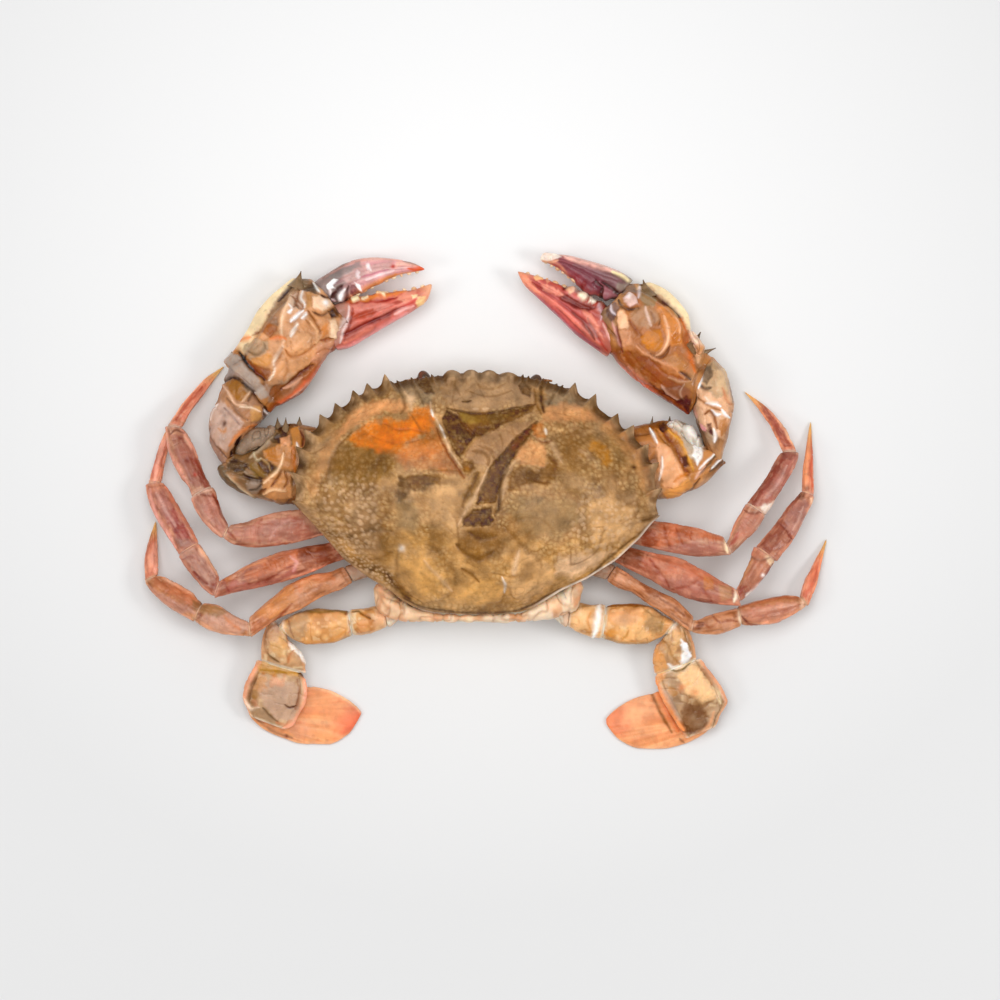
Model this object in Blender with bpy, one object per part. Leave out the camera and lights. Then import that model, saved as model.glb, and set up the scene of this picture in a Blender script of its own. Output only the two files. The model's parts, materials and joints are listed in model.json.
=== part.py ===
# Soft-shell crab, lying flat and spread, life size.
# Sizes are in millimetres and are multiplied by MM when a mesh is made; headings are degrees from +X.
import math
import bpy
import bmesh
from mathutils import Vector

MM = 0.001
GAP = 0.3
HALF_GAP = GAP / 2.0
COLLECTION = "soft_shell_crab"
CUTTERS = "cutters"

# Carapace
MARGIN_ROWS = (
    (33.3, 10.5, 10.5),
    (32.0, 20.0, 17.5),
    (30.0, 27.3, 23.5),
    (27.0, 33.3, 29.2),
    (22.5, 39.5, 35.0),
    (18.5, 44.1, 39.8),
    (14.3, 46.8, 44.2),
    (8.0, 48.6, 47.2),
    (1.0, 48.9, 47.9),
    (-1.5, 49.0, 47.8),
    (-4.0, 46.5, 48.4),
    (-10.0, 41.0, 43.7),
    (-16.0, 35.9, 37.3),
    (-21.0, 29.0, 29.5),
    (-24.2, 23.7, 22.6),
    (-27.0, 20.3, 18.0),
    (-28.8, 16.9, 15.0),
    (-30.0, 12.0, 11.5),
    (-30.6, 5.0, 5.0),
)
SHELL_CENTRE_Y = 0.0
SHELL_UNDER_Z = 16.0
SHELL_EDGE_Z = 17.8
SHELL_FRONT_RISE = 1.4
SHELL_CROWN = 16.4
SHELL_CROWN_POWER = 2.6
SHELL_RINGS = (0.96, 0.9, 0.8, 0.66, 0.48, 0.28, 0.1)
TEETH_LEFT = (
    (-25.0, 33.9, 88.0, 5.2),
    (-29.8, 31.5, 92.0, 4.8),
    (-33.6, 29.6, 98.0, 4.8),
    (-38.4, 26.1, 100.0, 4.6),
    (-42.5, 23.1, 102.0, 4.6),
    (-46.8, 19.1, 106.0, 4.6),
    (-49.0, 14.5, 110.0, 4.6),
    (-50.6, 7.5, 118.0, 4.4),
    (-50.1, -0.2, 140.0, 4.6),
)
TEETH_RIGHT = (
    (26.1, 31.6, 84.0, 5.0),
    (31.7, 28.6, 80.0, 4.6),
    (37.6, 23.3, 78.0, 4.6),
    (41.9, 20.2, 76.0, 4.8),
    (45.9, 15.1, 72.0, 4.6),
    (48.6, 10.2, 66.0, 4.4),
    (49.6, 3.2, 58.0, 4.4),
    (48.9, -4.2, 30.0, 4.4),
)
TOOTH_BASE_HALF = 2.4
TOOTH_HALF_THICK = 1.5
TOOTH_Z = 18.0
LOBES = ((-7.0, 34.9, 90.0), (-1.9, 35.0, 90.0), (3.0, 34.9, 90.0), (8.0, 34.3, 88.0))
LOBE_LENGTH = 4.2
LOBE_BASE_HALF = 2.5
LOBE_Z = 18.6
# How a spine narrows: how far back from the tip, as a share of its length, and how wide there
SHARP = ((1.0, 1.0), (0.45, 0.62), (0.0, 0.15))
ROUNDED = ((1.0, 1.0), (0.4, 0.92), (0.14, 0.66), (0.0, 0.3))
BLUNT = ((1.0, 1.0), (0.35, 0.85), (0.0, 0.4))

# Underbody, rings from the belly flat up to the carapace: height, half-width, front, rear, then how far
# each ring takes the outline of the carapace and at what scale
BODY_RINGS = (
    (0.0, 17.0, 15.5, -21.0, 0.0, 1.0),
    (1.2, 22.0, 18.0, -24.5, 0.0, 1.0),
    (4.0, 28.5, 21.5, -27.5, 0.1, 0.70),
    (8.0, 33.0, 25.0, -29.5, 0.4, 0.78),
    (12.0, 36.0, 27.5, -30.8, 0.8, 0.86),
    (15.7, 40.0, 29.0, -31.4, 1.0, 0.93),
)
BODY_POWER = 2.4
BODY_REAR_STRETCH = 1.10
BODY_SIDES = 56

# Limb pieces: length, heading, half-widths to the left and right of travel at STATIONS
STATIONS = (0.0, 0.12, 0.3, 0.5, 0.7, 0.88, 1.0)
PIECES = {
    "l1_merus": (30.2, -175, (2.6, 3.2, 4.2, 5.0, 5.2, 4.1, 1.9),
        (2.6, 3.3, 4.3, 4.1, 3.1, 2.1, 2.1)),
    "l1_carpus": (12.5, 121, (2.1, 2.8, 3.6, 4.0, 4.0, 3.8, 3.5),
        (1.6, 1.6, 1.6, 2.1, 2.6, 3.1, 3.1)),
    "l1_propodus": (18.8, 113, (3.1, 3.0, 3.9, 4.3, 4.2, 3.5, 2.9),
        (2.9, 2.7, 2.5, 2.6, 2.7, 2.4, 2.0)),
    "l1_dactyl": (20.9, 52, (2.2, 2.3, 2.6, 2.4, 2.1, 1.0, 0.2),
        (1.6, 1.3, 0.7, 0.5, 0.3, 0.2, 0.2)),
    "l2_merus": (35.9, -163, (2.6, 2.8, 3.5, 3.7, 3.2, 2.7, 2.9),
        (2.4, 3.0, 3.9, 4.3, 3.7, 2.7, 2.2)),
    "l2_carpus": (12.9, 126, (2.4, 3.0, 3.3, 3.5, 3.6, 3.5, 3.4),
        (2.4, 2.4, 2.5, 2.7, 3.0, 3.1, 3.1)),
    "l2_propodus": (20.1, 118, (3.1, 3.3, 3.8, 4.0, 4.0, 3.3, 2.5),
        (3.2, 3.2, 3.1, 2.9, 2.8, 2.5, 2.3)),
    "l2_dactyl": (17.8, 75, (1.7, 1.7, 1.7, 1.6, 1.2, 0.6, 0.1),
        (1.9, 1.7, 1.4, 1.2, 0.9, 0.5, 0.1)),
    "l3_merus": (30.3, -151, (2.6, 2.9, 2.1, 2.3, 1.7, 2.1, 2.5),
        (2.4, 2.8, 4.7, 5.3, 4.4, 3.5, 2.9)),
    "l3_carpus": (14.4, 163, (2.2, 2.6, 3.2, 3.7, 3.7, 3.1, 2.5),
        (1.8, 1.8, 2.1, 2.8, 3.6, 3.3, 3.0)),
    "l3_propodus": (15.7, 145, (2.8, 3.0, 3.3, 3.5, 3.3, 2.7, 1.9),
        (2.7, 2.9, 3.4, 3.2, 3.0, 2.6, 2.3)),
    "l3_dactyl": (15.6, 86, (1.8, 2.0, 2.3, 2.0, 1.4, 0.7, 0.15),
        (1.9, 1.8, 1.5, 1.2, 0.8, 0.4, 0.1)),
    "r1_merus": (28.7, -8, (2.6, 3.3, 4.0, 3.9, 3.6, 3.0, 2.7),
        (2.6, 3.0, 3.5, 4.0, 4.1, 3.3, 2.7)),
    "r1_carpus": (12.3, 54, (1.0, 1.0, 1.6, 2.2, 2.3, 2.7, 2.7),
        (2.5, 2.6, 2.9, 3.5, 3.8, 3.6, 3.5)),
    "r1_propodus": (17.8, 58, (2.6, 2.5, 2.2, 2.0, 2.2, 2.3, 2.3),
        (3.4, 3.5, 3.5, 3.6, 3.6, 3.2, 2.6)),
    "r1_dactyl": (20.4, 126, (1.7, 1.2, 0.4, -0.1, -0.2, -0.0, 0.1),
        (2.0, 2.4, 2.9, 2.8, 2.2, 0.9, 0.1)),
    "r2_merus": (34.3, -18, (2.4, 2.8, 3.3, 3.9, 2.9, 1.8, 1.1),
        (2.4, 3.0, 3.9, 5.3, 5.7, 4.8, 3.9)),
    "r2_carpus": (12.8, 55, (0.9, 0.9, 1.3, 1.7, 2.2, 3.1, 3.4),
        (2.6, 2.9, 3.4, 3.7, 3.9, 3.7, 3.6)),
    "r2_propodus": (19.8, 54, (2.9, 2.7, 2.4, 2.3, 2.4, 2.0, 1.8),
        (4.1, 4.1, 4.3, 4.0, 3.4, 2.7, 2.2)),
    "r2_dactyl": (19.4, 87, (1.6, 1.6, 1.6, 1.2, 0.8, 0.4, 0.1),
        (1.9, 1.8, 1.5, 1.2, 0.8, 0.4, 0.1)),
    "r3_merus": (26.0, -33, (2.4, 2.5, 2.5, 3.0, 3.6, 3.0, 2.4),
        (2.4, 2.4, 1.4, 1.6, 1.4, 1.6, 1.7)),
    "r3_carpus": (12.9, 11, (1.6, 1.3, 1.8, 2.2, 2.3, 2.4, 2.4),
        (1.7, 2.4, 3.2, 3.7, 3.4, 3.0, 2.7)),
    "r3_propodus": (17.7, 13, (2.7, 2.9, 3.1, 3.1, 3.0, 2.5, 1.8),
        (2.2, 3.1, 3.7, 4.0, 3.4, 2.3, 1.5)),
    "r3_dactyl": (17.9, 69, (1.4, 1.5, 1.7, 1.3, 0.9, 0.4, 0.1),
        (1.9, 1.9, 1.9, 1.4, 0.9, 0.4, 0.1)),
    "ls_base": (9.8, -171, (2.6, 2.9, 3.4, 3.8, 3.8, 3.6, 3.4),
        (2.6, 3.0, 3.4, 3.2, 3.2, 3.3, 3.3)),
    "ls_merus": (17.9, -172, (3.6, 4.0, 4.8, 4.6, 4.3, 3.5, 2.5),
        (3.2, 3.7, 4.4, 5.0, 4.8, 3.5, 2.6)),
    "ls_carpus": (9.3, -102, (1.0, 1.0, 2.9, 5.5, 6.9, 7.5, 8.0),
        (4.8, 5.4, 5.6, 5.4, 5.2, 4.9, 4.7)),
    "ls_propodus": (15.6, -111, (6.9, 8.7, 10.1, 10.5, 9.9, 9.5, 7.7),
        (5.8, 5.8, 6.1, 6.4, 5.9, 3.8, 1.9)),
    "ls_paddle": (30.4, -1, (1.6, 4.3, 6.4, 6.9, 6.0, 3.4, 0.5),
        (1.1, 4.4, 6.9, 8.5, 8.5, 5.8, 0.3)),
    "rs_base": (9.8, -7, (2.6, 3.0, 4.1, 4.0, 4.1, 4.3, 4.4),
        (2.6, 2.9, 3.8, 4.4, 4.7, 4.7, 4.7)),
    "rs_merus": (17.6, -7, (4.0, 4.8, 5.4, 5.7, 5.3, 3.4, 2.8),
        (4.7, 5.0, 5.5, 5.2, 4.6, 3.4, 2.5)),
    "rs_carpus": (10.2, -72, (3.9, 4.8, 5.2, 5.3, 5.1, 4.8, 4.6),
        (1.9, 3.0, 4.6, 6.0, 6.8, 7.2, 7.4)),
    "rs_propodus": (19.1, -68, (5.6, 6.2, 7.1, 8.0, 8.3, 4.5, 2.5),
        (7.2, 7.8, 8.0, 7.6, 7.0, 6.5, 6.0)),
    "rs_paddle": (29.6, -177, (2.1, 4.9, 7.2, 8.2, 7.8, 5.3, 0.9),
        (2.2, 4.2, 6.7, 6.9, 6.0, 3.6, 0.8)),
    "lc_merus": (30.2, 176, (8.3, 9.3, 10.5, 11.9, 10.8, 8.6, 4.6),
        (8.5, 9.3, 10.3, 10.8, 7.9, 3.4, 3.1)),
    "lc_carpus": (20.1, 77, (2.5, 5.0, 8.0, 8.3, 7.8, 7.8, 7.9),
        (1.9, 1.9, 2.8, 4.5, 7.1, 6.6, 6.6)),
    "lc_palm": (30.7, 40, (9.6, 10.2, 11.9, 14.2, 14.9, 14.8, 11.3),
        (9.2, 9.9, 10.4, 9.0, 7.6, 7.6, 7.6)),
    "lc_thumb": (31.0, 28, (4.5, 6.4, 6.1, 4.2, 2.7, 0.8, 0.3),
        (3.8, 4.6, 4.4, 4.2, 4.1, 3.4, 0.5)),
    "lc_finger": (27.7, 16, (5.2, 6.2, 7.5, 7.0, 5.2, 2.9, 0.3),
        (1.9, 1.7, 1.0, 0.1, -0.4, 0.0, 0.3)),
    "rc_merus": (26.3, 7, (8.5, 9.3, 10.4, 10.8, 9.6, 4.7, 4.1),
        (8.3, 9.0, 9.8, 10.3, 9.2, 6.3, 3.8)),
    "rc_carpus": (18.6, 100, (2.0, 2.2, 2.5, 3.2, 3.3, 2.8, 6.0),
        (2.7, 3.6, 5.8, 7.5, 8.5, 8.6, 8.2)),
    "rc_palm": (32.0, 138, (8.4, 8.9, 9.7, 10.1, 9.9, 8.4, 5.3),
        (8.4, 8.0, 8.4, 12.6, 13.4, 12.1, 7.6)),
    "rc_thumb": (32.9, 147, (6.1, 6.0, 5.7, 4.4, 3.2, 2.0, 0.1),
        (4.5, 5.5, 4.4, 3.8, 2.9, 1.5, 0.3)),
    "rc_finger": (23.8, 153, (1.9, 1.8, 2.9, 1.8, 1.1, 1.0, 1.2),
        (5.5, 5.8, 5.4, 4.5, 3.5, 1.9, 0.9)),
}

# Half-thickness of each kind of piece at STATIONS, and heights of the joints above the floor
THICKNESS = {
    "leg_merus": (1.9, 2.4, 2.8, 2.9, 2.8, 2.4, 1.9),
    "leg_carpus": (1.7, 2.1, 2.5, 2.7, 2.7, 2.4, 2.0),
    "leg_propodus": (1.8, 2.1, 2.4, 2.4, 2.2, 1.8, 1.4),
    "leg_dactyl": (1.3, 1.4, 1.3, 1.1, 0.8, 0.5, 0.25),
    "swim_base": (2.6, 3.0, 3.3, 3.5, 3.4, 3.2, 2.8),
    "swim_merus": (2.6, 3.2, 3.7, 3.9, 3.6, 3.0, 2.3),
    "swim_carpus": (1.9, 2.4, 2.9, 3.0, 2.7, 2.2, 1.7),
    "swim_propodus": (1.4, 1.5, 1.6, 1.6, 1.4, 1.1, 0.8),
    "swim_paddle": (0.5, 0.7, 0.9, 0.9, 0.8, 0.55, 0.3),
    "claw_merus": (5.0, 5.8, 6.2, 6.2, 5.8, 4.6, 3.2),
    "claw_carpus": (3.2, 4.4, 5.8, 6.4, 6.6, 6.2, 5.4),
    "claw_palm": (5.2, 6.0, 6.8, 7.1, 7.0, 6.3, 5.4),
    "claw_thumb": (4.4, 4.6, 4.3, 3.7, 2.9, 1.8, 0.6),
    "claw_finger": (3.6, 4.0, 3.9, 3.3, 2.6, 1.6, 0.6),
}
LEG_KINDS = ("merus", "carpus", "propodus", "dactyl")
SWIM_KINDS = ("base", "merus", "carpus", "propodus")
CLAW_KINDS = ("merus", "carpus", "palm")
LEG_HEIGHTS = {
    "1": (9.5, 13.5, 12.0, 6.6, 0.3),
    "2": (9.0, 12.5, 11.0, 5.0, 0.3),
    "3": (8.6, 11.0, 9.5, 4.6, 0.3),
}
SWIM_HEIGHTS = (9.0, 8.4, 7.4, 5.8, 3.9)
CLAW_HEIGHTS = (9.2, 8.6, 7.6, 6.6)
ROOTS = {
    "l1": (-37.6, -5.9), "l2": (-35.8, -13.2), "l3": (-34.9, -19.9), "ls": (-24.6, -31.4), "lc": (-35.9, 9.1),
    "r1": (38.7, -8.3), "r2": (37.0, -14.2), "r3": (35.8, -19.6), "rs": (24.2, -31.4), "rc": (36.8, 9.1),
}
WRIST_HEADING = {"lc": 42.0, "rc": 157.0}
COXA_LENGTH = {"claw": 8.0, "leg": 8.0, "swim": 14.0}
COXA_AIM = (0.0, -8.0)
COXA_SCALE = {"claw": 0.92, "leg": 0.95, "swim": 1.25}
COXA_SPARE = 0.05
LEG_SIDES = 12
CLAW_SIDES = 16
TILT_REACH = 0.3
WRIST = 2
SECTION_POWER = 2.3
FINGER_START = {"lc": (5.0, 0.3), "rc": (-3.8, 0.3)}
THUMB_START = {"lc": (-39.8, 43.5), "rc": (38.2, 43.5)}
FINGER_Z = (6.6, 6.2)
PADDLE_START = {"ls": (-61.8, -57.0), "rs": (64.0, -58.1)}
PADDLE_Z = (0.75, 0.75)
TOOTH_COUNT = 9
TOOTH_RISE = 1.3
TOOTH_ROOTED = 2.2
TOOTH_HALF = 1.05
# Spines of the limbs: tip, heading, length with its root, half-width
SPINES = {
    "claw_palm_l": ((-47.6, 61.6, 8.5, 75.0, 4.8, 1.5), (-66.4, 39.8, 8.5, 150.0, 5.0, 1.8)),
    "claw_merus_l": ((-54.0, 22.2, 9.4, 95.0, 4.2, 1.2), (-51.7, 22.2, 11.0, 90.0, 4.2, 1.0),
                     (-48.0, 22.4, 9.0, 88.0, 4.2, 1.3)),
    "claw_palm_r": ((44.4, 59.3, 8.5, 105.0, 5.0, 1.5), (59.9, 45.2, 8.5, 62.0, 6.5, 1.9),
                    (64.0, 40.9, 8.5, 22.0, 6.4, 1.2)),
    "claw_merus_r": ((47.0, 22.5, 9.4, 82.0, 4.6, 0.9), (51.6, 22.5, 9.4, 86.0, 4.4, 1.3)),
    "swim_merus_l": ((-51.2, -26.8, 8.6, 131.0, 4.4, 0.55),),
}

COLOURS = {
    "shell": (0.30, 0.18, 0.08, 1.0),
    "belly": (0.80, 0.68, 0.52, 1.0),
    "leg": (0.42, 0.13, 0.07, 1.0),
    "claw": (0.45, 0.22, 0.09, 1.0),
    "finger": (0.45, 0.12, 0.10, 1.0),
    "swim": (0.62, 0.34, 0.15, 1.0),
    "paddle": (0.80, 0.32, 0.16, 1.0),
    "eye": (0.03, 0.02, 0.02, 1.0),
}
ROUGHNESS = {"eye": 0.1, "belly": 0.45}
PLAIN_ROUGHNESS = 0.35


def clear_scene():
    for thing in list(bpy.data.objects):
        bpy.data.objects.remove(thing, do_unlink=True)


def collection(name, hidden=False):
    group = bpy.data.collections.new(name)
    bpy.context.scene.collection.children.link(group)
    group.hide_render = hidden
    return group


def material_for(name, look):
    surface = bpy.data.materials.new(name + "_shell")
    surface.use_nodes = True
    shader = surface.node_tree.nodes["Principled BSDF"]
    shader.inputs["Base Color"].default_value = COLOURS[look]
    shader.inputs["Roughness"].default_value = ROUGHNESS.get(look, PLAIN_ROUGHNESS)
    shader.inputs["Metallic"].default_value = 0.0
    return surface


def ring_solid(name, rings, group, look=None):
    """A closed body through rings of points: quads between rings, one flat cap at each end."""
    count = len(rings[0])
    points = [Vector(p) * MM for ring in rings for p in ring]
    faces = []
    for r in range(len(rings) - 1):
        for i in range(count):
            j = (i + 1) % count
            faces.append((r * count + i, r * count + j, (r + 1) * count + j, (r + 1) * count + i))
    faces.append(tuple(reversed(range(count))))
    faces.append(tuple(range((len(rings) - 1) * count, len(rings) * count)))
    mesh = bpy.data.meshes.new(name)
    mesh.from_pydata(points, [], faces)
    outward(mesh)
    thing = bpy.data.objects.new(name, mesh)
    group.objects.link(thing)
    if look:
        mesh.materials.append(material_for(name, look))
        for face in mesh.polygons:
            face.use_smooth = True
    return thing


def outward(mesh):
    shape = bmesh.new()
    shape.from_mesh(mesh)
    bmesh.ops.recalc_face_normals(shape, faces=shape.faces)
    if shape.calc_volume(signed=True) < 0.0:
        bmesh.ops.reverse_faces(shape, faces=shape.faces)
    shape.to_mesh(mesh)
    shape.free()


def signed_power(value, power):
    return math.copysign(abs(value) ** power, value)


def section(centre, heading, pitch, left, right, half, sides, floor=None):
    """One oval section: its own half-width on each side of travel, the same half-thickness above and below."""
    across = Vector((-math.sin(heading), math.cos(heading), 0.0))
    up = Vector((-math.sin(pitch) * math.cos(heading), -math.sin(pitch) * math.sin(heading), math.cos(pitch)))
    shift = (left - right) / 2.0
    width = (left + right) / 2.0
    ring = []
    for i in range(sides):
        turn = 2.0 * math.pi * i / sides
        c = signed_power(math.cos(turn), 2.0 / SECTION_POWER)
        s = signed_power(math.sin(turn), 2.0 / SECTION_POWER)
        point = centre + across * (shift + width * c) + up * (half * s)
        if floor is not None:
            point.z = max(point.z, floor)
        ring.append(point)
    return ring


def limb_rings(start, end, lefts, rights, halves, sides, joint_in=None, joint_out=None, grow=0.0):
    """Sections along a straight piece; near each end they turn to lie in the plane of that joint."""
    axis = end - start
    heading = math.atan2(axis.y, axis.x)
    pitch = math.asin(axis.z / axis.length)
    turn_in = angle_between(joint_in[0], heading) if joint_in else 0.0
    turn_out = angle_between(joint_out[0], heading) if joint_out else 0.0
    lift_in = joint_in[1] - pitch if joint_in else 0.0
    lift_out = joint_out[1] - pitch if joint_out else 0.0
    rings = []
    for k, t in enumerate(STATIONS):
        near = max(0.0, 1.0 - t / TILT_REACH)
        far = max(0.0, 1.0 - (1.0 - t) / TILT_REACH)
        at_heading = heading + turn_in * near + turn_out * far
        at_pitch = pitch + lift_in * near + lift_out * far
        centre = start + axis * t
        forward = Vector((math.cos(at_pitch) * math.cos(at_heading),
                          math.cos(at_pitch) * math.sin(at_heading), math.sin(at_pitch)))
        if k == 0:
            centre = centre + forward * (HALF_GAP - grow)
        if k == len(STATIONS) - 1:
            centre = centre - forward * (HALF_GAP - grow)
        rings.append(section(centre, at_heading, at_pitch, lefts[k] + grow, rights[k] + grow,
                             halves[k] + grow, sides, 0.0 if grow == 0.0 else None))
    return rings


def angle_between(target, source):
    return math.atan2(math.sin(target - source), math.cos(target - source))


def along(start, length, heading_degrees, end_z):
    """The end of a piece whose length is measured level, at the height of its far joint."""
    heading = math.radians(heading_degrees)
    return Vector((start.x + length * math.cos(heading), start.y + length * math.sin(heading), end_z))


def joint_plane(a, b, c):
    """Heading and pitch halfway between the piece that ends at b and the piece that starts there."""
    first = (b - a).normalized()
    second = (c - b).normalized()
    middle = (first + second).normalized()
    return math.atan2(middle.y, middle.x), math.asin(middle.z)


def chain_points(code, kinds, heights):
    points = [Vector((ROOTS[code][0], ROOTS[code][1], heights[0]))]
    for k, kind in enumerate(kinds):
        length, heading = PIECES[code + "_" + kind][:2]
        points.append(along(points[-1], length, heading, heights[k + 1]))
    return points


def chain_planes(code, points):
    """The plane of each joint of one limb; the wrist of a claw has its own heading."""
    planes = [None]
    for k in range(1, len(points) - 1):
        planes.append(joint_plane(points[k - 1], points[k], points[k + 1]))
    planes.append(None)
    if code in WRIST_HEADING:
        planes[WRIST] = (math.radians(WRIST_HEADING[code]), planes[WRIST][1])
    return planes


def side_name(code):
    return "l" if code[0] == "l" else "r"


def chain(code, kinds, heights, family, label, looks, sides, group):
    """One limb: its pieces end to end, each pair facing across a thin gap."""
    points = chain_points(code, kinds, heights)
    planes = chain_planes(code, points)
    made = {}
    for k, kind in enumerate(kinds):
        _, _, lefts, rights = PIECES[code + "_" + kind]
        rings = limb_rings(points[k], points[k + 1], lefts, rights, THICKNESS[family + "_" + kind], sides,
                           planes[k], planes[k + 1])
        name = label + "_" + kind + "_" + side_name(code)
        made[kind] = ring_solid(name, rings, group, looks[kind])
    return made, points


def coxa(code, kinds, heights, family, sides, group):
    """The short root piece of a limb, fused into the underbody and facing the limb across a thin gap."""
    points = chain_points(code, kinds, heights)
    first = points[0]
    axis = (points[1] - first).normalized()
    heading = math.atan2(axis.y, axis.x)
    pitch = math.asin(axis.z)
    inward = Vector((COXA_AIM[0] - first.x, COXA_AIM[1] - first.y, 0.0)).normalized()
    back = first + inward * COXA_LENGTH[family]
    back_heading = math.atan2(-inward.y, -inward.x)
    _, _, lefts, rights = PIECES[code + "_" + kinds[0]]
    scale = COXA_SCALE[family]
    left = lefts[0] * scale
    right = rights[0] * scale
    half = THICKNESS[family + "_" + kinds[0]][0] * scale
    rings = [
        section(back, back_heading, 0.0, left, right, half, sides),
        section(first + axis * COXA_SPARE, heading, pitch, left, right, half, sides),
    ]
    return ring_solid("coxa_" + code, rings, group)


def spine(name, tip, heading_degrees, length, half_width, half_thick, group, profile, sides=6):
    """A tapering tooth: a root section set inside what it grows from, then the profile out to a small tip."""
    heading = math.radians(heading_degrees)
    forward = Vector((math.cos(heading), math.sin(heading), 0.0))
    rings = []
    for back, width in profile:
        centre = tip - forward * (length * back)
        rings.append(section(centre, heading, 0.0, half_width * width, half_width * width,
                             half_thick * width, sides))
    return ring_solid(name, rings, group)


def fuse(target, pieces, operation="UNION"):
    """One Boolean with a collection of closed pieces, applied; the pieces are then removed."""
    group = collection(target.name + "_" + operation.lower(), True)
    for piece in pieces:
        for owner in list(piece.users_collection):
            owner.objects.unlink(piece)
        group.objects.link(piece)
        piece.display_type = "WIRE"
    modifier = target.modifiers.new("fuse", "BOOLEAN")
    modifier.operation = operation
    modifier.operand_type = "COLLECTION"
    modifier.collection = group
    modifier.solver = "MANIFOLD"
    graph = bpy.context.evaluated_depsgraph_get()
    made = bpy.data.meshes.new_from_object(target.evaluated_get(graph), depsgraph=graph)
    target.modifiers.clear()
    target.data = made
    for piece in list(group.objects):
        bpy.data.objects.remove(piece, do_unlink=True)
    bpy.data.collections.remove(group)
    largest_surface(target)


def largest_surface(target):
    """Keeps only the largest closed surface of a node and welds its doubles."""
    shape = bmesh.new()
    shape.from_mesh(target.data)
    bmesh.ops.remove_doubles(shape, verts=shape.verts, dist=0.00001)
    shape.faces.ensure_lookup_table()
    unseen = set(range(len(shape.faces)))
    best = set()
    while unseen:
        stack = [unseen.pop()]
        island = set(stack)
        while stack:
            face = shape.faces[stack.pop()]
            for edge in face.edges:
                for other in edge.link_faces:
                    if other.index in unseen:
                        unseen.discard(other.index)
                        island.add(other.index)
                        stack.append(other.index)
        if len(island) > len(best):
            best = island
    doomed = [face for face in shape.faces if face.index not in best]
    bmesh.ops.delete(shape, geom=doomed, context="FACES")
    loose = [vert for vert in shape.verts if not vert.link_faces]
    bmesh.ops.delete(shape, geom=loose, context="VERTS")
    shape.to_mesh(target.data)
    shape.free()
    for face in target.data.polygons:
        face.use_smooth = True


def margin_outline():
    """The outline of the carapace: down the right side from the front, back up the left side."""
    right = [(row[2], row[0]) for row in MARGIN_ROWS]
    left = [(-row[1], row[0]) for row in MARGIN_ROWS]
    return right + list(reversed(left))


def carapace(group):
    outline = margin_outline()
    centre = Vector((0.0, SHELL_CENTRE_Y, 0.0))
    front = MARGIN_ROWS[0][0]

    def ring(scale, height):
        points = []
        for x, y in outline:
            flat = centre + (Vector((x, y, 0.0)) - centre) * scale
            flat.z = height + SHELL_FRONT_RISE * scale * max(0.0, y / front) ** 3
            points.append(flat)
        return points

    rings = [ring(0.9, SHELL_UNDER_Z), ring(0.975, SHELL_UNDER_Z)]
    rings[0] = [Vector((p.x, p.y, SHELL_UNDER_Z)) for p in rings[0]]
    rings[1] = [Vector((p.x, p.y, SHELL_UNDER_Z)) for p in rings[1]]
    rings.append(ring(1.0, SHELL_EDGE_Z))
    for scale in SHELL_RINGS:
        rise = SHELL_CROWN * (1.0 - scale ** SHELL_CROWN_POWER) ** 0.9
        rings.append(ring(scale, SHELL_EDGE_Z + 0.3 + rise))
    shell = ring_solid("carapace", rings, group, "shell")
    pieces = []
    for number, (x, y, heading, length) in enumerate(TEETH_LEFT + TEETH_RIGHT):
        pieces.append(spine("tooth_%d" % number, Vector((x, y, TOOTH_Z)), heading, length, TOOTH_BASE_HALF,
                            TOOTH_HALF_THICK, group, SHARP))
    for number, (x, y, heading) in enumerate(LOBES):
        pieces.append(spine("lobe_%d" % number, Vector((x, y, LOBE_Z)), heading, LOBE_LENGTH, LOBE_BASE_HALF,
                            TOOTH_HALF_THICK, group, ROUNDED, 8))
    fuse(shell, pieces)
    return shell


def margin_radius(outline, turn):
    """How far the outline of the carapace lies from the middle of the body in one direction."""
    direction = Vector((math.cos(turn), math.sin(turn)))
    best = 0.0
    for k in range(len(outline)):
        a = Vector(outline[k])
        edge = Vector(outline[(k + 1) % len(outline)]) - a
        across = direction.x * edge.y - direction.y * edge.x
        if abs(across) < 1e-9:
            continue
        reach = (a.x * edge.y - a.y * edge.x) / across
        share = (a.x * direction.y - a.y * direction.x) / across
        if reach > 0.0 and -1e-6 <= share <= 1.0 + 1e-6:
            best = max(best, reach)
    return best


def body_rings():
    outline = margin_outline()
    rings = []
    for height, half, front, rear, share, scale in BODY_RINGS:
        ring = []
        for i in range(BODY_SIDES):
            turn = 2.0 * math.pi * (i + 0.5) / BODY_SIDES
            c = math.cos(turn)
            s = math.sin(turn)
            reach = front if s > 0.0 else -rear
            oval = (abs(c / half) ** BODY_POWER + abs(s / reach) ** BODY_POWER) ** (-1.0 / BODY_POWER)
            shell = margin_radius(outline, turn) * scale
            stretch = BODY_REAR_STRETCH if s < 0.0 else 1.0
            x = c * (oval * (1.0 - share) + shell * share)
            y = s * (oval * (1.0 - share) + shell * share * stretch)
            ring.append(Vector((x, y, height)))
        rings.append(ring)
    return rings


def limb_plan(code):
    """Kinds, joint heights, family and number of sides of one limb."""
    if code[1] == "c":
        return CLAW_KINDS, CLAW_HEIGHTS, "claw", CLAW_SIDES
    if code[1] == "s":
        return SWIM_KINDS, SWIM_HEIGHTS, "swim", LEG_SIDES
    return LEG_KINDS, LEG_HEIGHTS[code[1]], "leg", LEG_SIDES


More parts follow.
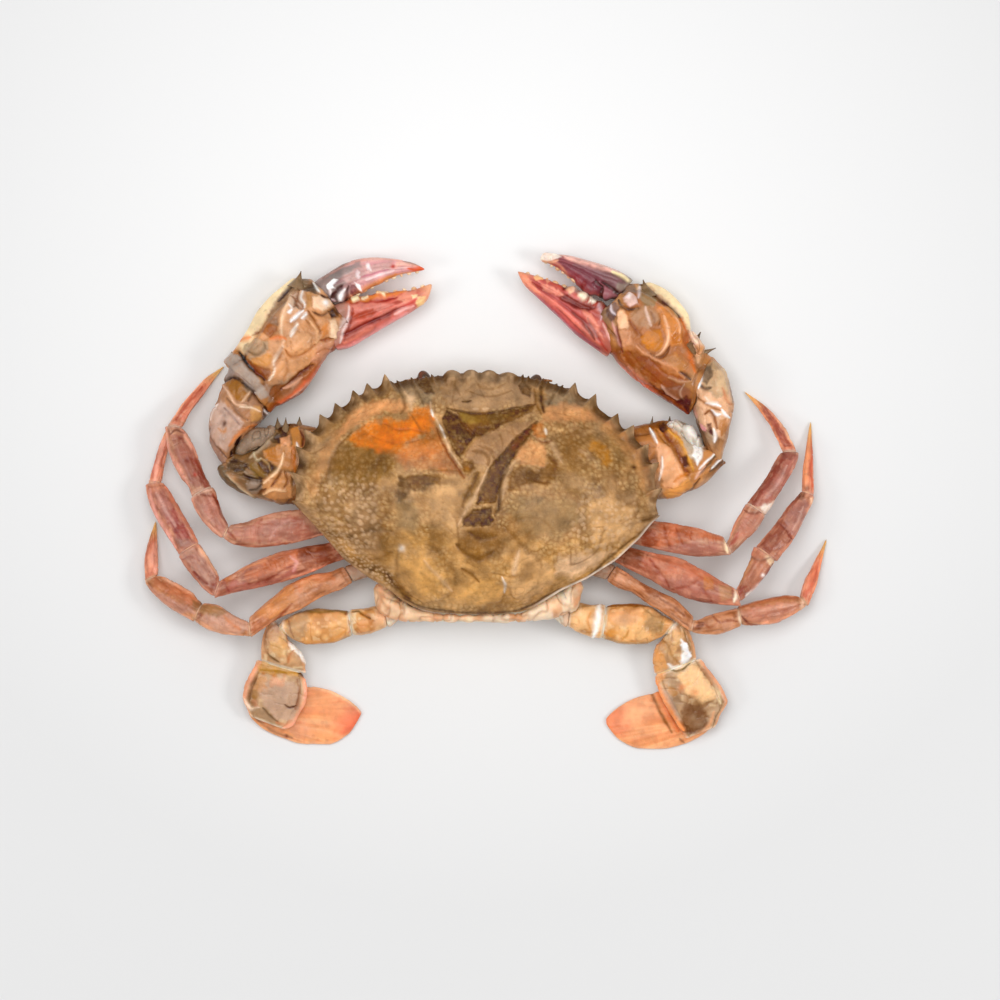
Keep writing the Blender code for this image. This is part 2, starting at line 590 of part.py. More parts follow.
def clearance(code, piece, group):
    """A copy of one limb piece, larger all round by the gap, that cuts its room out of the underbody."""
    kinds, heights, family, sides = limb_plan(code)
    points = chain_points(code, kinds, heights)
    planes = chain_planes(code, points)
    _, _, lefts, rights = PIECES[code + "_" + kinds[piece]]
    rings = limb_rings(points[piece], points[piece + 1], lefts, rights, THICKNESS[family + "_" + kinds[piece]],
                       sides, planes[piece], planes[piece + 1], GAP)
    return ring_solid("room_%s_%d" % (code, piece), rings, group)


def underbody(group):
    body = ring_solid("underbody", body_rings(), group, "belly")
    stubs = []
    rooms = []
    for code in ROOTS:
        kinds, heights, family, sides = limb_plan(code)
        stubs.append(coxa(code, kinds, heights, family, sides, group))
        rooms.append(clearance(code, 0, group))
    fuse(body, stubs)
    fuse(body, rooms, "DIFFERENCE")
    return body


# Abdomen, mouth covers, eyes and feelers
ABDOMEN_PATH = (
    (-32.0, 15.0, 16.5),
    (-31.6, 10.0, 14.4),
    (-30.0, 5.8, 12.4),
    (-26.6, 2.4, 10.2),
    (-21.0, 0.75, 8.4),
    (-13.0, 0.75, 5.4),
    (-6.0, 0.75, 2.4),
)
ABDOMEN_HALF = 0.75
MOUTH_PATH = ((17.2, 0.95), (20.9, 2.9), (25.0, 7.0), (28.3, 11.6))
MOUTH_HALF_WIDTHS = (2.6, 3.6, 4.0, 3.0)
MOUTH_HALF = 0.8
MOUTH_X = 4.3
EYES = (("l", -14.2, 31.7, 14.0, 108.0), ("r", 15.1, 30.7, 14.0, 70.0))
EYE_RADII = (2.9, 1.9, 1.8)
STALK_LENGTH = 4.2
STALK_HALF = (1.1, 1.35)
EYE_CUT = 0.72
ORBIT_GAP = 0.8
FEELER_RISE = 0.06
FEELERS = {
    "antenna": ((7.5, 28.6, 10.3), (5.0, 4.5, 4.0), (35.0, 12.0, -6.0), (0.75, 0.6, 0.45, 0.28)),
    "antennule": ((3.0, 29.6, 12.8), (2.4, 2.2, 2.0), (70.0, 25.0, 0.0), (0.7, 0.6, 0.45, 0.28)),
}


def plate_rings(path, grow, sides=10):
    """Sections of a thin plate that follows a path in the middle plane: y, z and half-width at each."""
    rings = []
    last = len(path) - 1
    for k, (y, z, half) in enumerate(path):
        ahead = path[min(k + 1, last)]
        behind = path[max(k - 1, 0)]
        direction = Vector((0.0, ahead[0] - behind[0], ahead[1] - behind[1])).normalized()
        normal = Vector((0.0, -direction.z, direction.y))
        centre = Vector((0.0, y, z))
        if k == 0:
            centre = centre - direction * grow
        if k == last:
            centre = centre + direction * grow
        ring = []
        for i in range(sides):
            turn = 2.0 * math.pi * i / sides
            c = signed_power(math.cos(turn), 0.7)
            s = signed_power(math.sin(turn), 0.7)
            point = centre + Vector((1.0, 0.0, 0.0)) * ((half + grow) * c) + normal * ((ABDOMEN_HALF + grow) * s)
            ring.append(point)
        rings.append(ring)
    return rings


def abdomen(group, body):
    rings = plate_rings(ABDOMEN_PATH, 0.0)
    rings = [[Vector((p.x, p.y, max(p.z, 0.0))) for p in ring] for ring in rings]
    flap = ring_solid("abdomen", rings, group, "belly")
    cutter = ring_solid("abdomen_bed", plate_rings(ABDOMEN_PATH, GAP), group)
    fuse(body, [cutter], "DIFFERENCE")
    return flap


def mouth_path():
    return tuple((y, z, MOUTH_HALF_WIDTHS[k]) for k, (y, z) in enumerate(MOUTH_PATH))


def mouth_covers(group, body):
    for side, sign in (("l", -1.0), ("r", 1.0)):
        offset = Vector((sign * MOUTH_X, 0.0, 0.0))
        rings = [[p + offset for p in ring] for ring in plate_rings(mouth_path(), 0.0)]
        ring_solid("mouth_cover_" + side, rings, group, "belly")
        beds = [[p + offset for p in ring] for ring in plate_rings(mouth_path(), GAP)]
        fuse(body, [ring_solid("mouth_bed_" + side, beds, group)], "DIFFERENCE")


def eye_rings(x, y, z, heading_degrees, grow):
    """Sections of the stalk and of the eye on its end, both larger all round by grow."""
    heading = math.radians(heading_degrees)
    forward = Vector((math.cos(heading), math.sin(heading), 0.0))
    centre = Vector((x, y, z))
    stalk_end = centre - forward * (EYE_RADII[0] * EYE_CUT)
    stalk = []
    for back, half in ((STALK_LENGTH + grow, STALK_HALF[0]), (STALK_LENGTH / 2.0, STALK_HALF[0]), (0.0, STALK_HALF[1])):
        stalk.append(section(stalk_end - forward * back, heading, 0.0, half + grow, half + grow, half + grow, 10))
    ball = []
    for t in (-EYE_CUT, -0.4, 0.0, 0.4, EYE_CUT, 0.93):
        wide = math.sqrt(1.0 - t * t)
        ball.append(section(centre + forward * ((EYE_RADII[0] + grow) * t + GAP), heading, 0.0,
                            (EYE_RADII[1] + grow) * wide, (EYE_RADII[1] + grow) * wide,
                            (EYE_RADII[2] + grow) * wide, 12))
    return stalk, ball


def eyes(group, body):
    rooms = []
    for side, x, y, z, heading_degrees in EYES:
        stalk, ball = eye_rings(x, y, z, heading_degrees, 0.0)
        ring_solid("eyestalk_" + side, stalk, group, "claw")
        ring_solid("eye_" + side, ball, group, "eye")
        stalk_room, ball_room = eye_rings(x, y, z, heading_degrees, GAP)
        rooms.append(ring_solid("stalk_room_" + side, stalk_room, group))
        ball_room = eye_rings(x, y, z, heading_degrees, ORBIT_GAP)[1]
        rooms.append(ring_solid("orbit_" + side, ball_room, group))
    fuse(body, rooms, "DIFFERENCE")


def feeler_rings(root, lengths, headings, halves, sign, grow):
    point = Vector((sign * root[0], root[1], root[2]))
    turn = math.radians(headings[0] if sign > 0 else 180.0 - headings[0])
    forward = Vector((math.cos(turn), math.sin(turn), 0.0))
    rings = [section(point - forward * grow, turn, 0.0, halves[0] + grow, halves[0] + grow, halves[0] + grow, 8)]
    for k, length in enumerate(lengths):
        turn = math.radians(headings[k] if sign > 0 else 180.0 - headings[k])
        point = point + Vector((math.cos(turn), math.sin(turn), FEELER_RISE)) * length
        half = halves[k + 1] + grow
        rings.append(section(point, turn, 0.0, half, half, half, 8))
    return rings


def feelers(group, body):
    rooms = []
    for kind, (root, lengths, headings, halves) in FEELERS.items():
        for side, sign in (("l", -1.0), ("r", 1.0)):
            rings = feeler_rings(root, lengths, headings, halves, sign, 0.0)
            ring_solid(kind + "_" + side, rings, group, "claw")
            rings = feeler_rings(root, lengths, headings, halves, sign, GAP)
            rooms.append(ring_solid(kind + "_room_" + side, rings, group))
    fuse(body, rooms, "DIFFERENCE")


def claw_teeth(label, start, end, inner, side, count, group):
    """Blunt crushing teeth along the inner edge of a finger, larger near the hinge."""
    axis = end - start
    heading = math.atan2(axis.y, axis.x)
    across = Vector((-math.sin(heading), math.cos(heading), 0.0)) * side
    pieces = []
    for k in range(count):
        t = 0.3 + 0.62 * k / (count - 1)
        edge = interpolate(inner, t)
        size = 1.0 - 0.5 * k / (count - 1)
        tip = start + axis * t + across * (edge + TOOTH_RISE * size * 0.75)
        pieces.append(spine("%s_tooth_%d" % (label, k), tip, math.degrees(heading) + 90.0 * side,
                            TOOTH_RISE * TOOTH_ROOTED * size, TOOTH_HALF * size, TOOTH_HALF * size, group, BLUNT))
    return pieces


def interpolate(row, t):
    for k in range(len(STATIONS) - 1):
        if t <= STATIONS[k + 1]:
            share = (t - STATIONS[k]) / (STATIONS[k + 1] - STATIONS[k])
            return row[k] + (row[k + 1] - row[k]) * share
    return row[-1]


def limb_spines(node, group):
    pieces = []
    for number, (x, y, z, heading, length, half) in enumerate(SPINES.get(node, ())):
        pieces.append(spine("%s_spine_%d" % (node, number), Vector((x, y, z)), heading, length, half, half,
                            group, SHARP))
    return pieces


def claw(code, group):
    side = side_name(code)
    looks = {"merus": "claw", "carpus": "claw", "palm": "claw"}
    made, points = chain(code, CLAW_KINDS, CLAW_HEIGHTS, "claw", "claw", looks, CLAW_SIDES, group)
    palm_axis = points[3] - points[2]
    palm_heading = math.atan2(palm_axis.y, palm_axis.x)
    inward = 1.0 if side == "l" else -1.0
    offset, clear = FINGER_START[code]
    normal = Vector((math.cos(palm_heading), math.sin(palm_heading), 0.0))
    across = Vector((-normal.y, normal.x, 0.0))
    start = points[3] + across * offset + normal * clear
    start.z = FINGER_Z[0]
    length, heading, lefts, rights = PIECES[code + "_finger"]
    end = along(start, length, heading, FINGER_Z[1])
    rings = limb_rings(start, end, lefts, rights, THICKNESS["claw_finger"], 12, (palm_heading, 0.0))
    finger = ring_solid("claw_finger_" + side, rings, group, "finger")
    inner = rights if side == "l" else lefts
    fuse(finger, claw_teeth("finger_" + side, start, end, inner, -inward, TOOTH_COUNT, group))
    start = Vector((THUMB_START[code][0], THUMB_START[code][1], FINGER_Z[0]))
    length, heading, lefts, rights = PIECES[code + "_thumb"]
    end = along(start, length, heading, FINGER_Z[1])
    rings = limb_rings(start, end, lefts, rights, THICKNESS["claw_thumb"], 12)
    thumb = ring_solid("thumb_" + side, rings, group)
    inner = lefts if side == "l" else rights
    teeth = claw_teeth("thumb_" + side, start, end, inner, inward, TOOTH_COUNT, group)
    fuse(made["palm"], [thumb] + teeth + limb_spines("claw_palm_" + side, group))
    for kind in ("merus", "carpus"):
        spines = limb_spines("claw_%s_%s" % (kind, side), group)
        if spines:
            fuse(made[kind], spines)


def swimming_leg(code, group):
    side = side_name(code)
    looks = {"base": "belly", "merus": "swim", "carpus": "swim", "propodus": "swim"}
    made, _ = chain(code, SWIM_KINDS, SWIM_HEIGHTS, "swim", "swim", looks, LEG_SIDES, group)
    spines = limb_spines("swim_merus_" + side, group)
    if spines:
        fuse(made["merus"], spines)
    length, heading, lefts, rights = PIECES[code + "_paddle"]
    start = Vector((PADDLE_START[code][0], PADDLE_START[code][1], PADDLE_Z[0]))
    end = along(start, length, heading, PADDLE_Z[1])
    rings = limb_rings(start, end, lefts, rights, THICKNESS["swim_paddle"], 16)
    ring_solid("swim_paddle_" + side, rings, group, "paddle")


def walking_leg(code, group):
    looks = {kind: "leg" for kind in LEG_KINDS}
    chain(code, LEG_KINDS, LEG_HEIGHTS[code[1]], "leg", "leg_" + code[1], looks, LEG_SIDES, group)


def build():
    clear_scene()
    group = collection(COLLECTION)
    collection(CUTTERS, True)
    carapace(group)
    body = underbody(group)
    abdomen(group, body)
    mouth_covers(group, body)
    eyes(group, body)
    feelers(group, body)
    for side in ("l", "r"):
        claw(side + "c", group)
        for number in ("1", "2", "3"):
            walking_leg(side + number, group)
        swimming_leg(side + "s", group)
    leftover = bpy.data.collections[CUTTERS]
    bpy.data.collections.remove(leftover)


build()
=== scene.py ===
# Soft-shell crab: the wet, wrinkled surfaces of a freshly moulted mud crab, laid over its solids.
# Sizes are in millimetres and are multiplied by MM when a mesh is made; headings are degrees from +X.
import json
import math

import bpy
import mathutils
import numpy as np
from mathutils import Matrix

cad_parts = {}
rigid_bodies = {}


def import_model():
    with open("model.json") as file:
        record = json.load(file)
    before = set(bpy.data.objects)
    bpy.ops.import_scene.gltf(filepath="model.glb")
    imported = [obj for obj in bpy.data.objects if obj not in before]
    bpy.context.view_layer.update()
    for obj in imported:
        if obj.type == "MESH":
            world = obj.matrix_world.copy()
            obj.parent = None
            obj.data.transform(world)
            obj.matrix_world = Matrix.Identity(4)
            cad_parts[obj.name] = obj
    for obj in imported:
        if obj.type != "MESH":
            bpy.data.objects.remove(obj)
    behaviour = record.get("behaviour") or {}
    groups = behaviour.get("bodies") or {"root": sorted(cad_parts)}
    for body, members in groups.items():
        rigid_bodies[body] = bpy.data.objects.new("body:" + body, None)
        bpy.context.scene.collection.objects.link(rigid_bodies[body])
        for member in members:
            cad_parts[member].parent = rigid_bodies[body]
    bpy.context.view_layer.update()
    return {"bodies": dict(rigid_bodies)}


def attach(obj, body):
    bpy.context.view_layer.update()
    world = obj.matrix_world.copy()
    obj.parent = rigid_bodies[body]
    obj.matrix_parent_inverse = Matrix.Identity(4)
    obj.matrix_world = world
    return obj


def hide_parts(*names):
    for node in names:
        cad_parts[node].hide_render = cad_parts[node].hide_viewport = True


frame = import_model()
BODY = next(iter(frame["bodies"]))
GAP = 0.3
FRONT_Y = 33.3

MARGIN_ROWS = (
    (33.3, 10.5, 10.5),
    (32.0, 20.0, 17.5),
    (30.0, 27.3, 23.5),
    (27.0, 33.3, 29.2),
    (22.5, 39.5, 35.0),
    (18.5, 44.1, 39.8),
    (14.3, 46.8, 44.2),
    (8.0, 48.6, 47.2),
    (1.0, 48.9, 47.9),
    (-1.5, 49.0, 47.8),
    (-4.0, 46.5, 48.4),
    (-10.0, 41.0, 43.7),
    (-16.0, 35.9, 37.3),
    (-21.0, 29.0, 29.5),
    (-24.2, 23.7, 22.6),
    (-27.0, 20.3, 18.0),
    (-28.8, 16.9, 15.0),
    (-30.0, 12.0, 11.5),
    (-30.6, 5.0, 5.0),
)
SHELL_UNDER_Z = 16.0
SHELL_EDGE_Z = 17.8
SHELL_FRONT_RISE = 1.4
SHELL_CROWN = 16.4
SHELL_CROWN_POWER = 2.6
TEETH_LEFT = (
    (-25.0, 33.9, 88.0, 5.2),
    (-29.8, 31.5, 92.0, 4.8),
    (-33.6, 29.6, 98.0, 4.8),
    (-38.4, 26.1, 100.0, 4.6),
    (-42.5, 23.1, 102.0, 4.6),
    (-46.8, 19.1, 106.0, 4.6),
    (-49.0, 14.5, 110.0, 4.6),
    (-50.6, 7.5, 118.0, 4.4),
    (-50.1, -0.2, 140.0, 4.6),
)
TEETH_RIGHT = (
    (26.1, 31.6, 84.0, 5.0),
    (31.7, 28.6, 80.0, 4.6),
    (37.6, 23.3, 78.0, 4.6),
    (41.9, 20.2, 76.0, 4.8),
    (45.9, 15.1, 72.0, 4.6),
    (48.6, 10.2, 66.0, 4.4),
    (49.6, 3.2, 58.0, 4.4),
    (48.9, -4.2, 30.0, 4.4),
)
TOOTH_BASE_HALF = 2.4
LOBES = ((-7.0, 34.9, 90.0), (-1.9, 35.0, 90.0), (3.0, 34.9, 90.0), (8.0, 34.3, 88.0))
LOBE_BASE_HALF = 2.5
BODY_RINGS = (
    (0.0, 17.0, 15.5, -21.0, 0.0, 1.0),
    (1.2, 22.0, 18.0, -24.5, 0.0, 1.0),
    (4.0, 28.5, 21.5, -27.5, 0.1, 0.70),
    (8.0, 33.0, 25.0, -29.5, 0.4, 0.78),
    (12.0, 36.0, 27.5, -30.8, 0.8, 0.86),
    (15.7, 40.0, 29.0, -31.4, 1.0, 0.93),
)
BODY_POWER = 2.4
BODY_REAR_STRETCH = 1.10
STATIONS = (0.0, 0.12, 0.3, 0.5, 0.7, 0.88, 1.0)
# Each piece of a limb: its length, its heading, then its left and its right half widths at the STATIONS.
PIECE_ROWS = """
l1_merus 30.2 -175 2.6,3.2,4.2,5.0,5.2,4.1,1.9 2.6,3.3,4.3,4.1,3.1,2.1,2.1
l1_carpus 12.5 121 2.1,2.8,3.6,4.0,4.0,3.8,3.5 1.6,1.6,1.6,2.1,2.6,3.1,3.1
l1_propodus 18.8 113 3.1,3.0,3.9,4.3,4.2,3.5,2.9 2.9,2.7,2.5,2.6,2.7,2.4,2.0
l1_dactyl 20.9 52 2.2,2.3,2.6,2.4,2.1,1.0,0.2 1.6,1.3,0.7,0.5,0.3,0.2,0.2
l2_merus 35.9 -163 2.6,2.8,3.5,3.7,3.2,2.7,2.9 2.4,3.0,3.9,4.3,3.7,2.7,2.2
l2_carpus 12.9 126 2.4,3.0,3.3,3.5,3.6,3.5,3.4 2.4,2.4,2.5,2.7,3.0,3.1,3.1
l2_propodus 20.1 118 3.1,3.3,3.8,4.0,4.0,3.3,2.5 3.2,3.2,3.1,2.9,2.8,2.5,2.3
l2_dactyl 17.8 75 1.7,1.7,1.7,1.6,1.2,0.6,0.1 1.9,1.7,1.4,1.2,0.9,0.5,0.1
l3_merus 30.3 -151 2.6,2.9,2.1,2.3,1.7,2.1,2.5 2.4,2.8,4.7,5.3,4.4,3.5,2.9
l3_carpus 14.4 163 2.2,2.6,3.2,3.7,3.7,3.1,2.5 1.8,1.8,2.1,2.8,3.6,3.3,3.0
l3_propodus 15.7 145 2.8,3.0,3.3,3.5,3.3,2.7,1.9 2.7,2.9,3.4,3.2,3.0,2.6,2.3
l3_dactyl 15.6 86 1.8,2.0,2.3,2.0,1.4,0.7,0.15 1.9,1.8,1.5,1.2,0.8,0.4,0.1
r1_merus 28.7 -8 2.6,3.3,4.0,3.9,3.6,3.0,2.7 2.6,3.0,3.5,4.0,4.1,3.3,2.7
r1_carpus 12.3 54 1.0,1.0,1.6,2.2,2.3,2.7,2.7 2.5,2.6,2.9,3.5,3.8,3.6,3.5
r1_propodus 17.8 58 2.6,2.5,2.2,2.0,2.2,2.3,2.3 3.4,3.5,3.5,3.6,3.6,3.2,2.6
r1_dactyl 20.4 126 1.7,1.2,0.4,-0.1,-0.2,-0.0,0.1 2.0,2.4,2.9,2.8,2.2,0.9,0.1
r2_merus 34.3 -18 2.4,2.8,3.3,3.9,2.9,1.8,1.1 2.4,3.0,3.9,5.3,5.7,4.8,3.9
r2_carpus 12.8 55 0.9,0.9,1.3,1.7,2.2,3.1,3.4 2.6,2.9,3.4,3.7,3.9,3.7,3.6
r2_propodus 19.8 54 2.9,2.7,2.4,2.3,2.4,2.0,1.8 4.1,4.1,4.3,4.0,3.4,2.7,2.2
r2_dactyl 19.4 87 1.6,1.6,1.6,1.2,0.8,0.4,0.1 1.9,1.8,1.5,1.2,0.8,0.4,0.1
r3_merus 26.0 -33 2.4,2.5,2.5,3.0,3.6,3.0,2.4 2.4,2.4,1.4,1.6,1.4,1.6,1.7
r3_carpus 12.9 11 1.6,1.3,1.8,2.2,2.3,2.4,2.4 1.7,2.4,3.2,3.7,3.4,3.0,2.7
r3_propodus 17.7 13 2.7,2.9,3.1,3.1,3.0,2.5,1.8 2.2,3.1,3.7,4.0,3.4,2.3,1.5
r3_dactyl 17.9 69 1.4,1.5,1.7,1.3,0.9,0.4,0.1 1.9,1.9,1.9,1.4,0.9,0.4,0.1
ls_base 9.8 -171 2.6,2.9,3.4,3.8,3.8,3.6,3.4 2.6,3.0,3.4,3.2,3.2,3.3,3.3
ls_merus 17.9 -172 3.6,4.0,4.8,4.6,4.3,3.5,2.5 3.2,3.7,4.4,5.0,4.8,3.5,2.6
ls_carpus 9.3 -102 1.0,1.0,2.9,5.5,6.9,7.5,8.0 4.8,5.4,5.6,5.4,5.2,4.9,4.7
ls_propodus 15.6 -111 6.9,8.7,10.1,10.5,9.9,9.5,7.7 5.8,5.8,6.1,6.4,5.9,3.8,1.9
ls_paddle 30.4 -1 1.6,4.3,6.4,6.9,6.0,3.4,0.5 1.1,4.4,6.9,8.5,8.5,5.8,0.3
rs_base 9.8 -7 2.6,3.0,4.1,4.0,4.1,4.3,4.4 2.6,2.9,3.8,4.4,4.7,4.7,4.7
rs_merus 17.6 -7 4.0,4.8,5.4,5.7,5.3,3.4,2.8 4.7,5.0,5.5,5.2,4.6,3.4,2.5
rs_carpus 10.2 -72 3.9,4.8,5.2,5.3,5.1,4.8,4.6 1.9,3.0,4.6,6.0,6.8,7.2,7.4
rs_propodus 19.1 -68 5.6,6.2,7.1,8.0,8.3,4.5,2.5 7.2,7.8,8.0,7.6,7.0,6.5,6.0
rs_paddle 29.6 -177 2.1,4.9,7.2,8.2,7.8,5.3,0.9 2.2,4.2,6.7,6.9,6.0,3.6,0.8
lc_merus 30.2 176 8.3,9.3,10.5,11.9,10.8,8.6,4.6 8.5,9.3,10.3,10.8,7.9,3.4,3.1
lc_carpus 20.1 77 2.5,5.0,8.0,8.3,7.8,7.8,7.9 1.9,1.9,2.8,4.5,7.1,6.6,6.6
lc_palm 30.7 40 9.6,10.2,11.9,14.2,14.9,14.8,11.3 9.2,9.9,10.4,9.0,7.6,7.6,7.6
lc_thumb 31.0 28 4.5,6.4,6.1,4.2,2.7,0.8,0.3 3.8,4.6,4.4,4.2,4.1,3.4,0.5
lc_finger 27.7 16 5.2,6.2,7.5,7.0,5.2,2.9,0.3 1.9,1.7,1.0,0.1,-0.4,0.0,0.3
rc_merus 26.3 7 8.5,9.3,10.4,10.8,9.6,4.7,4.1 8.3,9.0,9.8,10.3,9.2,6.3,3.8
rc_carpus 18.6 100 2.0,2.2,2.5,3.2,3.3,2.8,6.0 2.7,3.6,5.8,7.5,8.5,8.6,8.2
rc_palm 32.0 138 8.4,8.9,9.7,10.1,9.9,8.4,5.3 8.4,8.0,8.4,12.6,13.4,12.1,7.6
rc_thumb 32.9 147 6.1,6.0,5.7,4.4,3.2,2.0,0.1 4.5,5.5,4.4,3.8,2.9,1.5,0.3
rc_finger 23.8 153 1.9,1.8,2.9,1.8,1.1,1.0,1.2 5.5,5.8,5.4,4.5,3.5,1.9,0.9
"""
THICKNESS = {
    "leg_merus": (1.9, 2.4, 2.8, 2.9, 2.8, 2.4, 1.9),
    "leg_carpus": (1.7, 2.1, 2.5, 2.7, 2.7, 2.4, 2.0),
    "leg_propodus": (1.8, 2.1, 2.4, 2.4, 2.2, 1.8, 1.4),
    "leg_dactyl": (1.3, 1.4, 1.3, 1.1, 0.8, 0.5, 0.25),
    "swim_base": (2.6, 3.0, 3.3, 3.5, 3.4, 3.2, 2.8),
    "swim_merus": (2.6, 3.2, 3.7, 3.9, 3.6, 3.0, 2.3),
    "swim_carpus": (1.9, 2.4, 2.9, 3.0, 2.7, 2.2, 1.7),
    "swim_propodus": (1.4, 1.5, 1.6, 1.6, 1.4, 1.1, 0.8),
    "swim_paddle": (0.5, 0.7, 0.9, 0.9, 0.8, 0.55, 0.3),
    "claw_merus": (5.0, 5.8, 6.2, 6.2, 5.8, 4.6, 3.2),
    "claw_carpus": (3.2, 4.4, 5.8, 6.4, 6.6, 6.2, 5.4),
    "claw_palm": (5.2, 6.0, 6.8, 7.1, 7.0, 6.3, 5.4),
    "claw_thumb": (4.4, 4.6, 4.3, 3.7, 2.9, 1.8, 0.6),
    "claw_finger": (3.6, 4.0, 3.9, 3.3, 2.6, 1.6, 0.6),
}
LEG_KINDS = ("merus", "carpus", "propodus", "dactyl")
SWIM_KINDS = ("base", "merus", "carpus", "propodus")
CLAW_KINDS = ("merus", "carpus", "palm")
LEG_HEIGHTS = {
    "1": (9.5, 13.5, 12.0, 6.6, 0.3),
    "2": (9.0, 12.5, 11.0, 5.0, 0.3),
    "3": (8.6, 11.0, 9.5, 4.6, 0.3),
}
SWIM_HEIGHTS = (9.0, 8.4, 7.4, 5.8, 3.9)
CLAW_HEIGHTS = (9.2, 8.6, 7.6, 6.6)
ROOTS = {
    "l1": (-37.6, -5.9), "l2": (-35.8, -13.2), "l3": (-34.9, -19.9), "ls": (-24.6, -31.4), "lc": (-35.9, 9.1),
    "r1": (38.7, -8.3), "r2": (37.0, -14.2), "r3": (35.8, -19.6), "rs": (24.2, -31.4), "rc": (36.8, 9.1),
}
WRIST_HEADING = {"lc": 42.0, "rc": 157.0}
COXA_LENGTH = {"claw": 8.0, "leg": 8.0, "swim": 14.0}
COXA_AIM = (0.0, -8.0)
COXA_SCALE = {"claw": 0.92, "leg": 0.95, "swim": 1.25}
TILT_REACH = 0.3
WRIST = 2
SECTION_POWER = 2.3
FINGER_START = {"lc": (5.0, 0.3), "rc": (-3.8, 0.3)}
THUMB_START = {"lc": (-39.8, 43.5), "rc": (38.2, 43.5)}
FINGER_Z = (6.6, 6.2)
PADDLE_START = {"ls": (-61.8, -57.0), "rs": (64.0, -58.1)}
PADDLE_Z = (0.75, 0.75)
TOOTH_COUNT = 9
TOOTH_RISE = 1.3
TOOTH_ROOTED = 2.2
TOOTH_HALF = 1.05
SPINES = {
    "claw_palm_l": ((-47.6, 61.6, 8.5, 75.0, 4.8, 1.5), (-66.4, 39.8, 8.5, 150.0, 5.0, 1.8)),
    "claw_merus_l": ((-54.0, 22.2, 9.4, 95.0, 4.2, 1.2), (-51.7, 22.2, 11.0, 90.0, 4.2, 1.0),
                     (-48.0, 22.4, 9.0, 88.0, 4.2, 1.3)),
    "claw_palm_r": ((44.4, 59.3, 8.5, 105.0, 5.0, 1.5), (59.9, 45.2, 8.5, 62.0, 6.5, 1.9),
                    (64.0, 40.9, 8.5, 22.0, 6.4, 1.2)),
    "claw_merus_r": ((47.0, 22.5, 9.4, 82.0, 4.6, 0.9), (51.6, 22.5, 9.4, 86.0, 4.4, 1.3)),
    "swim_merus_l": ((-51.2, -26.8, 8.6, 131.0, 4.4, 0.55),),
}
ABDOMEN_PATH = (
    (-32.0, 15.0, 16.5),
    (-31.6, 10.0, 14.4),
    (-30.0, 5.8, 12.4),
    (-26.6, 2.4, 10.2),
    (-21.0, 0.75, 8.4),
    (-13.0, 0.75, 5.4),
    (-6.0, 0.75, 2.4),
)
ABDOMEN_HALF = 0.75
MOUTH_PATH = ((17.2, 0.95), (20.9, 2.9), (25.0, 7.0), (28.3, 11.6))
MOUTH_HALF_WIDTHS = (2.6, 3.6, 4.0, 3.0)
MOUTH_HALF = 0.8
MOUTH_X = 4.3
EYES = (("l", -14.2, 31.7, 14.0, 108.0), ("r", 15.1, 30.7, 14.0, 70.0))
EYE_RADII = (2.9, 1.9, 1.8)
STALK_LENGTH = 4.2
STALK_HALF = (1.1, 1.35)
EYE_CUT = 0.72
FEELER_RISE = 0.06
FEELERS = {
    "antenna": ((7.5, 28.6, 10.3), (5.0, 4.5, 4.0), (35.0, 12.0, -6.0), (0.75, 0.6, 0.45, 0.28)),
    "antennule": ((3.0, 29.6, 12.8), (2.4, 2.2, 2.0), (70.0, 25.0, 0.0), (0.7, 0.6, 0.45, 0.28)),
}
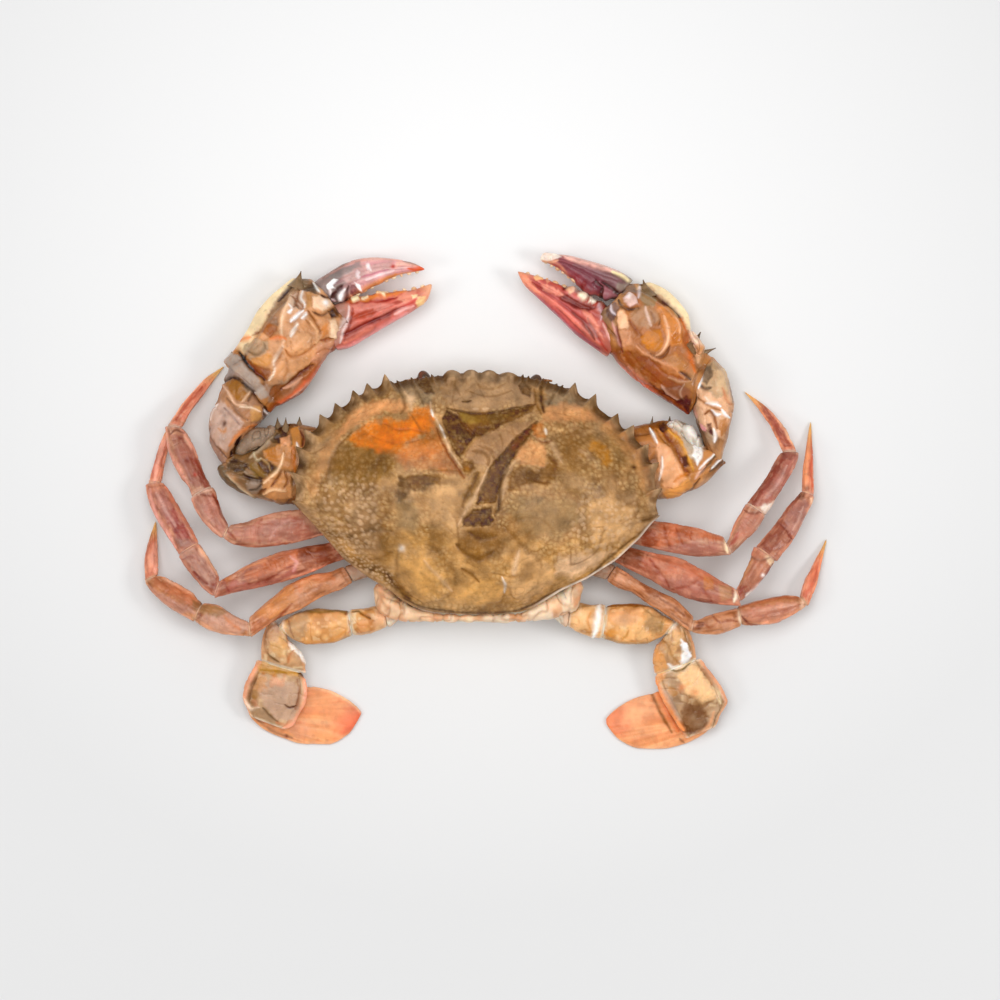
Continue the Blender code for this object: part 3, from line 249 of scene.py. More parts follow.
# Marks of the shell and of the limbs, as seen from above. The first row of a table is the corner that its points
# are counted from, on a grid of GRID_STEP mm whose y runs down. A single word (patch, line, dot) names the form of
# the rows under it. Each of these gives its tone (a name or a screen code), its strength, how far it rises (mm),
# its width or how soft its edge is (grid steps), then its points.
# In the shell's marks, the white lines by the left fold ridge and the white spot and orange patch on the right knob
# are painted highlights, and the pale line of that ridge is partly pale shell, partly painted highlight. The dark
# marks in the two eye hollows and the wide dark line along the left rear rim are painted shade; the other dark
# marks
# that sink in along the creases are partly dark shell, partly painted shade.
SHELL_MARKS = """
300,370
patch
grey .8 .15 5 139,2 220,2 228,14 237,32 200,39 170,41 149,36 141,24
tooth .7 .1 6 88,16 120,8 140,14 147,38 130,32 108,28
grey .65 .1 6 245,18 266,20 286,26 290,34 262,34 246,38
warm .7 .2 7 98,30 76,34 52,48 34,64 20,82 12,104 10,126 18,124 22,106 32,82 48,62 70,48 96,42
peach .8 .15 8 96,30 74,32 54,42 42,56 36,68 50,60 64,50 86,42 106,40 110,32
plane .5 .1 14 220,126 248,118 280,126 286,160 260,174 230,160
warm .65 .1 8 300,46 322,60 342,84 354,114 352,130 342,120 332,92 314,70 300,60
olive .65 -.1 9 31,120 34,80 52,66 72,76 98,82 90,106 66,114
brown .34 -.1 9 25,120 72,114 92,130 92,186 60,190 30,160
brown .34 -.1 8 50,158 76,152 92,166 90,192 62,192 46,176
orange .92 .15 8 50,71 62,57 84,49 104,51 116,40 130,37 134,50 127,64 110,70 97,81 78,81 60,78
orange .9 .05 6 78,58 102,54 128,44 127,60 104,70 90,78 78,74
brown .45 -.1 8 30,100 36,82 52,74 72,82 86,88 72,104 46,106
rosy .82 .1 8 92,86 112,72 136,66 150,86 162,106 140,102 108,98
orange .34 .1 10 98,82 114,70 136,64 146,80 128,88 106,92
tan .65 .15 8 132,110 150,108 166,112 156,136 150,158 130,150
dark .97 -.55 2.2 147,39 156,43 166,54 176,66 171,72 165,82 161,91 156,84 150,72 145,58 143,48
brown .92 -.4 2.4 156,42 180,45 205,42 236,34 232,42 215,50 205,54 194,61 180,66 170,66
dark .7 -.15 3 200,43 220,38 234,35 226,41 208,48 198,51
dark .6 -.1 3 174,57 190,57 206,51 196,59 182,65 172,64
gold .85 .1 3.4 159,43 170,45 180,46 179,53 172,55 164,50
plane .8 .3 3 232,50 206,56 194,62 176,70 171,78 165,89 176,96 190,98 197,92 212,76 225,62
dark 1 -.7 2.2 237,51 235,58 226,71 216,84 209,95 203,108 198,120 195,132 176,134 180,120 185,107 193,94 203,82 215,68 228,56
brown .55 .1 3 224,67 214,80 205,92 198,108 190,112 194,97 204,84 216,70
red .4 -.1 2.6 234,54 231,62 220,74 214,82 211,78 220,68 229,58
brown .35 .1 4 186,114 197,114 196,130 182,132
dark .96 -.45 3 163,149 174,139 192,138 194,150 190,156 170,157 161,158
brown .66 -.15 9 162,160 196,158 208,175 196,192 170,190 160,175
dark .8 -.2 4 98,107 124,105 140,109 130,117 124,122 112,120 104,130 97,132 96,120
brown .6 -.1 4 125,105 138,106 146,114 134,114
brown .9 -.25 4.4 212,101 222,98 233,101 241,106 237,114 222,117 212,121 206,124 209,112
peach .62 .15 5 230,68 243,73 247,85 243,98 224,96 214,88 221,76
orange .5 .25 4 233,54 243,54 245,68 237,70 231,64
brown .8 -.2 3.4 228,101 240,101 249,93 255,97 252,107 240,113 228,111
brown .6 0 3 104,105 128,105 136,109 126,116 114,118 104,114
olive .65 0 3 174,45 200,44 214,43 206,49 192,54 176,54
slate .75 .05 5 246,18 262,16 276,24 288,37 277,41 262,38 248,34
slate .55 .05 5 96,14 114,9 130,10 136,28 124,36 108,32 98,26
moss .5 0 8 213,124 245,126 275,130 284,150 260,168 224,162 209,140
brown .75 -.3 2.4 162,93 173,92 175,99 170,104 163,102
olive .65 -.15 3 174,103 180,103 178,114 172,126 166,133 163,127 169,114
moss .5 0 8 95,128 112,128 120,144 114,162 98,156
brown .55 -.25 5 256,64 272,60 290,60 302,63 292,68 284,74 279,86 294,100 274,99 264,88 258,76
grey .6 .2 4 280,80 290,82 296,92 288,90
amber .75 .1 4.6 290,70 302,72 310,80 311,92 304,98 299,88 292,80
peach .7 .1 8 246,40 262,33 280,34 300,42 296,54 260,54 242,50
dark .85 -.7 2.4 119,12 128,8 135,24 128,24 120,19
red .5 .15 4 112,6 124,1 132,4 124,10 116,11
dark .85 -.7 2.4 218,14 226,12 232,18 230,26 222,24
yellow .62 .45 9 104,192 120,184 134,190 144,210 142,228 124,226 110,212
yellow .82 .35 9 156,228 168,216 190,208 200,218 198,232 176,238
sand .8 .45 9 212,192 224,180 242,186 256,202 248,220 224,230 210,224 208,206
yellow .5 .15 9 104,160 120,164 140,162 136,180 116,182
grey .35 -.1 10 52,130 76,126 84,160 76,186 56,182 46,160
cream .8 0 9 256,186 290,182 312,180 296,196 272,208 256,202
sand .62 .15 9 290,130 312,126 332,138 330,162 312,174 292,168 288,150
line
dark .8 -.45 2.2 147,38 162,42 180,44 200,41.5 220,37 236,34
brown .45 -.15 2 156,6 155,16 160,26
dark .85 -.25 2 162,32 167,32 171,31
brown .5 -.15 2 170,22 185,26 200,25 212,21
brown .45 -.15 2 176,11 182,18 196,18 206,13
pale .6 .15 2 173,39 179,39.5
pale .6 .15 2 183,39 189,39
pale .85 .4 2.4 131,32 133,44 139,54 144,66 150,78 156,89 162,98
white .95 .15 1.7 132,40 133,47
white .9 .15 1.6 140,55 143,62 146,69
rosy .7 .15 3.4 129,46 134,60 142,72 150,87 160,104
red .8 -.25 1.8 137,58 141,70 147,80 154,92 164,108
pale .75 .45 3.6 189,99 182,112 174,128 164,144 157,156
brown .85 -.25 3 177,104 171,118 165,130 163,138
dark .85 -.3 2.6 208,100 202,110 199,126 199,138 196,146
pale .5 .25 3.6 214,92 207,102 205,116 203,130
dark .35 -.2 3.2 45,170 56,164 72,160 92,161
brown .5 -.2 3.2 52,186 66,190 80,188 92,182
brown .55 -.25 3 53,63 42,73 33,86 28,104 21,116 18,130 21,145
dark .85 -.35 7.5 32,176 48,190 67,198 85,203 98,217 110,229
brown .6 -.25 2.8 174,82 182,82 188,88 189,96
brown .45 -.2 2.4 180,76 189,80 194,89
dark .55 -.25 3 0,142 18,162 34,182
dark .8 -.25 2.2 104,228 120,236 145,241 180,243 210,241 228,236 245,227 262,218
dark .9 -.6 3.4 241,16 241,28 245,42
brown .7 -.3 2.4 234,19 236,32 241,44
dark .6 -.3 2.4 254,24 249,35
white .85 .4 1.9 245,59 246,65
pale .45 .35 3.6 248,70 256,80 262,92
red .6 -.25 2 236,70 244,73 252,71
brown .9 -.25 4.6 249,85 255,93 254,104 247,113 238,112
rosy .6 .15 5 300,48 318,60 332,74 343,90 350,110 353,130
brown .4 -.2 3 306,58 322,72 332,88 336,104
dark .75 -.25 2.2 354,150 336,166 318,180 300,196 288,207
dark .8 -.35 4.6 338,152 348,149 357,145
brown .5 -.45 4 98,182 96,196 100,214 112,226
brown .7 -.45 4.4 158,175 166,184 180,188 194,182
brown .7 -.4 3.4 162,198 172,204 180,212
brown .34 -.2 4 130,175 146,190 156,210 148,226
pale .45 .25 3 124,190 140,208 152,220
brown .25 -.15 4 120,202 136,220 144,232
white .75 .4 2 202,207 205,214 204,222
pale .85 .45 4.2 219,180 216,192 213,204
brown .38 -.2 4.4 204,156 212,164 224,176 236,186 242,196
brown .28 -.15 4.4 232,160 222,170 212,184 208,196
pale .6 .3 2.8 104,22 110,30 112,40
dark .55 -.3 2.6 96,16 102,26 106,36 101,44
dark .45 -.2 2.2 112,14 120,26 124,34
red .3 -.2 2.4 85,54 98,60 112,60 128,64
red .28 -.2 2.4 72,66 88,72 104,74 120,70
dark .55 -.25 5 168,163 182,168 196,165
dot
pale .85 .4 2.2 49,192
pale .85 .4 2.4 55,196
pale .85 .4 2.2 61,199
pale .8 .4 2.4 67,201
pale .8 .4 2.2 73,204
pale .7 .4 2 43,186
pale .7 .4 2 37,180
dark 1 -.3 2.6 333,97
dark .85 -.5 5.6 168,98
amber .5 0 3.4 167,99
white .7 .3 3 102,179
pale .8 .4 4 112,28
"""
LIMB_MARKS = {
    # The white lines and dot on the left palm are painted highlights; the dark lines and patch round its hinge knob
    # are painted shade.
    "lc_palm": """
220,270
patch
dea070 .8 0 8 30,70 70,15 110,20 125,60 90,100 48,115
8c4a1c .9 -.3 3 30,66 42,56 50,46 56,50 56,61 50,68 42,63
8c6a52 .9 -.15 3 46,49 55,33 64,21 73,11 79,7 77,16 68,27 62,42 57,56 48,53
b29c8c .75 0 2.4 67,29 76,22 83,25 82,37 72,41
line
40281a .95 -.3 3 58,31 66,21 74,12 80,4
patch
7a6a58 .9 .1 2 76,12 81,1 89,10 83,16
line
f6cca6 .8 .35 3.4 64,72 61,60 64,45 68,33 71,25
ec8446 .9 .1 3.4 18,70 30,67
ec8446 .9 .1 3.4 50,69 57,68 66,68
patch
a68c70 .85 .35 3 23,76 36,70 48,72 50,80 42,86 30,90 23,82
line
6c5030 .6 -.3 2.4 28,82 37,85 45,80 44,74
patch
cc883c .75 .1 3 32,89 50,84 56,88 48,96 32,95
a8988c .92 .1 2.4 6,80 18,85 30,100 44,116 50,126 42,130 26,116 12,102 2,90
a08474 .7 0 3 46,114 56,122 56,132 48,132
line
1c0c06 .97 -.6 4 18,81 23,90 30,98 37,105 45,111
patch
8a4418 .9 -.3 3 27,91 38,96 50,100 48,112 36,105
e8c4a8 .45 .2 4 68,22 83,18 88,30 82,42 69,42
line
f4eae2 .9 .2 1.8 83,20 81,28 85,34 83,40
5c4838 .85 -.2 1.8 77,26 75,33 79,39
f4e6dc .8 .2 1.6 69,34 72,39 69,44
905c3c .8 -.3 2 71,26 76,31 74,38
905c3c .8 -.3 2 79,20 77,29 83,37 81,43
patch
54463a .92 -.35 2.4 79,17 91,12 99,18 99,25 89,21 82,20
line
e8e4de .85 .2 2 93,12 97,18 100,22
patch
b27c3c .75 -.2 3 85,22 91,22 92,36 86,38
f6d2b0 .9 .7 2.6 92,27 102,26 111,32 111,38 102,41 93,38
dot
ffffff .9 .1 2.4 106,33
line
3c1c10 .9 -.5 2.4 101,25 107,28 112,27
patch
2c120c .97 -.7 2.4 108,41 116,35 122,38 119,48 113,49
line
4c2818 .9 -.4 2.4 93,42 101,45 109,42
patch
c8762c .8 -.1 3 101,58 109,52 109,66 103,69
f4d0ac .92 .7 2.6 110,51 116,49 120,58 117,68 110,68 111,58
line
8c5020 .8 -.4 2 88,41 95,51 101,61 99,68 96,72
a06430 .6 -.25 1.8 86,50 93,59 100,65
f4bc8c .7 .3 3 90,52 98,63 96,75
a8622c .8 -.4 2 66,80 70,86 78,87 88,82 96,76
patch
ecb080 .7 .4 5 72,70 80,58 92,68 88,80 74,82
line
8c5634 .8 -.3 2.2 76,34 81,39 79,45 74,52
ffffff .97 .1 2.2 68,43 72,41
ffffff .97 .1 2.4 71,51 77,46 83,41
ffffff .97 .1 2.2 82,49 87,43
fffaf0 .97 .1 2.4 71,66 74,60 78,53
ffe8d0 .85 .25 2 49,111 54,102 55,90 61,80 64,73
a0602c .7 -.3 2.4 52,102 59,88 63,78
a86c3c .7 -.2 2.4 66,88 68,100 64,112
patch
8a4a1e .88 -.35 3.4 51,120 63,114 73,107 83,99 98,90 92,99 80,110 66,123 57,132 51,129
line
5c2810 .85 -.35 2.4 62,120 72,112 82,104 94,96
e4a888 .8 .25 2 64,119 74,114 82,108
e8744c .9 .1 4 60,133 72,124 86,112 98,100 106,88
fcb090 .8 .1 1.6 70,127 84,116 96,104
patch
d8987a .7 .1 4 99,76 115,70 118,75 109,84 96,94 90,92
line
8c4418 .9 -.3 2.6 101,72 107,71 113,68
b06c44 .7 -.2 2 96,84 104,80 112,80
e8ccc4 .9 .35 3 119,70 122,60 125,50 129,38
4c1810 .85 -.3 1.8 118,77 122,69 126,58 130,48 133,36
patch
d0a89c .8 .1 2.4 122,38 130,36 128,46 123,48
""",
    "lc_carpus": """
200,360
patch
b08060 .85 0 8 10,60 22,20 62,38 70,60 40,90 24,98
a08c82 .92 .25 2.6 19,8 40,3 56,15 67,24 70,40 62,40 50,30 42,20 32,16 19,21
line
46403c .85 -.3 2.6 40,7 46,15 54,22
ded2ca .85 .25 2 43,7 52,16 63,23
3c2814 .95 -.45 2.6 19,23 28,17 38,19 47,26 56,34 63,41
patch
9c6422 .92 -.1 3 24,22 36,19 46,28 50,36 46,42 36,40 28,30
line
4c2c14 .9 -.35 3 49,41 53,34 58,39 63,44
d8b090 .85 .3 2.2 42,42 47,36 50,31
e0b494 .85 .3 2.2 21,24 29,34 36,44 46,45
7c5840 .8 -.3 2.2 26,38 35,48 41,56 48,60
patch
c8a898 .85 .15 4 11,54 20,42 34,52 44,64 34,76 26,92 14,84 8,70
line
8c7068 .7 -.25 2.2 24,48 34,58 40,65
dot
5c3c30 .95 -.4 3 24,64
line
b87c50 .8 -.1 2.4 18,68 24,72 26,68
f0dcd0 .85 .2 2 11,60 13,52 18,44
patch
cc9454 .8 .2 3 50,48 61,47 62,59 52,60
line
f4d4b4 .8 .3 2 40,47 52,48 60,52
patch
4c3024 .92 -.4 2.4 64,49 70,44 73,53 69,64 64,60
line
ece0dc .85 .1 1.8 66,50 71,57
patch
28100a .96 -.6 2.4 31,93 38,80 43,76 42,86 34,98 27,101
line
cc7c48 .9 .2 3.2 29,86 36,77 47,68 56,64
50342c .8 -.2 2 10,77 16,87 26,98
patch
a88474 .9 0 3 4,70 9,77 16,88 27,101 22,108 6,92
""",
    "lc_merus": """
210,420
patch
74583a .9 0 6 14,48 40,10 80,5 90,40 82,78 46,76
a48c76 .9 .4 3 40,13 48,5 62,4 60,12 52,20 42,26 38,20
line
34221a .92 -.5 3.4 43,27 50,24 54,16
d4b4a8 .85 .3 2.6 33,12 36,20 39,27
dot
38241c .95 -.4 2.4 36,16
line
b0987c .9 .4 3 40,37 50,29 60,21 70,14
patch
40280f .92 -.4 3 65,0 80,3 78,18 70,24 61,21 68,12
d08c52 .9 .3 3.4 54,31 70,25 82,26 82,50 72,50 64,46 58,40
b46c20 .85 -.1 3 56,30 65,28 67,42 58,41
f0a878 .8 .2 2.6 71,18 81,14 80,26 72,26
44280a .92 -.4 2.6 48,41 58,41 66,48 58,54 50,51
line
b08a5c .7 .2 1.6 51,38 58,44 60,51
2c1c0c .85 -.3 1.8 37,46 44,52 52,59 64,59
a08c78 .75 .2 1.6 30,44 37,54 46,57
patch
7c5c28 .85 .1 3 43,42 52,48 54,56 46,57 40,48
line
c0ac8c .85 .35 2 43,32 48,40 52,38
patch
3c2a1a .92 -.3 3 15,46 24,37 38,43 35,50 24,51
line
342014 .9 -.4 4 34,54 44,60 56,62
c4ac8c .88 .4 2.2 13,50 21,60 33,70 45,78
4c4030 .8 -.2 2 16,56 28,68 40,77
patch
6c5a44 .92 0 3 2,44 12,44 20,60 34,73 52,81 30,83 6,68
98806e .8 .2 3 37,63 46,60 54,68 46,74 38,70
line
2c2018 .85 -.3 2.4 40,70 47,69 52,65
patch
d4925c .9 .25 3.4 54,60 70,50 82,54 82,78 66,80 52,74
line
fcd0a4 .9 .35 2.2 54,63 63,55 70,46 74,33
f8c898 .85 .35 2 53,74 62,70 76,71
6c3814 .9 -.35 2.4 61,67 67,59 71,52
7c4420 .85 -.3 2 75,52 78,62 74,68
5c2c10 .85 -.3 2.4 48,74 56,69
bc6c2c .9 .2 4 83,26 84,38 84,51
patch
d08840 .88 .3 2.6 81,9 89,6 93,18 91,28 83,26
line
742c14 .9 -.3 2.4 91,10 94,18 93,26
f8ece4 .8 .1 2 87,23 89,30
""",
    # The white dot on the right palm's hinge knob and the greyish-white streak by its thumb root are painted
    # highlights.
    "rc_palm": """
600,280
patch
be7646 .8 0 8 25,20 50,5 84,40 96,90 60,110 20,65
line
502608 .95 -.3 3.4 41,1 50,10 58,18 68,24 77,31 83,40
cc6c30 .9 .1 4.4 82,38 86,52 88,65 91,78 96,90
patch
8c7452 .88 .1 3 40,4 48,10 57,19 55,26 45,26 40,20 38,10
line
d8c8c8 .85 .2 2.4 38,18 40,6
patch
5c4040 .88 -.2 2 7,27 15,22 21,28 17,36 11,42 6,36
line
dccccf .85 .2 2 11,25 12,32 16,35
patch
7a6a60 .8 -.1 2.4 22,8 32,2 38,6 36,14 28,11 21,15
ecc4b8 .97 .8 2 22,17 28,13 37,19 39,24 30,27 24,22
dot
fff4ee .85 .1 2.4 28,17
line
2c1208 .97 -.6 2.6 18,19 22,26 30,30 40,28
patch
f8c298 .95 .7 2.2 18,41 17,33 21,29 25,32 29,42 28,48 19,48
e0a078 .7 .3 3 18,50 30,50 34,65 22,66
line
844018 .85 -.4 2.4 29,40 34,48 42,57
9c6438 .7 -.25 1.8 31,37 38,29
patch
ac8260 .85 .15 3.4 37,28 52,26 60,32 60,42 48,48 36,46 30,38
line
dcbcac .8 .2 2 45,27 48,38 51,46
885c40 .75 -.25 2 51,31 55,42
6c4424 .8 -.25 2 59,33 61,39 59,45
patch
de8c46 .85 .3 3.4 56,25 68,26 80,38 84,54 82,66 72,64 64,50 60,38
cc7c24 .88 .1 3 40,56 52,50 60,50 64,62 60,72 50,70 42,62
b86410 .85 -.1 3 71,55 79,53 80,62 73,64
line
fcc298 .88 .4 2.6 63,36 68,48 68,61 62,71 54,77
fcb888 .8 .3 2 74,36 79,46 80,54
703c10 .88 -.4 2.2 50,74 57,78 65,74 70,66
patch
904816 .92 -.3 3.4 19,70 34,70 48,78 60,84 68,94 80,96 90,100 80,108 68,110 55,104 40,94 26,82
line
e09c70 .75 .3 2.4 36,66 48,76 60,82 74,88 84,98
patch
b87c44 .7 .2 3 62,78 76,72 88,86 84,92 70,86
line
34160a .95 -.5 3 79,92 85,95 91,99
c08c68 .75 .3 2.2 68,98 80,102 92,100
patch
804c38 .85 0 3 64,108 80,104 90,108 90,124 76,120
line
c89884 .75 .3 2.2 61,106 68,114 79,121
b08870 .7 .25 1.8 84,104 80,112 84,122
patch
501c12 .92 -.35 3 46,104 60,114 76,124 90,136 91,120 86,116 76,122 60,110 50,102
line
c87c64 .75 .2 1.8 28,86 40,97 52,106
f47854 .95 .1 4 16,83 32,96 48,108 58,116
a83c20 .9 0 3 56,116 68,125 80,132 90,138
d89c90 .85 .25 2.4 12,42 17,54 21,67
782c20 .85 -.3 2.2 16,46 20,58 22,72
patch
f4bc90 .88 .2 3 89,51 97,54 103,62 101,72 98,82 93,70
""",
    # The white lines on the right wrist are painted highlights.
    "rc_carpus": """
690,360
patch
f0bc94 .88 0 6 4,32 16,12 36,6 45,44 32,80 10,64
b89874 .9 .2 3 14,6 24,1 36,6 40,20 38,36 26,38 16,30 12,20
5c4838 .85 -.3 2.6 14,6 22,3 23,14 16,24 12,20
line
4c3424 .92 -.35 3.2 9,24 13,28 20,28
patch
d8b48c .8 .3 3 25,9 35,9 37,32 27,32
line
7c6450 .8 -.2 2 39,12 41,26 44,42
ffffff .97 .2 2.4 15,43 24,44 31,46
ffffff .97 .2 2.4 21,50 25,54 31,54
ffffff .97 .2 2.4 32,49 36,55 40,58
fff6f0 .97 .2 2.6 23,68 25,76 24,82
9c6030 .85 -.35 2.2 7,38 16,44 24,48 31,50
8c5024 .88 -.4 2.6 14,54 19,51 24,57 27,68
patch
b06c2c .88 -.1 2.4 29,60 36,59 38,70 31,77 28,68
481414 .96 -.5 2 16,64 21,63 23,76 18,72
e8949c .85 .1 2 10,64 16,68 17,73 11,70
line
d0907c .8 .1 3.4 1,36 3,46 7,58
f0d0b8 .8 .3 2.2 14,36 20,42 28,42
fcfcfc .9 .1 2 13,8 11,20 8,28
c87c50 .75 -.2 2.4 32,28 36,38 42,44
""",
    # The white streaks, patch and dot on the right claw's arm are painted highlights.
    "rc_merus": """
650,420
patch
c88448 .85 0 6 4,10 40,0 70,35 50,60 14,80
f4b282 .9 .25 3 6,20 18,24 30,42 37,58 26,68 14,68 9,50
line
84460c .95 -.4 6 13,8 20,20 28,32 34,44 38,54
dc9c3c .85 .3 2.6 18,8 29,20 38,35 43,50
patch
4c2808 .9 -.3 2.6 31,36 37,36 40,47 35,48
line
8c5420 .85 -.35 2.2 6,8 12,18 20,26
fffaf4 .95 .3 2.2 0,7 4,16 7,23
fff0e4 .85 .3 2 12,36 12,48 9,60
patch
34200c .92 -.3 2.4 7,3 14,0 18,7 12,10
c4b4a0 .92 .3 3 22,0 38,2 50,8 56,20 54,30 44,42 38,32 30,18 24,10
fffdf8 .97 .3 2.2 44,27 53,24 52,38 47,46 43,36
line
643c2c .92 -.45 3 48,9 53,15 56,21
847c60 .8 -.3 2.4 34,4 36,13 41,20
a08c78 .8 -.2 2 43,24 50,22 56,26
dot
fffef8 .9 .2 3 26,4
patch
e49c54 .88 .2 2.6 12,72 22,68 40,58 44,66 34,74 18,80
line
5c3410 .88 -.3 2 12,80 26,78 40,70 50,58
fffcf8 .95 .2 1.8 49,49 59,39 68,30
5c4430 .9 -.4 2.2 50,54 59,45 64,37 69,31
fffcf8 .9 .2 1.8 62,49 68,42 72,38
685040 .88 -.3 2 60,52 68,47 73,41
e8b8a4 .8 .2 2.2 45,58 50,52 56,46
d07828 .85 -.2 2.6 24,62 30,57 38,54
""",
    # The pure white marks on the left moving finger are painted highlights.
    "lc_finger": """
320,250
patch
cca49c .8 .1 4 25,20 42,14 72,12 70,20 46,28 30,32 20,30
line
744020 .9 -.1 3.4 3,27 11,21 20,16 30,11
patch
8c8480 .8 0 3 10,26 25,18 40,11 42,17 25,24 14,30
fffefc .97 .2 1.6 6,35 14,28 19,29 13,34 15,38 8,40
line
fff0ec .95 .1 2.2 10,38 11,46
fffafa .97 .2 2.4 18,50 21,45 25,39
patch
fffcfc .97 .2 1.6 34,32 40,34 42,39 37,37
fff6f6 .9 .2 2.6 46,12 50,12 52,20 48,20
fbe8e8 .8 .2 2.6 37,20 41,22 40,30 36,28
6c3038 .9 -.3 2 30,34 34,35 40,40 43,42 34,45 30,42
401c1c .92 -.4 2.4 10,46 15,42 21,34 24,33 21,41 16,49 11,50
line
583434 .9 -.3 3 29,36 26,46 22,56
fce0e4 .85 .2 2 12,50 17,53 15,57
c06880 .75 -.2 2.2 42,27 52,24 68,20
fcdcdc .75 .2 2.4 46,30 60,25 74,21
dot
b83c30 .95 0 2.6 73,17
line
e08c50 .85 .1 2.6 41,41 50,35 62,29 76,24
patch
f0b49c .75 .1 3 76,12 88,13 96,16 84,17 76,18
line
dc5c34 .9 0 2.8 88,19 96,20 105,17
e8b4a4 .85 .2 2.4 30,10 45,8 65,8 82,10
9c8474 .7 0 2 84,11 92,13 98,15
""",
    "lc_thumb": """
330,280
patch
e08c7c .85 .1 3 23,24 45,22 65,24 50,32 23,30
a8442c .88 -.2 3 21,31 30,32 42,29 45,34 36,39 22,38
cc6c5c .8 .1 3 20,39 38,39 32,44 20,48
line
741410 .97 -.5 4.2 13,55 22,51 32,46 42,42 53,38 64,31 72,28
94281c .9 -.2 3 22,24 30,22 42,20 56,20 66,17
cc3c34 .88 -.1 2.2 70,28 80,23 88,19
patch
e0806c .88 .2 3 13,62 30,52 44,46 38,54 22,62 14,66
line
d86c68 .8 -.1 2.2 16,64 30,58 44,50
fca09c .88 .2 2.8 8,68 22,64 36,56 50,48 64,39 76,32
fcb8b0 .88 .2 3 64,35 74,29 84,25
patch
fcd494 .9 .2 2.6 88,16 95,16 95,24 86,27
f4a488 .8 .1 3 66,20 74,12 88,10 84,18 74,23
fce4b0 .92 .2 1.6 81,15 88,14 88,17 83,19
e88c44 .85 .1 3 20,18 42,9 70,3 82,8 66,16 44,20 22,23
fff4c4 .97 .5 1.4 22,21 26,18 31,18 30,22 24,23
fff4d0 .97 .5 1.4 32,17 38,14 43,15 39,19 32,21
fff8cc .97 .6 1.6 48,12 52,10 58,12 56,17 49,17
dot
b8481c .9 -.3 2.4 62,11
8c4c20 .9 -.3 2.4 79,9
patch
b48878 .9 .1 1.8 4,25 14,24 21,25 19,36 15,48 11,60 5,67
line
f0d6d0 .92 .2 2 20,27 18,38 14,50 10,63
7c2c20 .85 -.2 1.8 23,28 21,40 18,50 14,61
""",
    "rc_finger": """
530,250
patch
8a5c60 .88 0 3 40,12 70,20 92,30 110,38 102,42 86,40 68,30 44,18
line
f8bcac .92 .2 3.4 34,6 50,11 70,17 84,21
fce4b0 .9 .2 3 82,21 92,26 104,33
patch
8c7a6c .85 .1 2.6 86,34 102,31 108,38 100,41 86,40
7c3c46 .9 -.2 3 36,14 60,20 74,30 82,40 70,36 52,26
a86870 .9 .3 2 75,35 82,40 88,45 78,48 73,42
3c0c12 .96 -.5 2 66,30 72,36 76,46 80,54 74,55 70,44 62,34
line
3c1010 .95 -.4 2.6 72,31 82,38 93,46
3c0c0c .95 -.4 3 77,53 84,50 92,47
dot
a82820 .92 0 3.2 47,26
patch
7c3e48 .85 0 2 30,12 45,19 60,29 70,38 67,46 54,44 44,34 34,23
line
dc8c70 .8 0 1.8 22,11 30,16 37,23 43,30
patch
fceedd .95 .2 1.6 9,8 11,2 18,1 27,4 32,7 23,10 16,12 11,12
line
ecac88 .9 .1 2.6 13,10 20,12 28,11
dot
801c18 .9 -.3 2.6 54,34
""",
    "rc_thumb": """
510,270
line
a02c3c .88 -.1 2.4 30,31 45,44 62,60 76,70 90,80
e8806c .8 .2 3.4 16,14 30,24 46,34 62,48 80,64 96,80
patch
f09474 .88 .1 3 8,3 16,5 22,14 30,22 20,20 11,12
line
9c3c34 .9 -.3 2.2 22,12 35,20 50,28 65,34 80,38
patch
702820 .92 -.3 2.8 50,22 68,29 80,34 90,37 80,41 64,37 51,30
f09880 .85 .2 3 30,11 46,18 56,26 46,26 33,19
line
703830 .8 -.3 2.6 62,42 72,50 80,61 85,70
patch
e48c74 .85 .2 3 72,38 82,42 88,54 94,71 85,60 76,48
line
a0706c .75 -.2 2.2 78,48 84,61 90,73
b44c48 .8 -.2 2 46,38 60,50 74,64
a8342c .8 -.2 2.2 88,68 92,75 98,82
f8a484 .9 .1 2.4 92,84 102,92 110,100
patch
5c3424 .92 -.5 2.6 93,39 101,34 106,40 102,51 94,48
line
d0a4a8 .9 .2 2.4 87,36 92,42 91,50
d8b0b4 .85 .2 2.2 98,33 104,35
5c241c .9 -.4 2.4 97,53 103,62 108,74
patch
fff0d0 1 .5 2 66,22 73,19 79,24 78,30 72,31 67,27
f8c498 .9 .3 2 56,16 62,15 66,20 61,24 56,21
dot
fff4d8 1 .4 2.6 91,32
line
e0a498 .85 .3 2.4 93,53 99,66 106,79
patch
fff6e0 .97 .6 1.4 77,28 82,26 87,31 84,35 78,33
ffecc4 .97 .6 1.4 70,21 76,18 81,23 78,27 72,26
dot
fce0b0 .95 .4 2.8 91,32
patch
f4b488 .9 .3 1.6 58,17 64,16 68,21 62,23
fcc888 .9 .3 1.6 23,7 30,4 33,9 26,10
e89878 .85 .2 1.6 35,7 42,10 37,14
dot
8c1c14 .95 -.4 2.2 67,23
902410 .95 -.4 2.4 76,30
5c1810 .95 -.4 2.6 55,19
fff8ec 1 .5 3.8 65,19
fff4e0 1 .5 4 74,24.5
""",
    "ls_base": """
350,600
patch
f6dcb4 .75 .2 3 0,11 6,12 7,22 3,26 7,34 2,36
line
c06c1c .9 -.1 3 10,13 16,16 20,19
5a4420 .7 -.15 1.6 2,11 8,11 14,15 21,19
patch
d8905c .6 .1 5 8,18 20,22 18,32 8,34
e8b48c .7 .1 6 24,12 42,6 44,24 26,28
""",
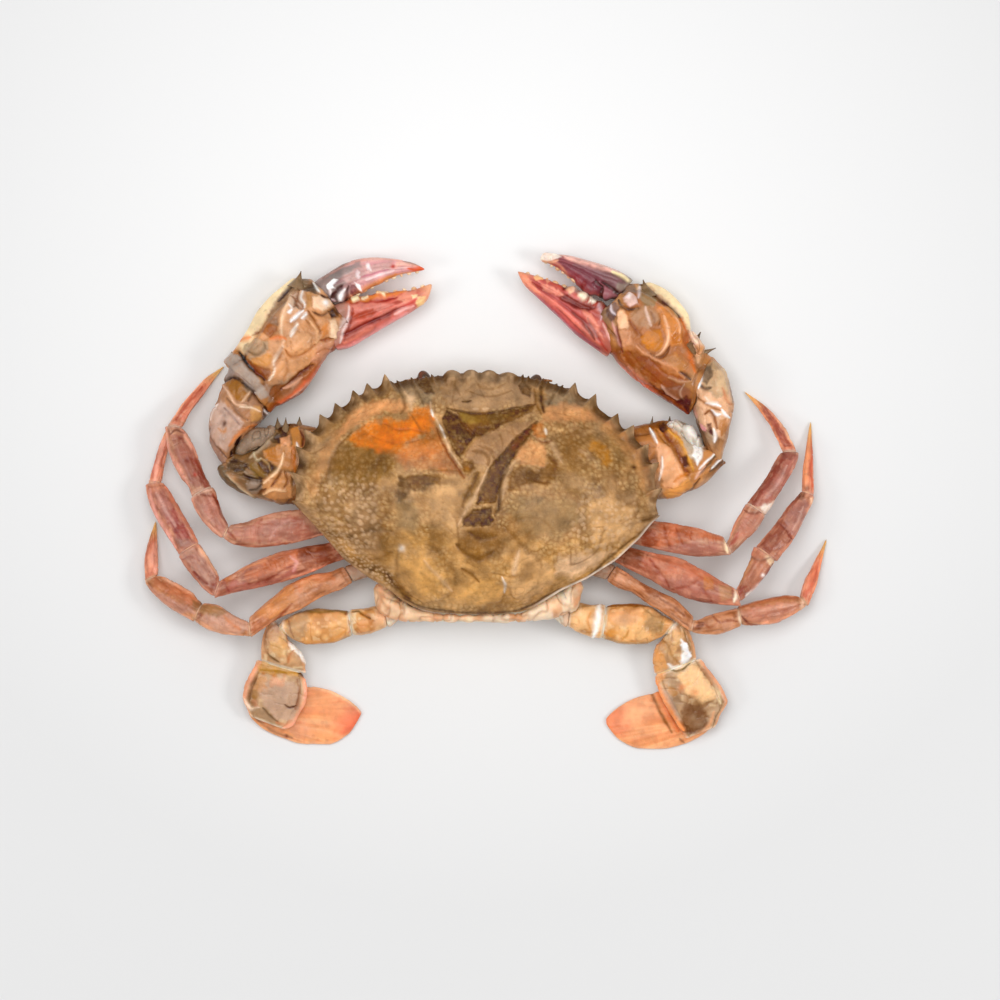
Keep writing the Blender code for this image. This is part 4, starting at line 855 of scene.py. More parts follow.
    "ls_merus": """
280,610
patch
b09272 .6 .1 6 8,8 16,2 26,0 30,12 26,26 16,30 8,26 5,16
line
8a6a34 .75 -.15 3 12,4 22,1 36,1 52,0 66,1
patch
e0a070 .5 .1 5 42,2 58,2 60,10 46,10
dot
7c3c1c .85 -.2 2 66,3
line
fbe6cc .8 .3 2.4 4,8 2,18 6,26
9a6c50 .6 -.2 1.6 8,10 10,20 14,28
c87850 .7 .1 2.2 69,10 71,18 68,23
dot
f4c890 .6 .1 2.4 37,22
f0b878 .6 .1 2.2 45,27
ecb474 .5 .1 3 54,16
ecb474 .5 .1 3 62,21
line
d88c40 .6 0 3.4 66,20 56,29 38,33 22,31
""",
    # The white patch on the left swimming leg's wrist is a painted highlight.
    "ls_carpus": """
260,620
patch
d8a060 .75 .1 6 10,12 22,10 27,25 26,36 17,38 8,28
line
9a6a48 .75 -.15 2.6 16,4 8,9 4,16 4,28 8,36 16,42
6c4c1c .7 -.2 2.2 6,34 11,39 19,43
b08068 .6 .1 4 10,8 16,6 18,12
dot
f0d0a0 .6 .1 3 24,33
patch
fffaf2 .97 .2 3 28,21 37,21 43,29 48,40 49,50 43,44 38,35 31,30
c0987c .6 0 5 6,12 16,6 24,14 16,22 6,24
line
eec0a0 .8 .3 2.6 21,7 26,15
c88868 .6 -.1 2 16,4 24,1
b87040 .7 -.2 2.4 34,31 30,37 28,43
""",
    "ls_propodus": """
240,650
patch
d89c50 .85 .25 4 22,6 45,14 60,12 65,18 60,26 18,24 16,16
line
a8741c .85 -.2 3.2 20,21 32,22 45,23 60,23
dot
b46a28 .7 0 2.5 34,26
b46a28 .7 0 2.2 23,24
b46a28 .6 0 2.2 44,26
line
2c1408 1 -.3 3.2 58,23 63,26 67,28
fcd8bc .9 .3 2.4 3,48 6,55 11,60 18,58
f0a480 .8 .15 3.4 22,8 14,22 7,38 4,49
7c4c28 .7 -.2 2.4 17,24 12,34 9,44 8,50
patch
c09c84 .85 .1 5 22,32 40,30 54,34 58,46 58,58 50,72 36,68 22,56 18,46
d89860 .6 .1 4 16,26 26,28 28,40 18,42 12,40
a06c30 .75 -.1 3 10,42 16,40 19,47 14,51 10,48
b06c48 .65 0 3 11,50 18,50 18,57 13,58
dc9468 .6 0 4 30,28 46,28 44,36 30,38
line
8c5434 .75 -.15 3 57,30 59,42 58,50 55,60
f4a484 .9 .15 4 65,30 66,40 64,54 58,66 50,74 43,79
5c3414 .95 -.2 1.8 44,55 48,58 53,57.5 56,57
patch
98785a .7 0 3 8,60 18,58 28,64 38,72 36,76 22,70 12,68
line
5c4026 .7 -.1 2 22,58 30,66 38,72
c07850 .7 0 3 36,72 44,75 50,70
""",
    "ls_paddle": """
240,680
line
8c6448 .65 0 3 12,34 24,47 38,55 52,59
fcc8a0 .85 .2 2.6 5,28 10,42 22,52 40,61 60,66
dot
7c3c2c .9 -.2 2 46,58
line
fac49c .6 .2 2.6 72,8 90,12 108,22 120,33
patch
ec7c5c .4 0 9 105,28 118,34 118,42 108,52 94,60 96,42
line
d85c48 .45 0 5 117,36 112,46 102,53
patch
e69660 .6 0 8 70,10 90,14 94,32 76,32 66,22
d89878 .5 0 6 48,48 64,40 72,56 56,60
""",
    "rs_base": """
570,600
patch
f4c088 .7 .1 5 0,12 20,6 24,30 4,32
line
fffaf2 .97 .3 5 30,3 28,15 26,28 24,37
d88c44 .7 -.1 2.4 20,12 18,22 20,30
9c6c38 .6 -.1 2 2,10 12,6 22,5
""",
    "rs_merus": """
600,600
patch
e8a874 .6 .1 6 8,10 40,8 44,22 22,26 8,22
f4bc7c .6 .1 5 20,26 46,22 48,36 26,40 14,34
9c7c54 .7 -.05 6 42,8 56,10 63,18 62,30 54,36 46,30 50,18
line
9c5c20 .9 -.1 2.4 5,7 12,5 22,4.5 32,5 46,6
d88838 .8 0 3 1,12 1,25 3,32 12,36
c08444 .8 -.15 2 29,30 26,36 22,40
patch
e09848 .7 .1 4 4,28 18,32 22,38 10,38
dot
fcd8a4 .6 .1 2.6 25,28
f8cc98 .6 .1 2.6 18,37
line
6c4c30 .8 -.2 2.2 54,8 60,12 63,15
8c6c34 .6 0 3 61,22 61,32
""",
    # The white patch and lines on the right swimming leg's wrist are painted highlights.
    "rs_carpus": """
650,620
patch
d4a068 .7 .1 3 10,18 22,20 26,30 22,36 14,30
ecb878 .6 .1 4 22,10 34,12 36,22 26,28
ffffff 1 .2 3 32,20 38,25 40,36 35,44 29,41 32,30
dc9858 .85 .2 3 5,29 12,31 16,41 19,50 7,54 3,42
line
fff4ec .8 .2 2.4 18,44 24,48 30,46
9c6c38 .7 -.2 2 10,18 18,26 22,36 30,44
8c6840 .8 -.1 1.6 34,10 38,20 41,29
fffaf2 1 .2 4 14,0 18,6 17,12
5c5030 .7 -.1 2 14,14 18,15
""",
    "rs_propodus": """
650,650
patch
fac890 .9 .1 6 26,24 46,14 58,30 66,48 52,52 36,44
line
ffe4b4 .9 .2 3 63,38 69,46 71,54
patch
b8a08c .7 0 3 10,38 18,42 26,56 32,72 30,80 20,64 12,50
e09c64 .8 .2 4 3,5 7,1 14,6 17,16 14,28 6,34 4,18
line
b87050 .7 -.2 2.2 14,6 17,14 18,21
6c5424 .9 -.2 2 19,18 26,21 34,19 40,13
b07850 .8 -.1 2 52,18 60,30 66,42 70,50
patch
c08040 .7 -.1 4 14,34 22,38 28,44 24,49 18,42
dot
d8804c .7 0 4 31,39
d8804c .6 0 4 45,43
e8985c .6 0 3 37,34
patch
b49078 .7 0 4 14,40 22,50 28,62 26,74 18,60 14,50
70462a .9 -.1 4 34,54 50,56 58,66 58,78 50,84 38,86 30,82 32,66
5c3214 .7 -.1 3 30,72 40,78 50,80 42,86 32,84
dot
a08060 .6 .1 3 44,68
line
f09458 .95 .2 4 5,26 8,38 15,52 24,66 34,82
e8a070 .7 .1 3 40,90 52,84 60,74 64,62
""",
    "rs_paddle": """
600,680
patch
fab080 .6 0 10 26,24 46,18 50,36 40,50 20,44
line
8c5420 .95 -.1 2.8 50,10 56,24 63,38 72,53
ee8850 .97 .4 5 55,8 61,22 68,35 78,52
patch
e88860 .6 0 6 6,38 12,30 16,42 24,54 14,52
line
5c3820 .7 0 2.6 80,60 84,64
""",
    "r1_merus": """
640,520
patch
c0643c .8 0 5 0,22 20,1 60,8 84,15 82,20 50,20 25,28 5,28
a8685a .8 0 4 15,30 50,22 82,22 80,33 60,37 30,34
line
8c3c20 .7 -.1 3 24,6 26,18 30,26
8c3c20 .6 -.1 2.4 36,8 39,18 42,25
904024 .6 -.1 2.6 52,11 51,20
patch
903c20 .7 0 3 0,16 12,8 20,20 12,27 2,25
line
dc8464 .8 .2 2 22,1 50,5 75,11
dot
d87850 .6 .1 3 32,15
line
ffe0b8 .95 .2 3 86,14 87,25 88,33
""",
    "r1_carpus": """
720,510
patch
c4806a .85 0 3 11,35 17,18 25,3 42,3 44,10 32,24
line
9c4434 .8 -.1 3 10,36 14,30 18,22
e89878 .8 .1 2.2 8,28 15,14 21,2
f4e4da .85 .1 3 37,20 45,11 48,4
74382c .7 -.2 2 24,0 32,3 42,2
""",
    "r1_propodus": """
740,440
patch
a86458 .88 0 3 8,68 20,50 40,22 48,10 59,16 56,30 42,52 28,66
7c3428 .85 -.15 2.6 5,68 10,56 28,30 43,12 48,16 36,34 22,54 14,68
line
f0946c .88 .15 2.6 4,60 16,44 28,26 40,10
c8988c .7 .1 3 26,58 38,42 48,26
d8a08c .7 .1 2 52,35 58,22 60,12
patch
744038 .8 0 3 43,9 57,12 53,20 44,18
f4e4d4 .9 .1 3 20,67 34,61 36,68 26,74
""",
    "r1_dactyl": """
750,390
line
f4a078 .92 0 5 0,2 12,22 24,42 32,56
patch
94483c .9 -.1 2.4 6,8 14,12 26,30 38,46 43,56 34,57 26,44 16,26
line
d89870 .7 .1 2 10,6 24,22 36,40
f4b890 .85 .1 2.4 36,40 42,50 47,58
""",
    "r2_merus": """
610,540
patch
c06c4c .8 0 5 30,20 50,14 90,25 120,42 114,46 80,38 50,32
b07060 .8 0 4 45,35 70,38 95,42 112,50 106,64 90,64 58,52
984830 .7 0 4 26,20 40,16 52,32 46,40 30,30
7c4024 .8 0 4 6,20 18,9 34,11 30,26 16,26
line
8c3824 .75 -.2 2.4 40,18 46,28 54,38 59,48
8c3824 .65 -.15 2.4 62,50 74,48 88,40
904030 .7 -.15 2.6 88,44 94,52 102,62
patch
c47434 .75 .1 3 93,34 102,38 104,48 95,50
7c4438 .75 -.1 3 86,58 98,60 112,63 106,67 90,66
bc8c64 .75 0 3 108,44 121,46 122,57 112,62
line
d88c68 .75 .2 2.4 50,13 80,21 102,32 120,43
ffe8cc .95 .2 3 125,43 127,52 124,62
""",
    # The white line and dot along the lower edge of this wrist are painted highlights.
    "r2_carpus": """
730,550
patch
b07258 .85 0 3 12,40 20,18 26,6 46,5 42,18 26,36
line
8c3428 .85 -.1 3 8,48 11,40 16,36
c88c60 .8 .1 2.6 10,33 16,20 22,8
884038 .8 -.1 2.4 28,34 36,24 43,14
fff4ee .95 .1 2.6 16,46 26,38 37,27
dot
fff0ea .9 .1 2 33,25
patch
f4d0a8 .8 .1 3 34,6 48,4 50,10 42,16
line
785040 .7 -.1 2.4 20,7 30,11 40,8
""",
    "r2_propodus": """
750,490
patch
8c4c3c .88 -.1 2.6 3,64 16,46 32,28 40,34 44,50 30,60 14,66
a87468 .88 0 2.6 34,30 42,16 53,6 60,14 56,30 46,48 40,40
line
74342c .8 -.2 2 30,34 37,40 43,50
7c3428 .75 -.15 2.6 30,28 40,16 50,4
f4a880 .88 .1 2.6 6,56 20,38 36,16 46,4
fcc8a4 .88 .15 3.4 62,8 62,18 56,34 47,50
patch
5c3424 .8 0 3 48,2 58,0 54,10 48,10
line
e0b0a0 .6 .1 2.6 54,16 50,28 44,40
""",
    "r2_dactyl": """
800,430
line
f6a070 .92 0 5 6,58 7,40 10,18 11,0
cc5c40 .85 -.1 3 13,57 13,40 14,20 13,4
dot
5c2c1c .8 0 3 7,58
""",
    "r3_merus": """
640,570
patch
7c4028 .65 -.1 4 0,8 12,6 24,14 32,24 20,28 6,24
a86c48 .8 0 5 20,16 35,20 50,34 52,44 40,42 28,30
line
c88c60 .75 .1 2.6 28,14 42,24 53,36
7c4c34 .75 -.1 2.4 20,28 32,36 44,46
patch
b4744c .75 0 3 42,34 52,38 54,48 46,48
""",
    "r3_carpus": """
690,610
patch
c08460 .8 0 4 10,8 32,4 48,8 46,18 22,22 10,18
6c3424 .88 -.1 3 0,20 8,11 14,12 10,20
line
8c4c34 .8 -.15 2.2 22,4 29,12 40,10 48,12
a45c3c .7 -.1 2.4 14,14 20,18 26,14
patch
cc9478 .7 .1 3 30,12 42,10 46,16 34,20
line
f4dcc0 .9 .2 3 50,2 51,10 54,16
""",
    "r3_propodus": """
740,590
patch
c8846c .85 0 4 2,22 30,14 56,10 62,18 40,30 18,34 6,30
line
ac5c38 .8 0 3 0,18 20,12 42,7 58,7
e0a890 .7 .1 2.6 16,22 36,17 56,14
7c3c34 .85 -.2 2.4 2,26 8,33 18,37 28,36
f0a080 .8 .1 3 22,35 40,31 58,22
a86450 .6 -.1 2 12,28 34,23 54,19
f8c8a8 .85 .1 3 63,6 64,14 62,22
""",
    "r3_dactyl": """
800,550
line
cc6448 .88 0 4 6,46 12,32 18,18
f0926c .88 0 3 12,48 18,34 22,18 25,2
e88460 .8 0 2.4 5,38 12,24 18,12
""",
    "l1_merus": """
220,510
patch
b0705f .85 0 5 12,20 42,10 74,4 84,12 82,28 42,34 20,32
9c5846 .8 0 4 72,2 84,10 98,24 84,32 74,20
line
9c5c48 .7 -.1 2.6 42,8 38,20 40,34
904834 .75 -.1 2.4 16,34 42,37 70,33
d89880 .75 .15 2.2 14,16 42,6 70,0
8c3c2c .8 -.15 2.6 6,14 8,22 16,30
c89080 .6 .1 3 50,30 58,18 70,8
""",
    "l1_carpus": """
180,490
patch
b47464 .85 0 4 12,6 34,4 40,18 47,34 42,46 28,34 17,20
line
8c3424 .85 -.15 2.6 34,4 40,16 47,32
e8a488 .8 .15 2.4 10,8 18,22 30,36 42,48
6c2c24 .75 -.15 2 20,4 28,5 35,7
c8947f .7 .1 3 16,10 24,22 34,36
e8b49c .8 .1 2.4 8,0 20,1 32,0
""",
    "l1_propodus": """
160,430
patch
9c6052 .88 0 3 9,4 22,6 34,22 45,42 50,56 32,57 20,34
883828 .88 -.15 2.6 30,26 38,28 46,42 52,56 46,60 38,44
dot
6c2418 .8 -.1 3 20,7
7c2c20 .8 -.1 3 28,30
c83c28 .7 0 2 36,44
line
f0a48c .85 .15 3 21,0 34,18 46,38 54,56
eca08a .85 .1 3 6,10 12,26 22,44 30,58
a8786c .7 .1 2.6 16,16 24,34 32,50
4c1c14 .75 -.15 2 10,4 16,0 24,3
""",
    "l1_dactyl": """
170,360
line
f09478 .92 0 5 14,60 26,42 40,24 52,10
a84c38 .88 -.1 3 6,60 18,42 32,26
ecc8a0 .7 0 3 44,16 52,8
""",
    "l2_merus": """
220,530
patch
80381c .88 -.1 4 78,10 98,6 118,26 116,34 86,38 76,26
bc6840 .85 0 4 24,42 42,32 66,24 76,18 76,32 50,42 26,50
a45c50 .85 0 3 12,50 32,54 60,46 76,36 78,42 56,54 20,64 8,62
line
7c2c1c .8 -.15 2.6 28,54 46,50 66,38 76,32
8c3c30 .75 -.1 2.4 4,48 6,56 10,62
e09870 .8 .15 2.4 14,42 34,34 56,24 74,15
d09088 .7 .1 3 70,26 76,32 72,42
dot
c07030 .7 0 4 8,47
""",
    "l2_carpus": """
170,540
patch
b88c7c .8 0 4 8,12 26,8 36,20 48,36 44,48 32,44 20,28
line
7c3024 .88 -.15 3 24,32 31,39 38,44
dot
7c2c20 .88 -.1 3 44,45
line
f0b894 .85 .15 2.6 30,8 38,20 48,34
d89880 .75 .1 2.4 8,14 16,28 28,44 40,52
9c6054 .65 -.1 2.4 12,20 22,16 30,20
""",
    "l2_propodus": """
140,480
patch
ac7266 .85 0 4 12,6 24,8 36,28 50,50 56,64 42,66 26,42 14,22
94403a .85 -.1 3 24,32 34,28 44,44 52,58 42,62 30,46
dot
741c1c .85 -.1 3 35,50
line
e88c6c .85 .15 3 26,6 38,24 52,48 60,64
f0a898 .85 .1 3 9,8 12,26 24,48 36,68
patch
9c7468 .75 0 3 36,60 48,58 56,66 40,68
line
d8a89c .7 .1 3 16,12 26,30 36,46
""",
    "l2_dactyl": """
150,430
line
eca48e .94 0 6 4,50 7,34 12,16 16,4
c87460 .85 -.1 2.4 2,48 3,36 7,20
""",
    "l3_merus": """
250,570
patch
d08850 .8 0 4 6,42 26,26 42,14 46,30 30,44 12,56
a86448 .75 0 4 0,54 12,46 22,48 12,62 0,62
line
8c3c24 .75 -.1 2.4 16,58 30,46 42,34
eca878 .8 .15 2.4 6,36 22,24 38,14
patch
cc7c50 .85 0 5 42,12 62,4 80,2 86,10 68,16 50,22
e0a074 .7 .1 4 46,14 62,10 72,14 54,22
""",
    "l3_carpus": """
190,600
patch
cc9c86 .85 0 4 8,18 32,10 54,18 62,28 50,34 24,32
8c6c44 .8 0 3.4 6,4 24,6 38,12 26,18 10,12
line
7c4c40 .75 -.1 2.4 2,16 10,14 6,20
c87c50 .8 0 3 34,16 40,24 50,30
e0a07c .75 .1 2.4 10,22 26,32 46,36
""",
    "l3_propodus": """
140,570
patch
b86c4a .85 0 4 10,6 26,10 48,22 64,34 56,38 32,26 12,16
c48c78 .8 0 3.4 8,16 26,26 50,38 58,44 40,44 18,32 6,22
8c6440 .85 0 3 52,30 64,32 72,40 64,46 54,40
line
f0b494 .8 .15 2.4 22,6 40,16 58,26
e8ac94 .75 .1 2.4 6,20 18,34 36,44 50,48
""",
    "l3_dactyl": """
140,510
line
b06a54 .88 0 3 7,62 6,46 8,30 12,18
f0a890 .9 0 5 14,62 14,46 14,32
c89468 .7 0 2 11,14 11,8
""",
}


MM = 0.001
GRID_STEP = 0.2688
GRID_MIDDLE = (478.0, 500.0)
LOOSE_EDGE = 1.5
LINE_SHARE = 0.72
FILM = 0.020


def tone(code):
    """A colour from its six-figure screen code, as linear light."""
    parts = np.array([int(code[k:k + 2], 16) for k in (0, 2, 4)]) / 255.0
    return np.where(parts <= 0.04045, parts / 12.92, ((parts + 0.055) / 1.055) ** 2.4)


def ease(value, low, high):
    """0 below low, 1 above high, and 3t^2 - 2t^3 between."""
    t = np.clip((value - low) / (high - low), 0.0, 1.0)
    return t * t * (3.0 - 2.0 * t)


def blend(first, second, share):
    """First colour where the share is 0, second where it is 1."""
    share = np.asarray(share)[..., None]
    return np.asarray(first) * (1.0 - share) + np.asarray(second) * share


def power_of(value, power):
    """The size of a value raised to a power, with its sign kept."""
    return np.sign(value) * np.abs(value) ** power


def lattice(x, y, z, seed):
    """One random number from -1 to 1 for each whole point: large odd multipliers, mixed by shifts."""
    h = (x * 374761393 + y * 668265263 + z * 1274126177 + seed * 974634777) & 0xFFFFFFFF
    h = ((h ^ (h >> 13)) * 1103515245) & 0xFFFFFFFF
    h = h ^ (h >> 16)
    return h / 2147483647.5 - 1.0


def noise(points, size, seed=0):
    """Smooth noise from -1 to 1: eight lattice numbers of each cell blended with 6t^5 - 15t^4 + 10t^3."""
    p = points / size
    whole = np.floor(p).astype(np.int64)
    f = p - whole
    f = f * f * f * (f * (f * 6.0 - 15.0) + 10.0)
    total = np.zeros(points.shape[:-1])
    for dx in (0, 1):
        for dy in (0, 1):
            for dz in (0, 1):
                share = (np.where(dx, f[..., 0], 1.0 - f[..., 0]) * np.where(dy, f[..., 1], 1.0 - f[..., 1])
                         * np.where(dz, f[..., 2], 1.0 - f[..., 2]))
                total += share * lattice(whole[..., 0] + dx, whole[..., 1] + dy, whole[..., 2] + dz, seed)
    return total


def rough(points, size, seed=0, octaves=3):
    """Noise at several sizes, each half as large and half as strong as the one before."""
    total = np.zeros(points.shape[:-1])
    for k in range(octaves):
        total += noise(points, size / 2.0 ** k, seed + 7 * k) / 2.0 ** k
    return total


def creases(points, size, seed, width=0.16, swirl=0.9):
    """Thin winding creases: exp(-(n / width)^2) of noise n whose points are pushed about by slower noise."""
    push = np.stack([noise(points, size * 1.9, seed + k) for k in (31, 32, 33)], axis=-1)
    n = noise(points + push * (size * swirl), size, seed)
    return np.exp(-(n / width) ** 2)


def cells(points, size, seed):
    """Distance to the nearest and to the next of scattered points, one in each square cell, in cell sizes."""
    x, y = points[..., 0] / size, points[..., 1] / size
    ix, iy = np.floor(x).astype(np.int64), np.floor(y).astype(np.int64)
    first = np.full(x.shape, 9.0)
    second = np.full(x.shape, 9.0)
    for dx in (-1, 0, 1):
        for dy in (-1, 0, 1):
            cx = ix + dx + 0.5 + 0.42 * lattice(ix + dx, iy + dy, 0 * ix, seed)
            cy = iy + dy + 0.5 + 0.42 * lattice(ix + dx, iy + dy, 0 * ix + 1, seed)
            d = np.hypot(cx - x, cy - y)
            second = np.minimum(second, np.maximum(first, d))
            first = np.minimum(first, d)
    return first, second


def curve_row(row, t):
    """A smooth curve through the values at STATIONS: cubic pieces whose slopes never overshoot."""
    x = np.array(STATIONS)
    y = np.array(row)
    h = np.diff(x)
    d = np.diff(y) / h
    m = np.zeros_like(y)
    flat = d[:-1] * d[1:] <= 0.0
    m[1:-1] = np.where(flat, 0.0, 2.0 * d[:-1] * d[1:] / np.where(flat, 1.0, d[:-1] + d[1:]))
    m[0] = d[0]
    m[-1] = d[-1]
    k = np.clip(np.searchsorted(x, t, side="right") - 1, 0, len(x) - 2)
    s = (t - x[k]) / h[k]
    return ((2 * s ** 3 - 3 * s ** 2 + 1) * y[k] + (s ** 3 - 2 * s ** 2 + s) * h[k] * m[k]
            + (3 * s ** 2 - 2 * s ** 3) * y[k + 1] + (s ** 3 - s ** 2) * h[k] * m[k + 1])


def near_line(x, y, line):
    """Distance of each point from a line of straight parts, and how far along the line it is, 0 to 1."""
    best = np.full(x.shape, 1e9)
    where = np.zeros(x.shape)
    lengths = [math.hypot(b[0] - a[0], b[1] - a[1]) for a, b in zip(line, line[1:])]
    total = sum(lengths)
    done = 0.0
    for (ax, ay), (bx, by), length in zip(line, line[1:], lengths):
        t = np.clip(((x - ax) * (bx - ax) + (y - ay) * (by - ay)) / max(length * length, 1e-9), 0.0, 1.0)
        d = np.hypot(x - ax - t * (bx - ax), y - ay - t * (by - ay))
        closer = d < best
        best = np.where(closer, d, best)
        where = np.where(closer, (done + t * length) / total, where)
        done += length
    return best, where


def rounded(line, steps=6):
    """The same line with its corners eased: a curve through its points by the four-point rule."""
    p = np.array(line)
    p = np.vstack([2 * p[0] - p[1], p, 2 * p[-1] - p[-2]])
    t = np.linspace(0.0, 1.0, steps, endpoint=False)[:, None]
    parts = []
    for k in range(1, len(p) - 2):
        a, b, c, d = p[k - 1], p[k], p[k + 1], p[k + 2]
        parts.append(0.5 * (2 * b + (c - a) * t + (2 * a - 5 * b + 4 * c - d) * t ** 2
                            + (3 * b - a - 3 * c + d) * t ** 3))
    parts.append(p[-2:-1])
    return [tuple(point) for point in np.vstack(parts)]


def inside(x, y, outline):
    """Signed distance from an outline: more than 0 inside it, less outside."""
    ring = list(outline) + [outline[0]]
    away, _ = near_line(x, y, ring)
    within = np.zeros(x.shape, dtype=bool)
    for (ax, ay), (bx, by) in zip(ring, ring[1:]):
        crosses = ((ay > y) != (by > y)) & (x < (bx - ax) * (y - ay) / (by - ay + 1e-12) + ax)
        within ^= crosses
    return np.where(within, away, -away)


def read_marks(text):
    """The marks of a table, with their tones as linear light and their points in millimetres:
    x = (corner_x + column - middle_x) * step, and y = (middle_y - corner_y - row) * step."""
    corner, *rows = text.strip().splitlines()
    corner_x, corner_y = (float(part) for part in corner.split(","))
    marks = []
    for row in rows:
        colour, *rest = row.split()
        if not rest:
            form = colour
            continue
        strength, rise, size, *spots = rest
        places = [tuple(float(part) for part in spot.split(",")) for spot in spots]
        points = [((corner_x + column - GRID_MIDDLE[0]) * GRID_STEP, (GRID_MIDDLE[1] - corner_y - down) * GRID_STEP)
                  for column, down in places]
        colour = SHELL_TONES[colour] if colour in SHELL_TONES else tone(colour)
        marks.append((form, colour, float(strength), float(rise), float(size) * GRID_STEP, points))
    return marks


def marked(points, marks, tint):
    """Lays marks on a surface as seen from above, with uneven edges, and tells how far each point rises.

    A patch fades over its soft edge, a line by exp(-(d / width)^2) and a dot by exp(-(d / size)^2).
    """
    bend = [0.50 * noise(points, 4.2, k) + 0.26 * noise(points, 1.5, k + 2) + 0.14 * noise(points, 0.7, k + 4)
            for k in (51, 52)]
    torn = 0.55 * noise(points, 1.3, 57) + 0.35 * noise(points, 0.6, 58)
    grain = 0.76 + 0.24 * ease(rough(points, 1.3, 70), -0.5, 0.6)
    broken = 0.78 + 0.22 * ease(noise(points, 1.8, 71), -0.5, 0.3)
    height = np.zeros(points.shape[:-1])
    for form, colour, strength, rise, size, spots in marks:
        loose = min(1.0, size / LOOSE_EDGE)
        x, y = points[..., 0] + bend[0] * loose, points[..., 1] + bend[1] * loose
        if form == "patch":
            w = ease(inside(x, y, spots) + torn * loose, -size * 0.5, size * 0.5)
            share = w * strength * grain
        elif form == "line":
            away, along = near_line(x, y, rounded(spots))
            taper = 0.45 + 0.55 * np.sin(math.pi * np.clip(along, 0.0, 1.0)) ** 0.6
            w = np.exp(-(away / (size * LINE_SHARE * taper)) ** 2)
            share = np.clip(w * strength * broken * 1.1, 0.0, 1.0)
        else:
            w = np.exp(-((x - spots[0][0]) ** 2 + (y - spots[0][1]) ** 2) / size ** 2)
            share = w * strength
        height += w * rise
        tint = blend(tint, colour, share)
    return height, tint


def grid_faces(rows, columns, start, closed=True):
    """Four-cornered faces between neighbouring rows; the columns close round on themselves if asked."""
    last = columns if closed else columns - 1
    i, j = np.meshgrid(np.arange(rows - 1), np.arange(last), indexing="ij")
    k = (j + 1) % columns
    a = start + i * columns + j
    b = start + i * columns + k
    return np.stack([a, b, b + columns, a + columns], axis=-1).reshape(-1, 4)


def fan(ring, pole, forward=True):
    """Three-cornered faces from a ring of point numbers to its pole."""
    after = np.roll(ring, -1)
    middle = np.full(len(ring), pole)
    return np.stack([after, ring, middle] if forward else [ring, after, middle], axis=-1)


def volume_of(points, quads, tris):
    """Six times the volume that faces close in: the sum of a . (b x c)."""
    all_tris = np.vstack([quads[:, [0, 1, 2]], quads[:, [0, 2, 3]], tris])
    a, b, c = points[all_tris[:, 0]], points[all_tris[:, 1]], points[all_tris[:, 2]]
    return np.einsum("ij,ij->i", a, np.cross(b, c)).sum()


def shell(points, quads, tris, tint):
    """One closed surface, its faces turned outwards."""
    middle = points.mean(axis=0)
    if volume_of(points - middle, quads, tris) < 0.0:
        quads = quads[:, ::-1]
        tris = tris[:, ::-1]
    return {"points": points, "quads": quads, "tris": tris, "tint": tint}


def tube(rings, tints):
    """A closed surface through rings of points, with a pole in the middle of each end."""
    rows, columns = rings.shape[:2]
    points = np.vstack([rings.reshape(-1, 3), rings[0].mean(axis=0)[None], rings[-1].mean(axis=0)[None]])
    tint = np.vstack([tints.reshape(-1, 3), tints[0].mean(axis=0)[None], tints[-1].mean(axis=0)[None]])
    quads = grid_faces(rows, columns, 0)
    first = np.arange(columns)
    last = (rows - 1) * columns + first
    tris = np.vstack([fan(first, rows * columns), fan(last, rows * columns + 1, False)])
    return shell(points, quads, tris, tint)


def lay(name, shells, material, nodes):
    """One piece from closed surfaces in millimetres: its mesh, its tint, and what it stands for.

    Tints are given as seen, so the light that the wet film sends back is taken off them first.
    """
    start = 0
    points, quads, tris, tints = [], [], [], []
    for one in shells:
        points.append(one["points"])
        quads.append(one["quads"] + start)
        tris.append(one["tris"] + start)
        tints.append(one["tint"])
        start += len(one["points"])
    points = np.vstack(points) * MM
    quads = np.vstack(quads)
    tris = np.vstack(tris)
    tints = np.vstack(tints)
    mesh = bpy.data.meshes.new(name)
    mesh.vertices.add(len(points))
    mesh.vertices.foreach_set("co", points.ravel())
    corners = np.concatenate([quads.ravel(), tris.ravel()]).astype(np.int32)
    mesh.loops.add(len(corners))
    mesh.loops.foreach_set("vertex_index", corners)
    starts = np.concatenate([np.arange(len(quads)) * 4, len(quads) * 4 + np.arange(len(tris)) * 3])
    mesh.polygons.add(len(starts))
    mesh.polygons.foreach_set("loop_start", starts.astype(np.int32))
    mesh.update(calc_edges=True)
    mesh.validate()
    mesh.polygons.foreach_set("use_smooth", np.ones(len(mesh.polygons), dtype=bool))
    layer = mesh.color_attributes.new("tint", "FLOAT_COLOR", "POINT")
    full = np.ones((len(points), 4))
    full[:, :3] = np.clip((tints - FILM) / (1.0 - FILM), 0.003, 1.0)
    layer.data.foreach_set("color", full.ravel())
    mesh.materials.append(material)
    thing = bpy.data.objects.new(name, mesh)
    bpy.context.scene.collection.objects.link(thing)
    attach(thing, BODY)
    if nodes:
        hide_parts(*nodes)


